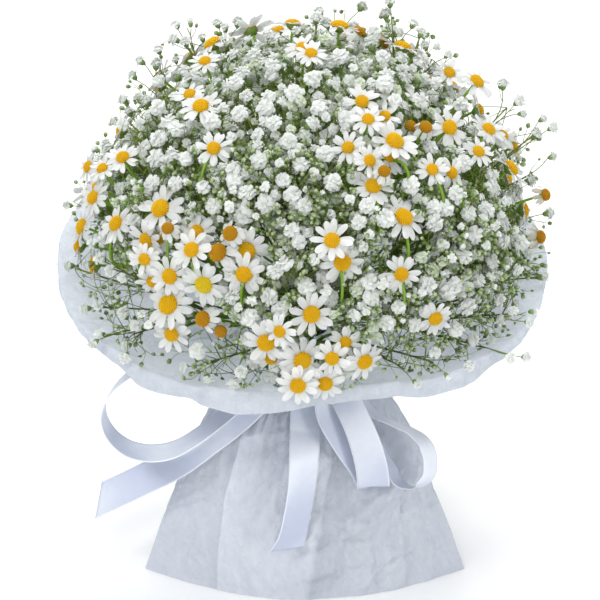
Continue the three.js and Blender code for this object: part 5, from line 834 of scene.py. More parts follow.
class Geo:
    def __init__(self):
        self.v, self.uv, self.f4, self.f3, self.n = [], [], [], [], 0

    def add(self, v, uv, f4=None, f3=None):
        v = arr(v).reshape(-1, 3)
        self.v.append(v)
        self.uv.append(arr(uv).reshape(-1, 2))
        if f4 is not None and len(f4):
            self.f4.append(np.asarray(f4, dtype=int) + self.n)
        if f3 is not None and len(f3):
            self.f3.append(np.asarray(f3, dtype=int) + self.n)
        self.n += len(v)

    def stamp(self, t, places, frames, w):
        """Copies of a template: places M x 3, frames M x 3 x 3 whose columns are its axes, w M from 0 to 1."""
        places, frames, w = arr(places).reshape(-1, 3), arr(frames).reshape(-1, 3, 3), arr(w).reshape(-1)
        if not len(places):
            return
        m, n = len(places), len(t.v)
        v = np.einsum("mij,nj->mni", frames, t.v) + places[:, None]
        u = (t.k[None] + 0.08 + 0.7 * w[:, None] + 0.14 * t.c[None]) / 16
        uv = np.stack([u, np.broadcast_to(0.02 + 0.96 * t.h[None], u.shape)], -1)
        off = (np.arange(m) * n)[:, None, None]
        self.add(v, uv, (t.f4[None] + off).reshape(-1, 4), (t.f3[None] + off).reshape(-1, 3))

    def tubes(self, paths, radii, sides, kind, w, h0=0.0, h1=1.0, tip=False):
        """Round stems: paths M x K x 3, radii M x K."""
        paths, radii, w = arr(paths), arr(radii), arr(w).reshape(-1)
        if not len(paths):
            return
        m, k, _ = paths.shape
        t = unit(np.gradient(paths, axis=1))
        ref = unit(paths[:, -1] - paths[:, 0])
        a = np.where(np.abs(ref[:, :1]) < 0.8, np.array([[1.0, 0, 0]]), np.array([[0, 1.0, 0]]))
        side = unit(np.cross(ref, a))[:, None] * np.ones((1, k, 1))
        side = unit(side - t * (side * t).sum(-1, keepdims=True))
        up = np.cross(t, side)
        q = np.arange(sides) * 2 * math.pi / sides
        v = paths[:, :, None] + radii[:, :, None, None] * (side[:, :, None] * np.cos(q)[None, None, :, None] + up[:, :, None] * np.sin(q)[None, None, :, None])
        c = (0.5 + 0.5 * np.cos(q))[None, None] * np.ones((m, k, 1))
        h = np.linspace(h0, h1, k)[None, :, None] * np.ones((m, 1, sides))
        u = (KINDS[kind] + 0.08 + 0.7 * w[:, None, None] + 0.14 * c) / 16
        n = k * sides
        off = (np.arange(m) * n)[:, None, None]
        f3 = None
        if tip:
            last = (k - 1) * sides
            f3 = np.array([[last, last + j, last + j + 1] for j in range(1, sides - 1)])[None] + off
            f3 = f3.reshape(-1, 3)
        self.add(v, np.stack([u, 0.02 + 0.96 * h], -1), (quads(k, sides, True)[None] + off).reshape(-1, 4), f3)

    def build(self, name, material, smooth_faces=True, uv_name="OFBake"):
        v = np.vstack(self.v)
        if "spray" in name:
            v = off_the_collar(v)
        v = (v + SHIFT) * 0.001
        v[:, 2] = np.maximum(v[:, 2], 0.0)
        uv = np.vstack(self.uv)
        f4 = np.vstack(self.f4) if self.f4 else np.zeros((0, 4), int)
        f3 = np.vstack(self.f3) if self.f3 else np.zeros((0, 3), int)
        loops = np.concatenate([f4.ravel(), f3.ravel()]).astype(np.int32)
        starts = np.concatenate([np.arange(len(f4)) * 4, len(f4) * 4 + np.arange(len(f3)) * 3]).astype(np.int32)
        me = bpy.data.meshes.new(name)
        me.vertices.add(len(v))
        me.vertices.foreach_set("co", v.astype(np.float32).ravel())
        me.loops.add(len(loops))
        me.loops.foreach_set("vertex_index", loops)
        me.polygons.add(len(starts))
        me.polygons.foreach_set("loop_start", starts)
        layer = me.uv_layers.new(name=uv_name)
        layer.data.foreach_set("uv", uv[loops].astype(np.float32).ravel())
        me.update(calc_edges=True)
        me.validate()
        me.polygons.foreach_set("use_smooth", np.full(len(me.polygons), smooth_faces))
        me.materials.append(material)
        ob = bpy.data.objects.new(name, me)
        bpy.context.scene.collection.objects.link(ob)
        return ob


def curve3(a, c, b, k):
    """Quadratic curves from a by way of c to b, M x k x 3."""
    a, b, c = arr(a).reshape(-1, 1, 3), arr(b).reshape(-1, 1, 3), arr(c).reshape(-1, 1, 3)
    t = np.linspace(0, 1, k)[None, :, None]
    return (1 - t) ** 2 * a + 2 * t * (1 - t) * c + t**2 * b


def frames_of(normals, turns, scales=1.0):
    """Frames with z along each normal, turned about it."""
    n = unit(arr(normals).reshape(-1, 3))
    a = np.where(np.abs(n[:, :1]) < 0.8, np.array([[1.0, 0, 0]]), np.array([[0, 1.0, 0]]))
    x = unit(a - n * (a * n).sum(-1, keepdims=True))
    y = np.cross(n, x)
    turns = arr(turns).reshape(-1, 1)
    x2 = x * np.cos(turns) + y * np.sin(turns)
    y2 = -x * np.sin(turns) + y * np.cos(turns)
    return np.stack([x2, y2, n], -1) * arr(scales).reshape(-1, 1, 1)


# ---------------------------------------------------------------- templates
def floret_template():
    q = np.arange(5) * 2 * math.pi / 5
    low = np.stack([0.58 * np.cos(q), 0.58 * np.sin(q), 0 * q - 0.15], -1)
    mid = np.stack([0.44 * np.cos(q + 0.3), 0.44 * np.sin(q + 0.3), 0 * q + 0.42], -1)
    v = np.vstack([low, mid, [[0, 0, 0.62]]])
    return Template(v, "disc", 0.5, [0.15] * 5 + [0.85] * 5 + [1.0], quads(2, 5, True), [[5 + j, 5 + (j + 1) % 5, 10] for j in range(5)])


def bud_template(seed):
    """A round gypsophila bud, its green sepals parting over the white petals; z is its axis, 1 its radius."""
    g = np.random.default_rng(seed)
    q = np.arange(6) * math.pi / 3
    rows = [(-1.1, 0.3, 0.0), (-0.55, 0.8, 0.12), (0.15, 0.96, 0.42), (0.78, 0.66, 0.74)]
    v, h = [], []
    for i, (z, r, hh) in enumerate(rows):
        for j in range(6):
            rr = r * (1 + 0.06 * g.standard_normal())
            v.append((rr * math.cos(q[j] + 0.16 * i), rr * math.sin(q[j] + 0.16 * i), z))
            h.append(np.clip(hh + (0.26 if j % 2 else -0.24) * (i > 0) + 0.05 * g.standard_normal(), 0, 1))
    v.append((0, 0, 1.12 + 0.1 * g.random()))
    h.append(1.0)
    f3 = [[18 + j, 18 + (j + 1) % 6, 24] for j in range(6)]
    return Template(v, "bud", 0.5, h, quads(4, 6, True), f3)


def core_template(r, h):
    """The close heart of a double flower."""
    rows = [(-0.75, 0.55), (-0.1, 0.98), (0.55, 0.8)]
    v, q = [], np.arange(7) * 2 * math.pi / 7
    for i, (z, rr) in enumerate(rows):
        v += [(r * rr * math.cos(a + 0.4 * i), r * rr * math.sin(a + 0.4 * i), r * z) for a in q]
    v.append((0, 0, r))
    return Template(v, "gyp", 0.5, h, quads(3, 7, True), [[14 + j, 14 + (j + 1) % 7, 21] for j in range(7)])


def ball_template(seed, tiers, m=3, n=5, squash=0.82):
    """A double gypsophila flower: tiers of short notched petals that open over one another round a close heart.
    Each tier: its angle from the axis, its petals, how far they reach, how far their ends stand out. 1 is its radius."""
    g = np.random.default_rng(seed)
    t = np.linspace(0, 1, m)[:, None]
    s = np.linspace(-1, 1, n)[None]
    out = core_template(0.72, 0.35)
    for tier, (polar, count, reach, lift) in enumerate(tiers):
        for k in range(count):
            a = (k + 0.5 * (tier % 2) + 0.22 * g.standard_normal()) * 2 * math.pi / count
            er, ea = np.array([math.cos(a), math.sin(a), 0.0]), np.array([-math.sin(a), math.cos(a), 0.0])
            th0 = math.radians(polar + 6 * g.standard_normal())
            span = math.radians(reach) * (0.8 + 0.4 * g.random())
            tip = 1 - (0.26 * (np.abs(s) > 0.9) + 0.24 * (np.abs(s) < 0.2) * g.random()) * t
            th = th0 + span * t * tip
            up = lift * (0.55 + 0.8 * g.random())
            rad = 0.66 + up * t**1.1 + 0.06 * g.standard_normal() * s * t + 0.045 * np.cos(math.pi * 1.5 * s + 6 * g.random()) * t
            rad = rad - 0.10 * s**2 * (1 - 0.4 * t)
            half = (math.pi * math.sin(min(th0 + 0.6 * span, math.pi / 2)) * 0.9 / max(count, 4)) * (0.98 + 0.26 * g.random())
            side = s * half * (0.55 + 0.45 * t**0.8) * (1 - 0.10 * t**3) + 0.05 * g.standard_normal() * t
            d = np.sin(th)[..., None] * er + np.cos(th)[..., None] * np.array([0, 0, 1.0])
            v = (rad[..., None] * d + side[..., None] * ea).reshape(-1, 3) * np.array([1, 1, squash])
            h = np.clip(0.42 + 0.58 * t + 0 * s, 0, 1).ravel()
            c = (0.5 + 0.5 * s + 0 * t).ravel()
            out = out.plus(Template(v, "gyp", c, h, quads(m, n)))
    return out


def cup_template(seed):
    """A flower that is half open, seen as a tuft of petals over its green calyx."""
    g = np.random.default_rng(seed)
    out = None
    m, n = 4, 3
    t = np.linspace(0, 1, m)[:, None]
    s = np.linspace(-1, 1, n)[None]
    for i in range(9):
        a = i * 2.39996
        tilt = 0.35 + 0.75 * (i / 9) + 0.1 * g.standard_normal()
        d = np.array([math.sin(tilt) * math.cos(a), math.sin(tilt) * math.sin(a), math.cos(tilt)])
        e = unit(np.cross(np.array([0, 0, 1.0]), d))
        o = np.cross(e, d)
        ruf = 0.1 * g.standard_normal(2)
        length = 1.25 * t - 0.14 * t * s**2
        side = s * 0.5 * (0.3 + 0.7 * t**0.8)
        over = -0.35 * t**2 + (ruf[0] * s + ruf[1]) * t
        v = (length[..., None] * d + side[..., None] * e + over[..., None] * o).reshape(-1, 3) - np.array([0, 0, 0.35])
        p = Template(v, "gyp", (0.5 + 0.5 * s + 0 * t).ravel(), (0.2 + 0.8 * t + 0 * s).ravel(), quads(m, n))
        out = p if out is None else out.plus(p)
    return out.plus(calyx_template())


def calyx_template():
    q = np.arange(5) * 2 * math.pi / 5
    rows = [(-1.15, 0.12), (-0.85, 0.42), (-0.25, 0.62)]
    v = [(r * math.cos(x + 0.3 * i), r * math.sin(x + 0.3 * i), z + (0.22 if i == 2 and k % 2 else 0)) for i, (z, r) in enumerate(rows) for k, x in enumerate(q)]
    h = [0.0] * 5 + [0.35] * 5 + [0.95] * 5
    return Template(v, "gyp_calyx", 0.5, h, quads(3, 5, True))


def leaf_template(kind, width, bend):
    """A narrow blade of length 1 along x, folded along its midrib; z is its upper side."""
    m = 6
    t = np.linspace(0, 1, m)
    w = width * np.sin(math.pi * np.clip(t * 0.93 + 0.07, 0, 1)) ** 0.8
    w[-1] = 0.004
    rows = []
    for i in range(m):
        z = -bend * t[i] ** 2
        rows += [(t[i], -w[i], z + 0.45 * w[i]), (t[i], 0, z), (t[i], w[i], z + 0.45 * w[i])]
    return Template(rows, kind, [0, 0.5, 1.0] * m, np.repeat(t, 3), quads(m, 3))


FLORET = floret_template()
BUDS = [bud_template(900 + i) for i in range(6)]
BALLS = [ball_template(300 + i, [(4, 4, 26, 0.40), (22, 6 + i % 2, 30, 0.40), (44, 8 + i % 3, 34, 0.38), (70, 10, 32, 0.35), (96, 9 + i % 2, 26, 0.30)], squash=0.78 + 0.03 * (i % 5)).plus(calyx_template()) for i in range(10)]
SMALL = [ball_template(400 + i, [(8, 4, 36, 0.42), (42, 6 + i % 2, 40, 0.38), (78, 7 + i % 3, 34, 0.34)], 3, 3, 0.85).plus(calyx_template()) for i in range(6)]
CUPS = [cup_template(500 + i) for i in range(5)]
GYP_LEAVES = [leaf_template("gyp_leaf", 0.042, b) for b in (0.05, 0.2, 0.4)]
DAISY_LEAVES = [leaf_template("leaf", 0.062, b) for b in (0.0, 0.2, 0.45)]


# ---------------------------------------------------------------- sprays: stems and branches as the solids have them
def stem_foot(q):
    t = -WAIST_Z * SPIRAL
    return np.array([FOOT[0] + q[0] - t * q[1], FOOT[1] + q[1] + t * q[0], 0.0])


def main_points(i):
    s = SPRAYS[i]
    q = np.array([s[0], s[1]]) - WAIST
    return np.array([stem_foot(q), [s[0], s[1], WAIST_Z]] + [s[2 + 3 * k:5 + 3 * k] for k in range(4)])


def along_line(pts, s):
    x = s * (len(pts) - 1)
    a = min(int(x), len(pts) - 2)
    return pts[a] + (pts[a + 1] - pts[a]) * (x - a)


RIM_A = arr(RIM)


def rim_at(deg):
    """The rim's outer radius and its crest's radius at an angle."""
    deg = (arr(deg) + 180) % 360 - 180
    return np.interp(deg, RIM_A[:, 0], RIM_A[:, 1]), np.interp(deg, RIM_A[:, 0], RIM_A[:, 2])


def collar_height(rho):
    """How high the collar's inner face stands in the tilted frame, at a distance from its axis."""
    return np.interp(rho, [16, 20, 39, 67, 105, 148, 200], [-50, -41.5, -33.3, -23.1, -11.8, 0.5, 6])


def front_rise(deg):
    """How much of the collar's raised front there is at an angle, from 0 to 1."""
    return smooth(-165, -128, deg) * (1 - smooth(-46, -31, deg))


def off_the_collar(v):
    """Points, those that would go through the collar lifted onto it."""
    d = v - HC
    u, w, n = d @ AX_U, d @ AX_W, d @ AX_N
    rho, deg = np.hypot(u, w), np.degrees(np.arctan2(w, u))
    low = collar_height(rho) + 3.2 + front_rise(deg) * np.interp(rho, [100, 127, 146], [0, 2.6, 4.4])
    under = (rho > 30) & (n > -58) & (n < low) & (rho < rim_at(deg)[1] + 1)
    return v + AX_N * (np.where(under, low - n, 0))[:, None]


def keep_clear(p, gap):
    """p, lifted off the collar where it would touch it, and kept inside the bunch's own outline."""
    p = arr(p).copy()
    d = p - HC
    u, w, n = d @ AX_U, d @ AX_W, d @ AX_N
    rho = math.hypot(u, w)
    low = float(collar_height(rho)) + gap + float(front_rise(math.degrees(math.atan2(w, u))) * np.interp(rho, [100, 127, 146], [0, 2.6, 4.4]))
    if n < low:
        p = p + AX_N * (low - n)
    d = p - E0
    u, w, n = d @ AX_U, d @ AX_W, d @ AX_N
    k = math.sqrt((u * u + w * w) / 162**2 + (n / 155) ** 2) if n > 0 else math.hypot(u, w) / 160
    if k > 1:
        p = E0 + d / k
    return p


# The outline of the head as it is seen from the front, round (OX, OZ) in picture units of 0.62 mm:
# angle, how far the close mass of flowers reaches, how far single twigs do.
OUTLINE = arr([
    [0, 225, 242], [10, 222, 250], [20, 212, 262], [30, 190, 246], [40, 195, 226], [50, 195, 212], [60, 200, 222], [70, 195, 222],
    [80, 175, 205], [90, 178, 202], [100, 163, 182], [110, 175, 206], [120, 192, 222], [130, 203, 236], [140, 198, 236], [150, 197, 226],
    [160, 212, 226], [170, 225, 240], [180, 228, 250], [190, 208, 248], [200, 200, 250], [210, 206, 245], [220, 202, 238], [230, 194, 222],
    [240, 186, 204], [250, 178, 193], [260, 175, 184], [270, 172, 183], [280, 175, 185], [290, 168, 182], [300, 170, 192], [310, 190, 212],
    [320, 190, 220], [330, 200, 240], [340, 212, 244], [350, 222, 240], [360, 225, 242]])
# how far the mass of open flowers reaches; past it there are sparse twigs over the collar
MASS = arr([
    [0, 208], [10, 212], [20, 204], [30, 188], [40, 190], [50, 190], [60, 198], [70, 194], [80, 178], [90, 180], [100, 166], [110, 178],
    [120, 192], [130, 200], [140, 196], [150, 193], [160, 208], [170, 218], [180, 218], [190, 196], [200, 182], [210, 172], [220, 170],
    [230, 162], [240, 150], [250, 150], [260, 160], [270, 166], [280, 164], [290, 146], [300, 150], [310, 152], [320, 160], [330, 176],
    [340, 190], [350, 202], [360, 208]])
FWD, UP = -TO_CAM, np.array([0.0, math.sin(CAM_E), math.cos(CAM_E)])


def seen(p):
    """Where p shows in the front view: x and y in picture units, and its distance."""
    v = arr(p) - (np.array([-7.2, 0.0, 183.0]) + 2200 * TO_CAM)
    z = v @ FWD
    return 300 + 3548.4 * v[..., 0] / z, 300 - 3548.4 * (v @ UP) / z, z


def room(p, loose=0.3):
    """How likely a twig may end at p, so that the head keeps its outline."""
    x, y, _ = seen(p)
    r, a = math.hypot(x - 315, 210 - y), math.degrees(math.atan2(210 - y, x - 315)) % 360
    close, far = np.interp(a, OUTLINE[:, 0], OUTLINE[:, 1]), np.interp(a, OUTLINE[:, 0], OUTLINE[:, 2])
    if r < close - 8:
        return 1.0
    if r > far - 3:
        return 0.0
    return loose if r > close else lerp(1.0, loose, (r - close + 8) / 8)


def in_mass(p, soft=0.0):
    """True where the mass of flowers is; a soft share of the rest passes too."""
    x, y, _ = seen(p)
    r, a = math.hypot(x - 315, 210 - y), math.degrees(math.atan2(210 - y, x - 315)) % 360
    return r < np.interp(a, MASS[:, 0], MASS[:, 1]) or rng.random() < soft


_fx, _fy, _fz = seen(np.vstack([arr([d[1:4] for d in DAISIES]), arr([q[1:4] for q in POMPONS])]))
_fr = np.concatenate([arr([d[7] for d in DAISIES]) * 0.95, np.full(len(POMPONS), 4.9)]) / 0.62


def hides(p, r):
    """True if a ball of radius r at p would stand in front of a flower."""
    x, y, z = seen(p)
    return bool(((_fx - x) ** 2 + (_fy - y) ** 2 < (_fr + r / 0.62) ** 2)[z < _fz + 1.0].any()) if np.ndim(z) == 0 else None


def crosses_head(p):
    """True if p stands in front of a daisy."""
    x, y, z = seen(p)
    n = len(DAISIES)
    return bool(((_fx[:n] - x) ** 2 + (_fy[:n] - y) ** 2 < (0.85 * _fr[:n]) ** 2)[z < _fz[:n] + 1.0].any())


def fill_places():
    """Flowers for the stretches of the head that the tables leave bare: place, size and cluster."""
    g = np.random.default_rng(515)
    cents = arr([c[1:4] for c in CLUSTERS])
    placed = np.vstack([arr([d[1:4] for d in DAISIES]), arr([q[1:4] for q in POMPONS])])
    front = arr([outward_at(p) @ TO_CAM for p in placed]) > -0.15
    xs, ys, rs = list(_fx[front]), list(_fy[front]), list(_fr[front] * 0.86)
    back = list(placed[~front])
    out = []
    for _ in range(15000):
        d = unit(g.standard_normal(3))
        if d[2] < -0.08:
            continue
        deep = 1 + 15 * g.random() ** 1.4
        p = E0 + (AX_U * d[0] * DOME_R + AX_W * d[1] * DOME_R + AX_N * d[2] * DOME_H) * (1 - deep / 140)
        p = keep_clear(p, 7)
        far = np.linalg.norm(cents - p, axis=1)
        k = int(far.argmin())
        facing = float(outward_at(p) @ TO_CAM)
        # along the crest they sit a little deeper, inside the outline
        for _ in range(5):
            if facing > 0.55 or d[2] < 0.2 or in_mass(p):
                break
            p = E0 + (p - E0) * 0.97
        if far[k] > (40 if seen(p)[1] > 150 else 60) or not (in_mass(p) or facing < 0.12 and room(p, 0.0) > g.random()):
            continue
        R = 2.5 + 2.1 * g.random()
        x, y, _z = seen(p)
        # the top is seen at a slant, where the flowers stand closer in the picture
        tight = 0.86 - 0.34 * float(smooth(150, 60, y))
        if facing > -0.12:
            # patches where fine twigs and buds show instead, more of them on the right
            shut = 0.75 - 0.58 * smooth(110, 175, y) - 0.34 * smooth(355, 400, x) * smooth(120, 175, y) - 0.30 * smooth(285, 330, y)
            if float(noise2(arr([x / 24]), arr([y / 24]), 977)[0]) > shut:
                continue
            if ((arr(xs) - x) ** 2 + (arr(ys) - y) ** 2 < (arr(rs) * tight / 0.86 + tight * R / 0.62) ** 2).any():
                continue
            xs.append(x)
            ys.append(y)
            rs.append(0.86 * R / 0.62)
        else:
            if back and (np.linalg.norm(arr(back) - p, axis=1) < 12.0).any():
                continue
            back.append(p)
            R += 0.7
        out.append((p, R, k))
    # half-open ones, deeper in, between the open flowers of the top
    for _ in range(9000):
        d = unit(g.standard_normal(3))
        p = E0 + (AX_U * d[0] * DOME_R + AX_W * d[1] * DOME_R + AX_N * abs(d[2]) * DOME_H) * (1 - (5 + 20 * g.random()) / 140)
        x, y, _z = seen(p)
        far = np.linalg.norm(cents - p, axis=1)
        k = int(far.argmin())
        if not 45 < y < 165 or far[k] > 45 or not in_mass(p) or outward_at(p) @ TO_CAM < -0.3:
            continue
        R = 1.7 + 1.1 * g.random()
        if ((arr(xs) - x) ** 2 + (arr(ys) - y) ** 2 < (arr(rs) * 0.76 + 0.76 * R / 0.62) ** 2).any():
            continue
        xs.append(x)
        ys.append(y)
        rs.append(R / 0.62)
        out.append((p, R, k))
    return out


def outward_at(p):
    d = p - E0
    u, w, n = d @ AX_U, d @ AX_W, d @ AX_N
    return unit(AX_U * u / DOME_R**2 + AX_W * w / DOME_R**2 + AX_N * max(n, 4) / DOME_H**2)


def on_shell(p, depth):
    """The point under p that is depth mm inside the dome."""
    d = p - E0
    u, w, n = d @ AX_U, d @ AX_W, d @ AX_N
    k = math.sqrt((u / DOME_R) ** 2 + (w / DOME_R) ** 2 + (n / DOME_H) ** 2)
    return E0 + d / max(k, 1e-6) * (1 - depth / 140.0)


def rand_dir(g):
    return unit(g.standard_normal(3))


FILL = fill_places()


class Spray:
    """Collects the small elements of one spray, then writes them in few batches."""

    def __init__(self, seed):
        self.g = np.random.default_rng(seed)
        self.geo = Geo()
        self.tube = {}
        self.items = {}

    def twig(self, a, c, b, r0, r1, kind, k=4, sides=3, h0=0.0, h1=1.0):
        self.tube.setdefault((kind, k, sides, h0, h1), []).append((a, c, b, r0, r1, self.g.random()))

    def put(self, key, p, n, size):
        self.items.setdefault(key, []).append((p, n, size, self.g.random() * 6.283, self.g.random()))

    def flush(self, lookup):
        for (kind, k, sides, h0, h1), rows in self.tube.items():
            a, c, b = (arr([r[i] for r in rows]) for i in range(3))
            r0, r1, w = (arr([r[i] for r in rows]) for i in (3, 4, 5))
            rad = r0[:, None] + (r1 - r0)[:, None] * np.linspace(0, 1, k)[None]
            self.geo.tubes(curve3(a, c, b, k), rad, sides, kind, w, h0, h1)
        for key, rows in self.items.items():
            p, n = arr([r[0] for r in rows]), arr([r[1] for r in rows])
            size, turn, w = (arr([r[i] for r in rows]) for i in (2, 3, 4))
            self.geo.stamp(lookup(key), p, frames_of(n, turn, size), w)

    def blade(self, p, direction, up, length, key):
        """A leaf: its length along direction, its upper side towards up."""
        x = unit(direction)
        z = unit(up - x * np.dot(up, x))
        y = np.cross(z, x)
        self.items_leaf = getattr(self, "items_leaf", {})
        self.items_leaf.setdefault(key, []).append((p, np.stack([x, y, z], -1) * length, self.g.random()))

    def flush_leaves(self, lookup):
        for key, rows in getattr(self, "items_leaf", {}).items():
            self.geo.stamp(lookup(key), arr([r[0] for r in rows]), arr([r[1] for r in rows]), arr([r[2] for r in rows]))


def painted_shade_copy(t):
    """The same flower in a greener, darker tone: painted shade for those that sit deeper in the head."""
    o = Template(t.v, "gyp_painted_shade", t.c, t.h, t.f4, t.f3)
    o.k = np.where(t.k == KINDS["gyp"], KINDS["gyp_painted_shade"], t.k)
    return o


KEPT = {"bud": BUDS, "ball": BALLS, "small": SMALL, "cup": CUPS, "gleaf": GYP_LEAVES, "dleaf": DAISY_LEAVES,
        "dim_ball": [painted_shade_copy(t) for t in BALLS], "dim_small": [painted_shade_copy(t) for t in SMALL]}


def lookup(key):
    return KEPT[key[0]][key[1]]


def bud_sprig(sp, a, c, b, n, r0=0.3, buds=3, spread=6.0, flower=0.15, size=1.4, strict=True):
    """A fine twig from a by way of c to b, which forks into short stalks with buds at their ends."""
    g = sp.g
    if strict and hides(b, 0.6) and g.random() < 0.85:
        return
    n = unit(n)
    side = spin(n, g.random() * 6.283, across(n))
    ends = []
    for k in range(buds):
        turn = k * 2.4 + g.random()
        d = unit(n * (0.75 + 0.5 * g.random()) + spin(n, turn, side) * (0.35 + 0.6 * g.random()) + 0.15 * rand_dir(g))
        length = spread * (0.6 + 0.8 * g.random())
        end = keep_clear(b + d * length, 3.0)
        if g.random() > room(end, 0.75) or hides(end, 1.4) or not in_mass(end, 0.85):
            continue
        ends.append((end, length))
    if not ends:
        return
    if not in_mass(b):
        r0, flower, size = min(r0, 0.27), flower * 0.35, size * 0.95
    sp.twig(a, c, b, r0, 0.22, "gyp_stem", 4, 3, 0.2, 0.7)
    for end, length in ends:
        bend = b + n * length * 0.4
        s = size * (0.7 + 0.55 * g.random())
        sp.twig(b, bend, end, 0.22, 0.18, "gyp_stem", 4, 3, 0.5, 1.0)
        dd = unit(end - bend)
        x = g.random()
        if x < flower * 0.6:
            R = 2.2 + 1.3 * g.random()
            sp.put(("small", g.integers(6)), end + dd * R * 0.9, dd, R)
        elif x < flower:
            R = 1.9 + 1.0 * g.random()
            sp.put(("cup", g.integers(5)), end + dd * R * 0.9, dd, R)
        else:
            sp.put(("bud", g.integers(6)), end + dd * s * 0.9, dd, s)


def gypsophila(i):
    """One stem of gypsophila: the branches of its solid, and on each a cluster of flowers, buds and hair-thin stalks."""
    sp = Spray(4000 + i)
    g = sp.g
    main = main_points(DAISY_SPRAYS + i)
    line = catmull(main, 40)
    rad = np.interp(np.arange(41) / 8, [0, 1, 2, 5], [1.25, 1.1, 1.05, 0.75])
    # the lowest run is straight, so that the spiral keeps its lay
    low = main[0] + (main[1] - main[0]) * (np.arange(9)[:, None] / 8)
    line[:9] = low
    sp.geo.tubes(line[None], rad[None], 7, "gyp_stem", [g.random()], 0.0, 0.6)
    cap = Template([(1.2 * math.cos(q), 1.2 * math.sin(q), 0) for q in np.arange(7) * 2 * math.pi / 7], "cut", 0.5, 0.5, (), [[0, j + 1, j] for j in range(1, 6)])
    sp.geo.stamp(cap, [main[0] + [0, 0, 0.02]], frames_of([[0, 0, 1]], [0]), [0.5])
    up = main[1:]
    rows = [(k, c) for k, c in enumerate(CLUSTERS) if c[0] == i]
    for k, c in rows:
        p, r, s, mid = arr(c[1:4]), c[4], c[5], arr(c[6:9])
        foot = along_line(up, s)
        b = unit(p - mid)
        end = p - b * r * 0.9
        n_out = outward_at(p)
        branch = catmull([foot, mid, end], 8)
        sp.geo.tubes(branch[None], np.linspace(0.72, 0.5, 9)[None], 5, "gyp_stem", [g.random()], 0.1, 0.6)
        given = [arr(q[1:4]) for q in POMPONS if q[0] == k]
        facing = float(n_out @ TO_CAM)
        hidden = facing < 0.05
        want = max(0, 3 - len(given)) + (1 if hidden else 0)
        targets = [(t, 1.0) for t in given] + [(q[0], q[1]) for q in FILL if q[2] == k]
        for _ in range(want):
            off = rand_dir(g)
            off = off - n_out * (off @ n_out)
            t = on_shell(p + off * (7 + 10 * g.random()), g.normal(0, 4) if hidden else 8 + 14 * g.random())
            t = keep_clear(t, 7)
            if room(t, 0.15) > g.random() and in_mass(t) and not hides(t, 3.0):
                targets.append((t, 0.0))
        for t, sure in targets:
            f = 0.45 + 0.55 * g.random()
            x = f * 8
            a = branch[int(x)] + (branch[min(8, int(x) + 1)] - branch[int(x)]) * (x - int(x))
            reach = np.linalg.norm(t - a)
            ctrl = a + b * reach * 0.45 + n_out * reach * 0.12 + rand_dir(g) * reach * 0.08
            n = unit(unit(t - ctrl) * 0.7 + n_out * 0.5 + 0.35 * rand_dir(g))
            R = (4.3 + 1.5 * g.random()) * (1.0 if sure else 0.86)
            edge = room(t, 0.0)
            R *= 0.74 + 0.26 * edge
            if sure > 1.0:
                R = sure
            head = t - n * R * 0.15
            tail = head - n * R * 1.1
            sp.twig(a, ctrl, tail, 0.42, 0.3, "gyp_stem", 6, 3, 0.2, 0.8)
            kind = g.random()
            # flowers not given in the tables take the copy with painted shade: most of those below z 285, about a third
            # of those above it
            deep = "dim_" if sure != 1.0 and int(R * 97) % 6 < (5 if t[2] < 285 else 2) else ""
            if kind < 0.90 or sure and kind < 0.96:
                sp.put((deep + "ball", g.integers(10)) if R > 3.9 else (deep + "small", g.integers(6)), head, n, R)
            else:
                sp.put(("cup", g.integers(5)), head, n, R * 0.75)
            # stalks that leave the twig in pairs below the flower
            for pair in range(1 + (g.random() < 0.4) - (sure > 1.0 and g.random() < 0.5)):
                q = 0.5 + 0.3 * g.random() - 0.22 * pair
                node = (1 - q) ** 2 * a + 2 * q * (1 - q) * ctrl + q * q * tail
                ax = unit(tail - a)
                sd = spin(ax, g.random() * 6.283, across(ax))
                for sign in (-1, 1):
                    d = unit(ax * (0.7 + 0.4 * g.random()) + sd * sign * (0.5 + 0.5 * g.random()) + n_out * 0.25)
                    length = 6 + 8 * g.random()
                    e = keep_clear(node + d * length, 3.5)
                    bend = node + ax * length * 0.2 + sd * sign * length * 0.35
                    if g.random() < 0.5:
                        bud_sprig(sp, node, bend, e, d, 0.26, 2 + g.integers(2), 4.5, 0.22)
                    elif g.random() < room(e) and not hides(e, 1.5):
                        s1 = 1.0 + 0.75 * g.random()
                        sp.twig(node, bend, e, 0.26, 0.2, "gyp_stem", 4, 3, 0.3, 1.0)
                        dd = unit(e - bend)
                        sp.put(("bud", g.integers(6)), e + dd * s1 * 0.9, dd, s1)
                    if g.random() < 0.25:
                        sp.blade(node, spin(ax, 0.5 * g.standard_normal(), d) + 0.2 * ax, ax, 3 + 5 * g.random(), ("gleaf", g.integers(3)))
        # loose sprigs of buds round the cluster
        for _ in range(10):
            f = 0.35 + 0.6 * g.random()
            x = f * 8
            a = branch[int(x)] + (branch[min(8, int(x) + 1)] - branch[int(x)]) * (x - int(x))
            off = rand_dir(g)
            off = off - n_out * (off @ n_out)
            t = on_shell(p + off * (6 + 20 * g.random()), 16 - 22 * g.random() ** 1.3)
            t = keep_clear(t, 4)
            if g.random() > room(t, 0.8) or not in_mass(t, 0.8):
                continue
            reach = np.linalg.norm(t - a)
            ctrl = a + b * reach * 0.4 + off * reach * 0.1
            d = unit(t - ctrl)
            bud_sprig(sp, a, ctrl, t, unit(d + 0.4 * n_out), 0.32, 2 + g.integers(4), 5.0 + 4 * g.random(), 0.22)
            if g.random() < 0.25:
                sp.blade(a, unit(b + 0.8 * off), n_out, 6 + 7 * g.random(), ("gleaf", g.integers(3)))
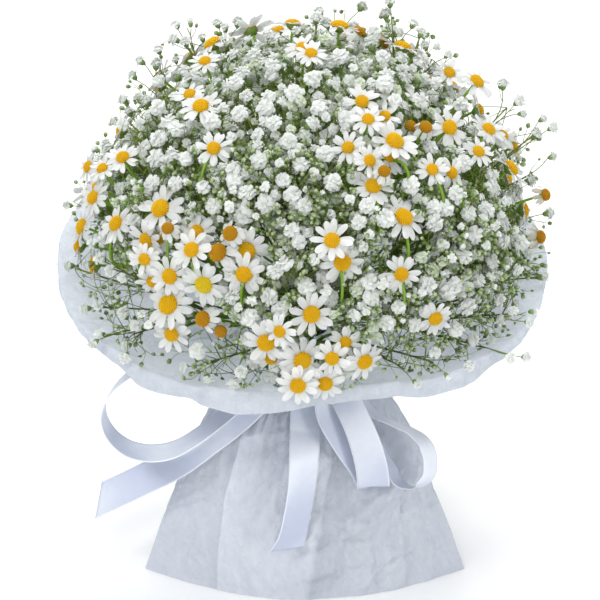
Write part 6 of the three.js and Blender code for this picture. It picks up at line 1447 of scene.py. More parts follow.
        # fine twigs that run sideways among the flowers, with a bud on a short stalk here and there
        for _ in range(9):
            a = branch[5 + g.integers(4)]
            off = rand_dir(g)
            off = unit(off - n_out * (off @ n_out))
            t = keep_clear(on_shell(p + off * (14 + 22 * g.random()), 12 * g.random()), 4)
            if g.random() > room(t, 0.8) or not in_mass(t, 0.5):
                continue
            reach = np.linalg.norm(t - a)
            ctrl = lerp(a, t, 0.5) + n_out * (2 + 4 * g.random()) + rand_dir(g) * reach * 0.08
            d = unit(t - ctrl)
            sp.twig(a, ctrl, t, 0.3, 0.21, "gyp_stem", 7, 3, 0.2, 1.0)
            bud_sprig(sp, t, t + d, t + d * 2, unit(d + 0.3 * n_out), 0.24, 2 + g.integers(2), 4.0 + 3 * g.random(), 0.15, strict=False)
            for q in (0.45, 0.62, 0.8):
                if g.random() < 0.6:
                    nd = (1 - q) ** 2 * a + 2 * q * (1 - q) * ctrl + q * q * t
                    dd = unit(d * 0.5 + n_out * 0.5 + 0.8 * rand_dir(g))
                    e = keep_clear(nd + dd * (3 + 5 * g.random()), 3.5)
                    if hides(e, 1.4) or g.random() > room(e, 0.75):
                        continue
                    s1 = 0.9 + 0.7 * g.random()
                    sp.twig(nd, lerp(nd, e, 0.5) + d, e, 0.24, 0.2, "gyp_stem", 4, 3, 0.4, 1.0)
                    sp.put(("bud", g.integers(6)), e + dd * s1 * 0.9, dd, s1)
    # twigs, buds and leaves inside the head, which give it its green depth
    cents = arr([c[1:4] for _, c in rows]) if rows else arr([main[-1]])
    for _ in range(70):
        s = 0.35 + 0.65 * g.random()
        a = along_line(up, s)
        k = g.integers(len(cents))
        if g.random() < 0.6 and rows:
            c = rows[k][1]
            foot, mid = along_line(up, c[5]), arr(c[6:9])
            a = lerp(foot, mid, g.random()) if g.random() < 0.6 else lerp(mid, arr(c[1:4]), 0.5 * g.random())
        t = on_shell(cents[k] + 26 * g.standard_normal(3), 6 + 32 * g.random())
        t = keep_clear(t, 6)
        reach = np.linalg.norm(t - a)
        if reach < 8 or reach > 75 or g.random() > room(t) or not in_mass(t, 0.3):
            continue
        d = unit(t - a)
        ctrl = a + d * reach * 0.5 + rand_dir(g) * reach * 0.12
        bud_sprig(sp, a, ctrl, t, d, 0.42, 3 + g.integers(4), 6 + 5 * g.random(), 0.34, 1.5, False)
        for q in (0.35, 0.7):
            if g.random() < 0.3:
                node = lerp(a, t, q)
                side = spin(d, g.random() * 6.283, across(d))
                sp.blade(node, unit(d * 0.6 + side), d, 7 + 9 * g.random(), ("gleaf", g.integers(3)))
                sp.blade(node, unit(d * 0.6 - side), d, 7 + 9 * g.random(), ("gleaf", g.integers(3)))
    for q in np.arange(0.25, 1.0, 0.16):
        node, d = along_line(up, q), unit(up[-1] - up[0])
        if node[2] < 172:
            continue
        side = spin(d, g.random() * 6.283, across(d))
        for sign in (-1, 1):
            sp.blade(node, unit(d * 0.8 + side * sign), d, 14 + 12 * g.random(), ("gleaf", g.integers(3)))
    sp.flush(lookup)
    sp.flush_leaves(lookup)
    return sp.geo


def petals(g, count, r, rd, kind, p, frame_):
    """The ray petals of one head, each a grooved blade with a round tip that bends along its length."""
    tt = np.array([0, 0.2, 0.4, 0.58, 0.74, 0.87, 0.955, 1.0])
    m, n = len(tt), 5
    t = tt[None, :, None]
    s = np.linspace(-1, 1, n)[None, None]
    az = (np.arange(count) + 0.22 * g.standard_normal(count)) * 2 * math.pi / count + g.random() * 6.283
    old = kind == 1
    L = (r - 0.72 * rd) * (1.08 + 0.18 * g.random(count)) * (0.84 if old else 1.0)
    W = 0.5 * r * (0.315 + 0.05 * g.random(count)) * (0.82 if old else 1.0) * (12.5 / count) ** 0.4
    tilt = (-0.35 - 0.5 * g.random(count)) if old else (0.0 + 0.26 * g.random(count))
    curl = (-0.9 * g.random(count) - 0.2) if old else (-0.30 + 0.28 * g.standard_normal(count))
    layer = np.where(np.arange(count) % 2, 0.32, -0.12)
    L, W, tilt, curl, layer = (x[:, None, None] for x in (L, W, tilt, curl, layer))
    dt = np.diff(tt, prepend=0)[None, :, None]
    th = tilt + curl * t
    x = 0.72 * rd + np.cumsum(np.cos(th) * dt * L, axis=1)
    z = 0.35 + layer + np.cumsum(np.sin(th) * dt * L, axis=1)
    w = np.where(t < 0.55, 0.52 + 0.48 * np.sin(np.pi / 2 * t / 0.55), (1 - (np.clip(t - 0.55, 0, 1) / 0.455) ** 2.5) ** (1 / 2.3))
    pull = -0.035 * s**2 * L * smooth(0.7, 1.0, t)
    groove = 0.12 * np.cos(2 * np.pi * 1.0 * s) * np.sin(np.pi * np.clip(t * 0.95, 0, 1)) - 0.20 * W * s**2 * (0.4 + t)
    twist = 0.17 * g.standard_normal(count)[:, None, None] * s * W * t
    px = x + pull * np.cos(th) - np.sin(th) * (groove + twist)
    pz = z + pull * np.sin(th) + np.cos(th) * (groove + twist)
    py = s * w * W + 0.05 * L * g.standard_normal(count)[:, None, None] * t**2
    ca, sa = np.cos(az)[:, None, None], np.sin(az)[:, None, None]
    v = np.stack([px * ca - py * sa, px * sa + py * ca, pz + 0 * py], -1)
    v = v @ frame_.T + p
    return v.reshape(-1, m * n, 3), np.broadcast_to(t, (count, m, n)).reshape(count, -1), np.broadcast_to((s + 1) / 2, (count, m, n)).reshape(count, -1), quads(m, n)


def daisy(i):
    """One stem of daisies: its branches, and a head of petals round a raised disc at the end of each."""
    sp = Spray(7000 + i)
    g = sp.g
    geo = sp.geo
    main = main_points(i)
    line = catmull(main, 40)
    line[:9] = main[0] + (main[1] - main[0]) * (np.arange(9)[:, None] / 8)
    rad = np.interp(np.arange(41) / 8, [0, 1, 2, 5], [1.45, 1.3, 1.3, 1.1])
    geo.tubes(line[None], rad[None], 8, "stem", [g.random()], 0.0, 0.85)
    cap = Template([(1.4 * math.cos(q), 1.4 * math.sin(q), 0) for q in np.arange(8) * math.pi / 4], "cut", 0.5, 0.5, (), [[0, j + 1, j] for j in range(1, 7)])
    geo.stamp(cap, [main[0] + [0, 0, 0.02]], frames_of([[0, 0, 1]], [0]), [0.5])
    up = main[1:]
    for d in DAISIES:
        if d[0] != i:
            continue
        p, n, r, rd, kind = arr(d[1:4]), unit(d[4:7]), d[7], d[8] * 0.95, d[9]
        foot, mid = along_line(up, d[10]), arr(d[11:14])
        base = p - 3.2 * n
        c1 = lerp(mid, base - n * 9, 0.5)
        path = [foot, mid, lerp(c1, base - n * 7, 0.6), base]
        out = outward_at(p)
        if p[2] > 250 and 0.05 < float(n @ TO_CAM) < 0.94 and float(out @ TO_CAM) > 0.05:
            # a head that looks up or aside shows the top of its stalk, which comes up between the small flowers
            down = unit(out * out[2] - np.array([0, 0, 1.0]))
            a1, a2 = on_shell(base + down * 11, -1.0), on_shell(base + down * 24, 4.0)
            if not any(crosses_head(lerp(a1, a2, x)) for x in (0.0, 0.4, 0.8)):
                path = [foot, mid, a2, a1, base]
        geo.tubes(catmull(path, 12)[None], np.linspace(1.15, 0.85, 13)[None], 6, "stem", [g.random()], 0.45, 1.0)
        F = frames_of([n], [g.random() * 6.283])[0]
        # the green cup under the petals, with its bracts
        rows = [(-3.4, 0.9), (-2.6, 0.42 * rd), (-1.2, 0.78 * rd), (0.35, 0.86 * rd)]
        q = np.arange(14) * 2 * math.pi / 14
        cup = [((rr * (1 + (0.05 if k % 2 else -0.03))) * math.cos(a), (rr * (1 + (0.05 if k % 2 else -0.03))) * math.sin(a), z + (0.25 if k % 2 and j == 3 else 0)) for j, (z, rr) in enumerate(rows) for k, a in enumerate(q)]
        cupt = Template(cup, "calyx", np.tile([0.0, 1.0], 28), np.repeat([0, 0.4, 0.7, 1.0], 14), quads(4, 14, True))
        geo.stamp(cupt, [p], [F], [g.random()])
        # petals
        count = int(11 + g.integers(4)) if kind != 1 else int(8 + g.integers(5))
        v, h, c, f = petals(g, count, r, rd, kind, p, F)
        pk = KINDS["petal_old"] if kind == 1 and g.random() < 0.5 else KINDS["petal"]
        w = g.random(count)[:, None]
        uv = np.stack([(pk + 0.08 + 0.7 * w + 0.14 * c) / 16, 0.02 + 0.96 * h], -1)
        off = (np.arange(count) * v.shape[1])[:, None, None]
        geo.add(v, uv, (f[None] + off).reshape(-1, 4))
        # disc: a dome, and its florets in spirals
        top = {0: 3.6, 1: 4.4, 2: 3.0}[kind] * rd / 5.2
        dk = {0: "disc", 1: "disc_old", 2: "disc_pale"}[kind]
        k_ = np.linspace(0, 1, 6)
        q = np.arange(14) * 2 * math.pi / 14
        flat = 0.10 if kind == 2 else 0.0
        dome = [(rd * math.sin(x * math.pi / 2) * math.cos(a) * 0.97, rd * math.sin(x * math.pi / 2) * math.sin(a) * 0.97, 0.3 + top * math.cos(x * math.pi / 2) ** (0.9 + flat)) for x in k_[1:] for a in q] + [(0, 0, 0.3 + top)]
        dt = Template(dome, dk, 0.5, 0.12, quads(5, 14, True), [[70, (j + 1) % 14, j] for j in range(14)])
        dt.k[:] = KINDS[dk]
        geo.stamp(dt, [p], [F], [0.5])
        nf = int(round(112 * (rd / 5.2) ** 1.4))
        j = np.arange(nf) + 0.5
        rr = np.sqrt(j / nf) * 0.99
        a = j * 2.39996
        x = np.arcsin(rr)
        pos = np.stack([rd * rr * np.cos(a), rd * rr * np.sin(a), 0.3 + top * np.cos(x)], -1)
        nor = unit(np.stack([rr * np.cos(a) * top, rr * np.sin(a) * top, np.cos(x) * rd + 0.15 * rd], -1))
        size = (rd / 5.2) * (0.78 + 0.20 * rr) * (0.88 + 0.24 * g.random(nf))
        ft = FLORET
        ft.k[:] = KINDS[dk]
        closed = np.clip(0.5 + 0.5 * g.standard_normal(nf) * 0.5 - (0.25 * (1 - rr) if kind == 0 else 0), 0, 1)
        fr = frames_of(nor @ F.T, g.random(nf) * 6.283, size)
        geo.stamp(ft, pos @ F.T + p, fr, closed)
    # leaves: narrow lobed blades at the nodes
    for q in list(np.arange(0.35, 1.0, 0.24)):
        node, d = along_line(up, q), unit(up[-1] - up[0])
        if node[2] < 178:
            continue
        side = spin(d, g.random() * 6.283, across(d))
        L = 14 + 12 * g.random()
        ax = unit(d * 0.9 + side)
        sp.blade(node, ax, d, L, ("dleaf", g.integers(3)))
        for k in range(3):
            for sign in (-1, 1):
                sd = np.cross(ax, d)
                sp.blade(node + ax * L * (0.3 + 0.2 * k), unit(ax + sign * unit(sd) * 0.9), d, L * (0.4 - 0.07 * k), ("dleaf", g.integers(3)))
    sp.flush_leaves(lookup)
    return geo


# ---------------------------------------------------------------- tissue
def crumple(x, y, seed, scale=1.0):
    """Creased paper: warped folds in several directions, each a row of flat facets. x, y in mm; about -1 to 1."""
    g = np.random.default_rng(seed)
    out = 0 * arr(x)
    wx = x + 9 * noise2(x / 31, y / 31, seed + 1)
    wy = y + 9 * noise2(x / 31 + 7, y / 31 + 3, seed + 2)
    for k in range(5):
        a = g.random() * math.pi
        length = (17 + 15 * g.random()) * scale
        d = (wx * math.cos(a) + wy * math.sin(a)) / length + g.random() * 5
        gate = smooth(-0.25, 0.55, noise2(x / 26 + 11 * k, y / 26 - 5 * k, seed + 10 + k))
        out = out + gate * tri(d) * (0.55 if k < 3 else 0.35)
    return out


def pressed(x, y, seed, count, box, lean, spread, width=(2.2, 6.5), slope=(0.16, 0.42)):
    """Sharp creases, each a ridge or a groove of its own length: count of them within box, most of them near the
    direction lean in degrees. x, y and the result in mm."""
    g = np.random.default_rng(seed)
    x0, y0, x1, y1 = box
    wx = x + 2.6 * noise2(x / 13, y / 13, seed + 1) + 5 * noise2(x / 38, y / 38, seed + 3)
    wy = y + 2.6 * noise2(x / 13 + 5, y / 13 + 9, seed + 2) + 5 * noise2(x / 38 + 4, y / 38 + 2, seed + 4)
    out = 0 * wx
    for _ in range(count):
        cx, cy = x0 + (x1 - x0) * g.random(), y0 + (y1 - y0) * g.random()
        a = math.radians(lean + spread * g.standard_normal())
        w = width[0] + (width[1] - width[0]) * g.random() ** 1.5
        m = (slope[0] + (slope[1] - slope[0]) * g.random()) * (1 if g.random() < 0.55 else -1)
        length = 7 + 26 * g.random() ** 1.6
        along_, d = (wx - cx) * math.cos(a) + (wy - cy) * math.sin(a), (wy - cy) * math.cos(a) - (wx - cx) * math.sin(a)
        side = np.where(d > 0, 1.0, 0.45 + 0.5 * g.random())
        out = out + m * w * np.exp(-np.abs(d) / (w * side)) * np.exp(-(np.abs(along_) / length) ** 3)
    return out


def collar():
    """The round sheet: gathered round the stems, spread under the head, its front edge rolled out and down."""
    na = 540
    deg = -180 + 360 * np.arange(na) / na
    q = np.radians(deg)
    r_out, r_crest = rim_at(deg)
    r_out = r_out + 0.3 * noise2(deg / 5.5, 0 * deg, 61) + 0.5 * noise2(deg / 14, 0 * deg, 62)
    front = np.clip((r_out - r_crest - 1.6) / 8, 0, 1)
    rise = front_rise(deg)
    r_out = r_out - 3.8 * rise
    keys = []
    neck = lambda z, r: np.stack([WAIST[0] + r * np.cos(q), WAIST[1] + r * np.sin(q), z + 0 * q], -1)

    def tilted(rho, h):
        return HC + rho[:, None] * (np.cos(q)[:, None] * AX_U + np.sin(q)[:, None] * AX_W) + np.broadcast_to(h, q.shape)[:, None] * AX_N

    keys.append(neck(138.8, 14.8 + 0 * q))
    keys.append(neck(149.0, 14.8 + 0 * q))
    keys.append(neck(157.5, 14.8 + 0 * q))
    keys.append(tilted(20 + 0 * q, -41.3))
    keys.append(tilted(38.5 + 0 * q, -33.3))
    keys.append(tilted(66.5 + 0 * q, -23.4))
    keys.append(tilted(104.5 * r_crest / 150, -12.0 + 0.6 * rise))
    keys.append(tilted(127 * r_crest / 150, -5.9 + 2.4 * rise))
    keys.append(tilted(r_crest - 4.5, -1.0 + 4.3 * rise))
    keys.append(tilted(r_crest + 0.6, 1.0 + 4.6 * rise))
    keys.append(tilted(lerp(r_crest, r_out, 0.52) + 0.2, 0.9 - 2.2 * front + 4.6 * rise))
    keys.append(tilted(r_out, 0.3 - 7.6 * front + 4.6 * rise))
    keys = np.array(keys)                      # key x angle x 3
    rows = catmull(keys.reshape(len(keys), -1), 92).reshape(93, na, 3)
    # distance along the sheet from its neck
    step = np.linalg.norm(np.diff(rows, axis=0), axis=-1)
    ell = np.vstack([np.zeros((1, na)), np.cumsum(step, axis=0)])
    tang = unit(np.gradient(rows, axis=0))
    hoop = unit(np.roll(rows, -1, axis=1) - np.roll(rows, 1, axis=1))
    nor = unit(np.cross(hoop, tang))
    L = ell
    R = np.hypot(rows[..., 0] - WAIST[0], rows[..., 1] - WAIST[1])
    A = deg[None] + 0 * L
    wave = deg[None] / 360 * 27 + 0.8 * noise2(A / 23, L / 60, 71)
    # noise along the angle must close on itself
    def ring_noise(cells, span, seed):
        x = (deg + 180) / 360 * cells
        a = noise2(x[None] + 0 * L, L / span, seed)
        b = noise2(x[None] - cells + 0 * L, L / span, seed)
        t = smooth(0.82, 1.0, (deg + 180) / 360)[None]
        return lerp(a, b, t)
    warp = ring_noise(16, 60, 71)
    wave = (deg[None] + 180) / 360 * 27 + 0.7 * warp
    pleat = tri(wave) * np.interp(L, [0, 20, 26, 60, 110, 150, 200], [0.35, 0.35, 0.9, 1.5, 0.9, 0.35, 0.1])
    wave2 = (deg[None] + 180) / 360 * 11 + 0.9 * ring_noise(9, 90, 73)
    fold = tri(wave2) * np.interp(L, [0, 24, 60, 120, 160, 200], [0, 0.2, 1.1, 1.3, 0.6, 0.2])
    # a broad crumple, laid out on the flat sheet
    x0, y0 = L * np.cos(q)[None], L * np.sin(q)[None]
    crease = crumple(x0, y0, 81, 1.35) * np.interp(L, [0, 26, 50, 150, 200], [0, 0.15, 1.0, 0.9, 0.25])
    fine = crumple(x0 * 1.9, y0 * 1.9, 91) * np.interp(L, [0, 26, 50, 150, 200], [0, 0.1, 0.34, 0.34, 0.22])
    ridges = pressed(x0, y0, 701, 210, (-165, -165, 165, 165), 0, 60) * np.interp(L, [0, 40, 60, 170, 200], [0, 0.2, 1.0, 0.8, 0.2])
    rows = rows + nor * (pleat * 0.8 + fold + crease * 0.75 + fine * 0.8 + 0.75 * ridges)[..., None]
    geo = Geo()
    uv = np.stack([0.5 + x0 / 500, 0.5 + y0 / 500], -1)
    geo.add(rows.reshape(-1, 3), uv.reshape(-1, 2), quads(93, na, True))
    return geo


SKIRT = [
    [0, -4.1, -10, 101.9, 40, 44, 2.1], [35, -4.4, -9, 90.0, 37.5, 41, 1.9], [70, -4.5, -7, 76.8, 34.5, 38, 1.7],
    [100, -4.2, -4, 64.8, 31.5, 34, 1.45], [116, -4.3, 1, 53.5, 29, 29.5, 1.25], [126, -4.4, 6, 40.5, 25, 24, 1.1],
    [131, -4.5, 10, 26.5, 21, 20, 1.0], [135.5, -4.5, 12.5, 16.5, 16.5, 16.5, 1.0], [157.6, -4.5, 12.5, 16.5, 16.5, 16.5, 1.0],
]


SKIRT_FRONT = np.full((160, 100), 99.0)         # how far forward the skirt comes, over x and z


def skirt():
    """The sheet wrapped round the stems: gathered at the tie, flared to its hem, with one end laid over the other in front."""
    rows_ = arr(SKIRT)
    zs = np.concatenate([np.linspace(0, 100, 66), np.linspace(101.5, 136, 34), np.linspace(137, 157.6, 10)])
    cols = [catmull(rows_[:, [0, k]], 200) for k in range(1, 7)]
    cx, cy, a, df, db, e = (np.interp(zs, c[:, 0], c[:, 1]) for c in cols)
    # the sheet starts at the edge that shows left of the middle, goes once round, and ends under its own start
    start = np.interp(zs, [0, 60, 100, 135, 158], [-122.6, -127.6, -126.4, -124, -124])[:, None]
    na, turn = 604, 540
    run = 402.0 * np.arange(na)[None] / (na - 1) + 0 * zs[:, None]
    deg = start + run
    D = (deg + 180) % 360 - 180
    c, s = np.cos(np.radians(deg)), np.sin(np.radians(deg))
    depth = np.where(s < 0, df[:, None], db[:, None])
    x = cx[:, None] + a[:, None] * c
    y = cy[:, None] + np.sign(s) * depth * np.abs(s) ** e[:, None]
    z = zs[:, None] + 0 * c
    p = np.stack([x, y, z], -1)
    tan_a = unit(np.gradient(p, axis=1) + 1e-9)
    tan_z = unit(np.gradient(p, axis=0))
    nor = unit(np.cross(tan_a, tan_z))
    fall = np.interp(zs, [0, 6, 18, 60, 110, 128, 137, 158], [0.42, 0.66, 1.0, 1.0, 0.8, 0.5, 0.0, 0.0])[:, None]
    flat_x = np.cumsum(np.linalg.norm(np.diff(p, axis=1, prepend=p[:, :1]), axis=-1), axis=1)
    # long folds that run from the tie to the hem
    folds = 0 * x
    # (angle at the hem, angle at the tie, height of the fold, width to its left, width to its right)
    for a0, a1, amp, wl, wr in [
        (-89.5, -72.5, 4.4, 17, 2.4), (-80.0, -65, -1.8, 5, 8), (-51.5, -40, 3.4, 10, 2.4), (-66, -58, 1.2, 3, 6), (-70, -72, 0.9, 5, 7), (-38, -30, 1.3, 9, 5), (-24, -20, 0.9, 4, 8),
        (-140, -138, 0.9, 7, 9), (-157, -146, 0.8, 6, 6), (20, 24, 1.0, 12, 12), (62, 58, 2.0, 16, 12), (104, 98, 2.0, 10, 22), (140, 136, 1.5, 18, 8), (168, 160, 0.8, 8, 8),
    ]:
        centre = lerp(a0, a1, np.clip(zs / 125, 0, 1))[:, None] + 1.2 * noise2(zs / 24, 0 * zs + a0, 31)[:, None]
        d = D - centre
        d = (d + 180) % 360 - 180
        k = np.where(d < 0, np.exp(-(np.abs(d) / wl) ** 1.3), np.exp(-(np.abs(d) / wr) ** 1.1))
        folds = folds + amp * k
    gather_ph = D / 360 * 41 + 0.8 * noise2(np.cos(np.radians(D)) * 4, np.sin(np.radians(D)) * 4 + zs[:, None] / 40, 33)
    gather = tri(gather_ph) * np.interp(zs, [0, 50, 95, 118, 130, 137, 158], [0.0, 0.15, 0.7, 1.3, 1.0, 0.3, 0.3])[:, None]

    def creased(u):
        out = crumple(u, z, 37, 1.15) * 1.0 + crumple(u * 1.9, z * 1.9, 39) * 0.5
        more = 0.8 + 0.5 * smooth(-72, -50, D) * (1 - smooth(-24, -5, D))
        # fine creasing by the tie, like a skin that was pressed together
        skin = crumple(u * 3.6, z * 2.4, 43) * 0.8 * smooth(60, 100, z) * (1 - smooth(-84, -70, D)) * smooth(-114, -104, D)
        ridges = pressed(u, z, 811, 190, (0, 0, 470, 140), 82, 34, (1.6, 5.0), (0.3, 0.8)) + pressed(u, z, 823, 60, (50, 10, 128, 96), 60, 60, (1.8, 5.0), (0.5, 1.0))
        sides = 0.3 + 0.7 * np.abs(s) ** 0.8
        return (out * more * 0.8 + ridges) * sides + skin

    # the end that lies under the start has the start's own creases
    under = np.concatenate([np.zeros_like(flat_x[:, :turn]), flat_x[:, :na - turn]], axis=1)
    crease = lerp(creased(flat_x), creased(under), smooth(348, 361, run))
    lift = 1.1 * (1 - smooth(0, 75, run))
    curl = 0.9 * (1 - smooth(0, 9, run)) * (1.0 + 0.5 * noise2(zs[:, None] / 18, run / 40, 45))
    off = folds * fall + gather * 0.8 + crease * fall + (lift + curl) * np.clip(fall + 0.12, 0, 1)
    p = p + nor * off[..., None]
    p[..., 2] = np.where(zs[:, None] < 0.5, 0.0, np.maximum(p[..., 2], 0.05 + 0 * c))
    flat = p.reshape(-1, 3)
    i, j = np.clip(((flat[:, 0] + 120) / 1.5).astype(int), 0, 159), np.clip((flat[:, 2] / 1.7).astype(int), 0, 99)
    np.minimum.at(SKIRT_FRONT, (i, j), flat[:, 1])
    geo = Geo()
    uv = np.stack([run / 402, z / 160], -1)
    geo.add(p.reshape(-1, 3), uv.reshape(-1, 2), quads(len(zs), na))
    return geo


# ---------------------------------------------------------------- ribbon
RIBBON_W, RIBBON_T = 20.0, 0.36


def before_skirt(v):
    """Rows of a ribbon, each moved forward so that it lies on the skirt and not in it."""
    need = np.zeros(len(v))
    for k, row in enumerate(v):
        i, j = np.clip(((row[:, 0] + 120) / 1.5).astype(int), 1, 158), np.clip((row[:, 2] / 1.7).astype(int), 1, 98)
        face = np.min([SKIRT_FRONT[i + a, j + b] for a in (-1, 0, 1) for b in (-1, 0, 1)], axis=0)
        need[k] = np.max(np.where((face < 90) & (row[:, 2] < 128), row[:, 1] - face + 0.7, 0))
    need = np.clip(need, 0, 9)
    k = np.arange(len(v))
    env = np.max(need[None] * np.exp(-((k[:, None] - k[None]) / 7.0) ** 2), axis=1)
    v[..., 1] -= env[:, None]
    return v


def ribbon(geo, rows, n, pinch_a, pinch_b, seed, cut=0.0, highlight_at=0.0, swell=None):
    """One run of ribbon: a thin closed strip that bends through its points and gathers into the knot at a pinched end."""
    rows = arr(rows)
    c = catmull(rows[:, :3], n)
    w = unit(catmull(rows[:, 3:], n))
    tan = unit(np.gradient(c, axis=0))
    w = unit(w - tan * (w * tan).sum(-1, keepdims=True))
    f = np.cross(tan, w)
    length = np.concatenate([[0], np.cumsum(np.linalg.norm(np.diff(c, axis=0), axis=1))])
    total = length[-1]
    pinch = np.ones(n + 1)
    soft = np.zeros(n + 1)
    for on, dist in ((pinch_a, length), (pinch_b, total - length)):
        if on:
            pinch = np.minimum(pinch, lerp(0.42, 1.0, smooth(2, 36, dist)))
            soft = np.maximum(soft, 1 - smooth(0, 46, dist))
    m = 15
    s = np.linspace(-1, 1, m)
    tab_s = np.concatenate([s, s[::-1]])
    face = np.concatenate([np.ones(m), -np.ones(m)])
    half = RIBBON_W / 2
    # the edge of the ribbon is a woven selvedge, a little thicker than its middle
    thick = RIBBON_T / 2 * (1 + 0.55 * (np.abs(tab_s) > 0.93))
    lay = []
    for i in range(n + 1):
        ripple = 0.55 * soft[i] * np.cos(3.0 * math.pi * tab_s + seed) + 0.22 * soft[i] * np.cos(5 * math.pi * tab_s + 2 * seed)
        bow_ = -0.35 * tab_s**2 * (0.3 + soft[i]) * (1 if seed % 2 else -1)
        wav = 0.6 * math.sin(length[i] / 17 + seed) * tab_s
        z = (ripple + bow_ + wav) * (1.0 + 0.6 * soft[i])
        along_ = cut * tab_s * (1 - smooth(0, 30, total - length[i])) if cut else 0 * tab_s
        lay.append(c[i] + w[i] * (half * pinch[i] * tab_s)[:, None] + f[i] * (z + face * thick)[:, None] + tan[i] * along_[:, None])
    v = np.array(lay)
    if swell:
        # it swings out from the tie and back towards its end
        v[..., 1] -= swell[0] * (smooth(swell[1], swell[2], v[..., 2].mean(1)) * smooth(swell[4], swell[3], v[..., 2].mean(1)))[:, None]
    v = before_skirt(v)
    # V is shifted so that the satin's painted highlight is brightest at the given place along the run
    uvx = np.broadcast_to((0.5 + 0.47 * tab_s)[None], (n + 1, 2 * m))
    uv = np.stack([uvx * RIBBON_W / 1000, (length[:, None] - highlight_at + 1120 + 0 * uvx) / 1000], -1)
    k = 2 * m
    caps = []
    for row in (0, n):
        for j in range(m - 1):
            a, b = row * k + j, row * k + j + 1
            c2, d2 = row * k + (k - 2 - j), row * k + (k - 1 - j)
            caps.append([a, b, c2, d2] if row else [b, a, d2, c2])
    geo.add(v.reshape(-1, 3), uv.reshape(-1, 2), np.vstack([quads(n + 1, k, True), caps]))
    return total


def knot(geo):
    """The knot: two turns of ribbon drawn tight over one another."""
    c = np.array([-0.5, -15.6, 149.5])
    for turn, (rx, ry, rz, tilt, hw) in enumerate([(9.0, 7.6, 8.0, 0.15, 7.0), (7.4, 8.6, 9.3, -0.5, 5.0)]):
        n, m = 48, 9
        q = np.linspace(0, 2 * math.pi, n, endpoint=False)
        s = np.linspace(-1, 1, m)
        rows = []
        for a in q:
            # a loop round the x axis, its width along x
            mid = np.array([0, ry * math.cos(a), rz * math.sin(a)])
            out = unit(mid)
            crease = 0.45 * np.cos(s * 7 + 2.2 * turn + 0.8 * math.sin(a)) - 1.5 * s**2
            # drawn in at both ends, where the loops leave it
            pts = mid * (1 - 0.66 * np.abs(s) ** 3)[:, None] + np.array([1.0, 0, 0]) * (s * hw)[:, None] + out * crease[:, None]
            inner = pts[::-1] - out * 0.5
            rows.append(np.vstack([pts, inner]))
        v = np.array(rows).reshape(-1, 3)
        ca, sa = math.cos(tilt), math.sin(tilt)
        v = np.stack([v[:, 0] * ca - v[:, 2] * sa, v[:, 1], v[:, 0] * sa + v[:, 2] * ca], -1) + c
        ring = quads(n, 2 * m, True)
        last = (n - 1) * 2 * m
        close = np.array([[last + j, last + (j + 1) % (2 * m), (j + 1) % (2 * m), j] for j in range(2 * m)])
        u = np.concatenate([0.5 + 0.47 * s, 0.5 + 0.47 * s[::-1]]) * 0.02
        uv = np.stack([np.broadcast_to(u[None], (n, 2 * m)), np.broadcast_to((q * 8 / 1000)[:, None], (n, 2 * m))], -1)
        geo.add(v, uv.reshape(-1, 2), np.vstack([ring, close]))


def bow():
    geo = Geo()
    total = 0
    total += ribbon(geo, LOOP_LEFT, 150, True, True, 1, highlight_at=199)
    total += ribbon(geo, LOOP_FLAT, 110, True, True, 2, highlight_at=130)
    total += ribbon(geo, LOOP_RING, 120, True, True, 3, highlight_at=97)
    total += ribbon(geo, TAIL_LEFT, 84, True, False, 4, cut=6.6, highlight_at=71)
    total += ribbon(geo, TAIL_FRONT, 70, True, False, 5, cut=-4.1, highlight_at=54, swell=(5.0, 122, 86, 78, 12))
    knot(geo)
    return geo, total


def band():
    """Satin ribbon wound round the tie, two turns that cross at a slant."""
    geo = Geo()
    n, m = 180, 9
    q = np.linspace(0, 2 * math.pi, n, endpoint=False)
    s = np.linspace(-1, 1, m)
    rows = []
    for a in q:
        r = 17.35 + 0.12 * math.cos(9 * a) + 0.1 * math.cos(23 * a + 1)
        r_s = r + 0.25 * np.cos(s * 6 + 1.5 * math.sin(2 * a)) * 0.6 + 0.12
        zc = 146.7 + 0.5 * math.sin(a)
        pts = np.stack([WAIST[0] + r_s * math.cos(a), WAIST[1] + r_s * math.sin(a), zc + s * 9.4], -1)
        inn = np.stack([WAIST[0] + (r_s - 0.36) * math.cos(a), WAIST[1] + (r_s - 0.36) * math.sin(a), zc + s * 9.4], -1)[::-1]
        rows.append(np.vstack([pts, inn]))
    v = np.array(rows)
    k = 2 * m
    last = (n - 1) * k
    close = np.array([[last + j, last + (j + 1) % k, (j + 1) % k, j] for j in range(k)])
    u = np.concatenate([0.5 + 0.47 * s, 0.5 + 0.47 * s[::-1]]) * 0.02
    uv = np.stack([np.broadcast_to(u[None], (n, k)), np.broadcast_to((q * 17.5 / 1000)[:, None], (n, k))], -1)
    geo.add(v.reshape(-1, 3), uv.reshape(-1, 2), np.vstack([quads(n, k, True), close]))
    return geo


def binding():
    """Raffia wound round the stems: flat strands in slightly uneven turns."""
    geo = Geo()
    g = np.random.default_rng(77)
    paths, rads, w = [], [], []
    for k in range(7):
        n = 61
        q = np.linspace(0, 2 * math.pi, n)
        z = 140.4 + k * 1.33 + 0.35 * np.sin(q + g.random() * 6) + 1.33 * q / (2 * math.pi)
        z = np.minimum(z, 149.0)
        r = 12.45 + 0.16 * np.sin(5 * q + k)
        paths.append(np.stack([WAIST[0] + r * np.cos(q), WAIST[1] + r * np.sin(q), z], -1))
        rads.append(np.full(n, 0.62) + 0.06 * np.sin(q * 9 + k))
        w.append(g.random())
    geo.tubes(paths, rads, 6, "raffia", w, 0.0, 1.0)
    return geo


# ---------------------------------------------------------------- materials
def new_material(name):
    mat = bpy.data.materials.new(name)
    mat.use_nodes = True
    nt = mat.node_tree
    return mat, nt, nt.nodes["Principled BSDF"]


def node(nt, kind, **values):
    n = nt.nodes.new(kind)
    for k, v in values.items():
        if hasattr(n, k):
            setattr(n, k, v)
    return n


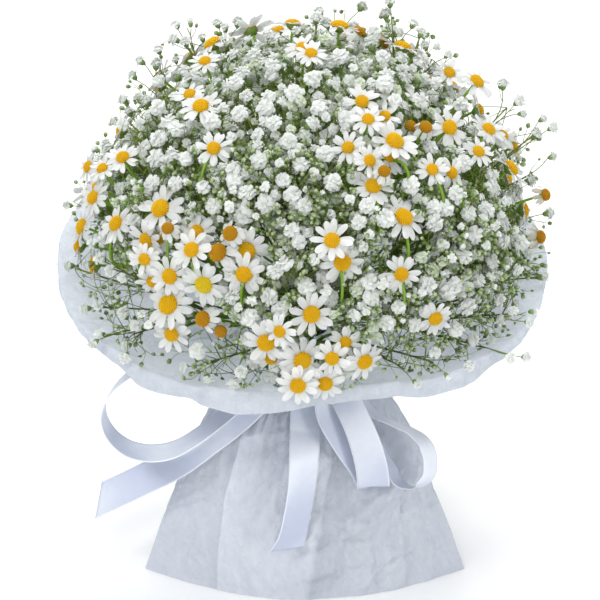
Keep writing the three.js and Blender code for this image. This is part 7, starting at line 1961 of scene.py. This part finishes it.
def math_node(nt, op, a, b=None, clamp=False):
    n = nt.nodes.new("ShaderNodeMath")
    n.operation = op
    n.use_clamp = clamp
    for i, x in enumerate((a, b)):
        if x is None:
            continue
        if isinstance(x, (int, float)):
            n.inputs[i].default_value = x
        else:
            nt.links.new(x, n.inputs[i])
    return n.outputs[0]


def ramp(nt, fac, stops, mode="LINEAR"):
    n = nt.nodes.new("ShaderNodeValToRGB")
    n.color_ramp.interpolation = mode
    el = n.color_ramp.elements
    while len(el) > 1:
        el.remove(el[-1])
    el[0].position, el[0].color = stops[0]
    for pos, col in stops[1:]:
        e = el.new(pos)
        e.color = col
    nt.links.new(fac, n.inputs[0])
    return n.outputs[0]


def mix_colour(nt, fac, a, b, blend="MIX"):
    n = nt.nodes.new("ShaderNodeMix")
    n.data_type, n.blend_type = "RGBA", blend
    for i, x in ((0, fac), (6, a), (7, b)):
        if isinstance(x, (int, float)):
            n.inputs[i].default_value = x
        elif isinstance(x, tuple):
            n.inputs[i].default_value = x
        else:
            nt.links.new(x, n.inputs[i])
    return n.outputs[2]


def plant_material(name, roughness, through):
    mat, nt, bsdf = new_material(name)
    uvn = nt.nodes.new("ShaderNodeUVMap")
    uvn.uv_map = "OFBake"
    sep = nt.nodes.new("ShaderNodeSeparateXYZ")
    nt.links.new(uvn.outputs[0], sep.inputs[0])
    u, v = sep.outputs[0], sep.outputs[1]
    a = ramp(nt, u, [(k / 16, linear(BASE[k])) for k in range(16)], "CONSTANT")
    b = ramp(nt, u, [(k / 16, linear(TIP[k])) for k in range(16)], "CONSTANT")
    col = mix_colour(nt, v, a, b)
    # each element is a little lighter or darker than the next, with soft streaks along it
    comb = nt.nodes.new("ShaderNodeCombineXYZ")
    nt.links.new(math_node(nt, "MULTIPLY", u, 16 * 6.0), comb.inputs[0])
    nt.links.new(math_node(nt, "MULTIPLY", v, 1.4), comb.inputs[1])
    noi = nt.nodes.new("ShaderNodeTexNoise")
    noi.inputs["Scale"].default_value = 1.0
    noi.inputs["Detail"].default_value = 1.5
    nt.links.new(comb.outputs[0], noi.inputs["Vector"])
    shade = ramp(nt, noi.outputs[0], [(0.3, (0.86, 0.86, 0.85, 1)), (0.5, (0.97, 0.97, 0.96, 1)), (0.68, (1.0, 1.0, 1.0, 1))])
    col = mix_colour(nt, 1.0, col, shade, "MULTIPLY")
    nt.links.new(col, bsdf.inputs["Base Color"])
    bsdf.inputs["Roughness"].default_value = roughness
    bsdf.inputs["Specular IOR Level"].default_value = 0.28
    # thin petals and leaves let some of the light through
    thin = nt.nodes.new("ShaderNodeBsdfTranslucent")
    nt.links.new(col, thin.inputs["Color"])
    mixer = nt.nodes.new("ShaderNodeMixShader")
    mixer.inputs[0].default_value = through
    nt.links.new(bsdf.outputs[0], mixer.inputs[1])
    nt.links.new(thin.outputs[0], mixer.inputs[2])
    nt.links.new(mixer.outputs[0], nt.nodes["Material Output"].inputs["Surface"])
    return mat


def tissue_material(name, lo, hi, through, layers_and_fold_shade=False):
    mat, nt, bsdf = new_material(name)
    tc = nt.nodes.new("ShaderNodeTexCoord")
    obj = tc.outputs["Object"]

    def noise(scale, detail, stretch=None, rough=0.55):
        src = obj
        if stretch:
            m = nt.nodes.new("ShaderNodeMapping")
            m.inputs["Scale"].default_value = stretch[:3]
            m.inputs["Rotation"].default_value = stretch[3:]
            nt.links.new(obj, m.inputs["Vector"])
            src = m.outputs[0]
        n = nt.nodes.new("ShaderNodeTexNoise")
        n.inputs["Scale"].default_value = scale
        n.inputs["Detail"].default_value = detail
        n.inputs["Roughness"].default_value = rough
        nt.links.new(src, n.inputs["Vector"])
        return n.outputs[0]

    cloud = noise(26, 5, None, 0.6)
    pulp = noise(150, 5, (1, 1, 0.55, 0.3, 0.2, 0.4), 0.7)
    fibre = noise(330, 3, (0.5, 1, 0.35, 0.5, 0.3, 0.9), 0.65)
    tone = math_node(nt, "ADD", math_node(nt, "MULTIPLY", cloud, 0.26), math_node(nt, "MULTIPLY", pulp, 0.50))
    tone = math_node(nt, "ADD", tone, math_node(nt, "MULTIPLY", fibre, 0.24))
    col = ramp(nt, tone, [(0.36, linear(lo)), (0.62, linear(hi))])
    if layers_and_fold_shade:
        # left of the front fold, where a second layer lies under this one, the sheet looks whiter; just right of that
        # fold is a narrow band of painted shade, where the sheet turns away from the light
        uvn = nt.nodes.new("ShaderNodeUVMap")
        uvn.uv_map = "UVMap"
        sep = nt.nodes.new("ShaderNodeSeparateXYZ")
        nt.links.new(uvn.outputs[0], sep.inputs[0])
        two = ramp(nt, math_node(nt, "SUBTRACT", sep.outputs[0], math_node(nt, "MULTIPLY", sep.outputs[1], 0.074)),
                   [(0.080, (1, 1, 1, 1)), (0.0845, (0.80, 0.815, 0.84, 1)), (0.125, (0.91, 0.915, 0.93, 1))])
        col = mix_colour(nt, 1.0, col, two, "MULTIPLY")
    nt.links.new(col, bsdf.inputs["Base Color"])
    bsdf.inputs["Roughness"].default_value = 0.62
    bsdf.inputs["Specular IOR Level"].default_value = 0.22
    bsdf.inputs["Sheen Weight"].default_value = 0.12
    bsdf.inputs["Sheen Roughness"].default_value = 0.5
    # fine pressed creases: thin ridges where two sides of a cell meet
    def cells(scale, warp_by, cap):
        vor = nt.nodes.new("ShaderNodeTexVoronoi")
        vor.feature = "DISTANCE_TO_EDGE"
        vor.inputs["Scale"].default_value = scale
        warp = nt.nodes.new("ShaderNodeTexNoise")
        warp.inputs["Scale"].default_value = scale * 0.45
        warp.inputs["Detail"].default_value = 3
        nt.links.new(obj, warp.inputs["Vector"])
        addv = nt.nodes.new("ShaderNodeVectorMath")
        addv.operation = "MULTIPLY_ADD"
        nt.links.new(warp.outputs["Color"], addv.inputs[0])
        addv.inputs[1].default_value = (warp_by, warp_by, warp_by)
        nt.links.new(obj, addv.inputs[2])
        nt.links.new(addv.outputs[0], vor.inputs["Vector"])
        return math_node(nt, "MINIMUM", vor.outputs["Distance"], cap)

    h = math_node(nt, "ADD", math_node(nt, "MULTIPLY", cells(62, 0.03, 0.2), 2.4), math_node(nt, "MULTIPLY", cells(150, 0.012, 0.22), 1.3))
    h = math_node(nt, "ADD", h, math_node(nt, "MULTIPLY", noise(95, 6, None, 0.62), 0.6))
    h = math_node(nt, "ADD", h, math_node(nt, "MULTIPLY", fibre, 0.3))
    bump = nt.nodes.new("ShaderNodeBump")
    bump.inputs["Strength"].default_value = 0.6
    bump.inputs["Distance"].default_value = 0.0013
    nt.links.new(h, bump.inputs["Height"])
    nt.links.new(bump.outputs[0], bsdf.inputs["Normal"])
    # some of the light comes through the sheet
    thin = nt.nodes.new("ShaderNodeBsdfTranslucent")
    nt.links.new(col, thin.inputs["Color"])
    nt.links.new(bump.outputs[0], thin.inputs["Normal"])
    mixer = nt.nodes.new("ShaderNodeMixShader")
    mixer.inputs[0].default_value = through
    nt.links.new(bsdf.outputs[0], mixer.inputs[1])
    nt.links.new(thin.outputs[0], mixer.inputs[2])
    nt.links.new(mixer.outputs[0], nt.nodes["Material Output"].inputs["Surface"])
    return mat


def satin_material(name):
    mat, nt, bsdf = new_material(name)
    uvn = nt.nodes.new("ShaderNodeUVMap")
    uvn.uv_map = "Weave"
    sep = nt.nodes.new("ShaderNodeSeparateXYZ")
    nt.links.new(uvn.outputs[0], sep.inputs[0])
    x, y = sep.outputs[0], sep.outputs[1]                     # metres across and along
    diag = math_node(nt, "ADD", math_node(nt, "MULTIPLY", x, 2 * math.pi / 0.00062), math_node(nt, "MULTIPLY", y, 2 * math.pi / 0.00088))
    twill = math_node(nt, "SINE", diag)
    warp_ = math_node(nt, "SINE", math_node(nt, "MULTIPLY", x, 2 * math.pi / 0.00041))
    noi = nt.nodes.new("ShaderNodeTexNoise")
    noi.inputs["Scale"].default_value = 190
    noi.inputs["Detail"].default_value = 3
    nt.links.new(uvn.outputs[0], noi.inputs["Vector"])
    # the selvedge: a narrow plain border along both edges
    dist = math_node(nt, "ABSOLUTE", math_node(nt, "SUBTRACT", x, 0.010))
    edge = math_node(nt, "GREATER_THAN", dist, 0.0088)
    # painted highlight and shade: soft slanting bands of lighter and darker satin that repeat every 112 mm along the
    # ribbon, brightest at the place each run gives for its highlight
    slant = math_node(nt, "ADD", math_node(nt, "MULTIPLY", y, 2 * math.pi / 0.112), math_node(nt, "MULTIPLY", math_node(nt, "SUBTRACT", x, 0.010), 28.0))
    painted_highlight = math_node(nt, "COSINE", slant)
    # painted sheen: a soft noise of broader lighter and darker bands along the ribbon
    comb = nt.nodes.new("ShaderNodeCombineXYZ")
    nt.links.new(math_node(nt, "ADD", math_node(nt, "MULTIPLY", x, 38.0), math_node(nt, "MULTIPLY", y, 9.0)), comb.inputs[0])
    nt.links.new(math_node(nt, "MULTIPLY", y, 24.0), comb.inputs[1])
    band_ = nt.nodes.new("ShaderNodeTexNoise")
    band_.inputs["Scale"].default_value = 1.0
    band_.inputs["Detail"].default_value = 1.0
    nt.links.new(comb.outputs[0], band_.inputs["Vector"])
    # the colour runs from painted shade at its dark end to painted highlight at its light end; the fine mottle and the
    # twill are the satin's own
    tone = math_node(nt, "ADD", math_node(nt, "MULTIPLY", noi.outputs[0], 0.12), math_node(nt, "MULTIPLY", twill, 0.05))
    tone = math_node(nt, "ADD", tone, math_node(nt, "MULTIPLY", band_.outputs[0], 0.36))
    tone = math_node(nt, "ADD", tone, math_node(nt, "MULTIPLY", math_node(nt, "ADD", painted_highlight, 1.0), 0.26))
    col = ramp(nt, tone, [(0.26, linear((189, 197, 218))), (0.5, linear((203, 211, 228))), (0.78, linear((236, 240, 248)))])
    col = mix_colour(nt, math_node(nt, "MULTIPLY", edge, 0.7), col, linear((242, 245, 252)))
    nt.links.new(col, bsdf.inputs["Base Color"])
    rough = math_node(nt, "ADD", math_node(nt, "MULTIPLY", noi.outputs[0], 0.08), 0.3)
    nt.links.new(rough, bsdf.inputs["Roughness"])
    bsdf.inputs["Specular IOR Level"].default_value = 1.0
    bsdf.inputs["Sheen Weight"].default_value = 0.15
    bsdf.inputs["Sheen Roughness"].default_value = 0.35
    h = math_node(nt, "ADD", math_node(nt, "MULTIPLY", twill, 0.6), math_node(nt, "MULTIPLY", warp_, 0.4))
    bump = nt.nodes.new("ShaderNodeBump")
    bump.inputs["Strength"].default_value = 0.2
    bump.inputs["Distance"].default_value = 0.00002
    nt.links.new(h, bump.inputs["Height"])
    nt.links.new(bump.outputs[0], bsdf.inputs["Normal"])
    return mat


DAISY_MAT = plant_material("daisy_plant", 0.5, 0.38)
GYP_MAT = plant_material("gypsophila_plant", 0.58, 0.46)
RAFFIA_MAT = plant_material("raffia", 0.72, 0.05)
COLLAR_MAT = tissue_material("tissue", (202, 208, 217), (218, 223, 230), 0.50)
SKIRT_MAT = tissue_material("tissue_wrap", (224, 230, 239), (241, 244, 250), 0.34, True)
SATIN_MAT = satin_material("satin")


# ---------------------------------------------------------------- pieces
def piece(ob, slot_name, *nodes):
    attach(ob, "root")
    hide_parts(*nodes)
    return ob


for i in range(DAISY_SPRAYS):
    piece(daisy(i).build(f"daisy_spray_{i + 1:02d}", DAISY_MAT), "daisy_plant", f"daisy_stem_{i + 1:02d}")
for i in range(len(SPRAYS) - DAISY_SPRAYS):
    piece(gypsophila(i).build(f"gypsophila_spray_{i + 1:02d}", GYP_MAT), "gypsophila_plant", f"gypsophila_stem_{i + 1:02d}")
piece(binding().build("raffia_binding", RAFFIA_MAT), "raffia", "stem_binding")

collar_ob = piece(collar().build("collar_sheet", COLLAR_MAT, uv_name="UVMap"), "tissue", "tissue_collar")
skirt_ob = piece(skirt().build("skirt_sheet", SKIRT_MAT, uv_name="UVMap"), "tissue", "tissue_skirt")
bow_geo, bow_length = bow()
bow_ob = piece(bow_geo.build("ribbon_bow_satin", SATIN_MAT, uv_name="Weave"), "satin", "ribbon_bow")
band_ob = piece(band().build("ribbon_band_satin", SATIN_MAT, uv_name="Weave"), "satin", "ribbon_band")

# ---------------------------------------------------------------- studio
me = bpy.data.meshes.new("floor")
S = 6.0
me.from_pydata([(-S, -S, -0.0004), (S, -S, -0.0004), (S, S, -0.0004), (-S, S, -0.0004)], [], [(0, 1, 2, 3)])
floor = bpy.data.objects.new("floor", me)
bpy.context.scene.collection.objects.link(floor)
fm, fnt, fb = new_material("studio_floor")
fb.inputs["Base Color"].default_value = (0.96, 0.96, 0.96, 1)
fb.inputs["Roughness"].default_value = 0.9
fb.inputs["Emission Color"].default_value = (1, 1, 1, 1)
fb.inputs["Emission Strength"].default_value = 0.07
fb.inputs["Specular IOR Level"].default_value = 0.1
me.materials.append(fm)

world = bpy.data.worlds.new("studio")
bpy.context.scene.world = world
world.use_nodes = True
bg = world.node_tree.nodes["Background"]
bg.inputs[0].default_value = (0.96, 0.98, 1.0, 1)
bg.inputs[1].default_value = 0.45


def softbox(name, place, aim, size, power, colour=(1, 1, 1)):
    data = bpy.data.lights.new(name, "AREA")
    data.shape, data.size, data.size_y, data.energy, data.color = "RECTANGLE", size[0], size[1], power, colour
    ob = bpy.data.objects.new(name, data)
    ob.location = place
    d = np.array(aim) - np.array(place)
    ob.rotation_euler = (math.atan2(math.hypot(d[0], d[1]), -d[2]), 0, math.atan2(-d[0], d[1]) if math.hypot(d[0], d[1]) > 1e-6 else 0)
    bpy.context.scene.collection.objects.link(ob)
    return ob


softbox("key", (-1.0, -1.2, 1.6), (0, 0, 0.2), (0.5, 0.5), 15)
softbox("front", (-0.3, -1.9, 1.45), (0, 0, 0.15), (0.5, 0.5), 7.5)
softbox("fill", (1.25, -1.25, 0.55), (0, 0, 0.12), (0.5, 0.7), 6)
softbox("top", (0.15, 0.1, 2.1), (0, 0, 0.2), (0.9, 0.9), 19)
softbox("back", (0, 1.7, 2.2), (0, 0.9, 0), (2.2, 1.6), 26)

E, D = CAM_E, 2.2
target = np.array([-0.00345, 0.0011, 0.183])
cam_data = bpy.data.cameras.new("camera")
cam_data.sensor_width = 36.0
cam_data.sensor_fit = "HORIZONTAL"
cam_data.lens = 3548.4 / 600 * 36
cam_data.clip_end = 50
cam = bpy.data.objects.new("camera", cam_data)
cam.location = target + D * np.array([0, -math.cos(E), math.sin(E)])
cam.rotation_euler = (math.pi / 2 - E, 0, 0)
bpy.context.scene.collection.objects.link(cam)
bpy.context.scene.camera = cam
bpy.context.scene.view_settings.view_transform = "Standard"

bpy.context.view_layer.update()
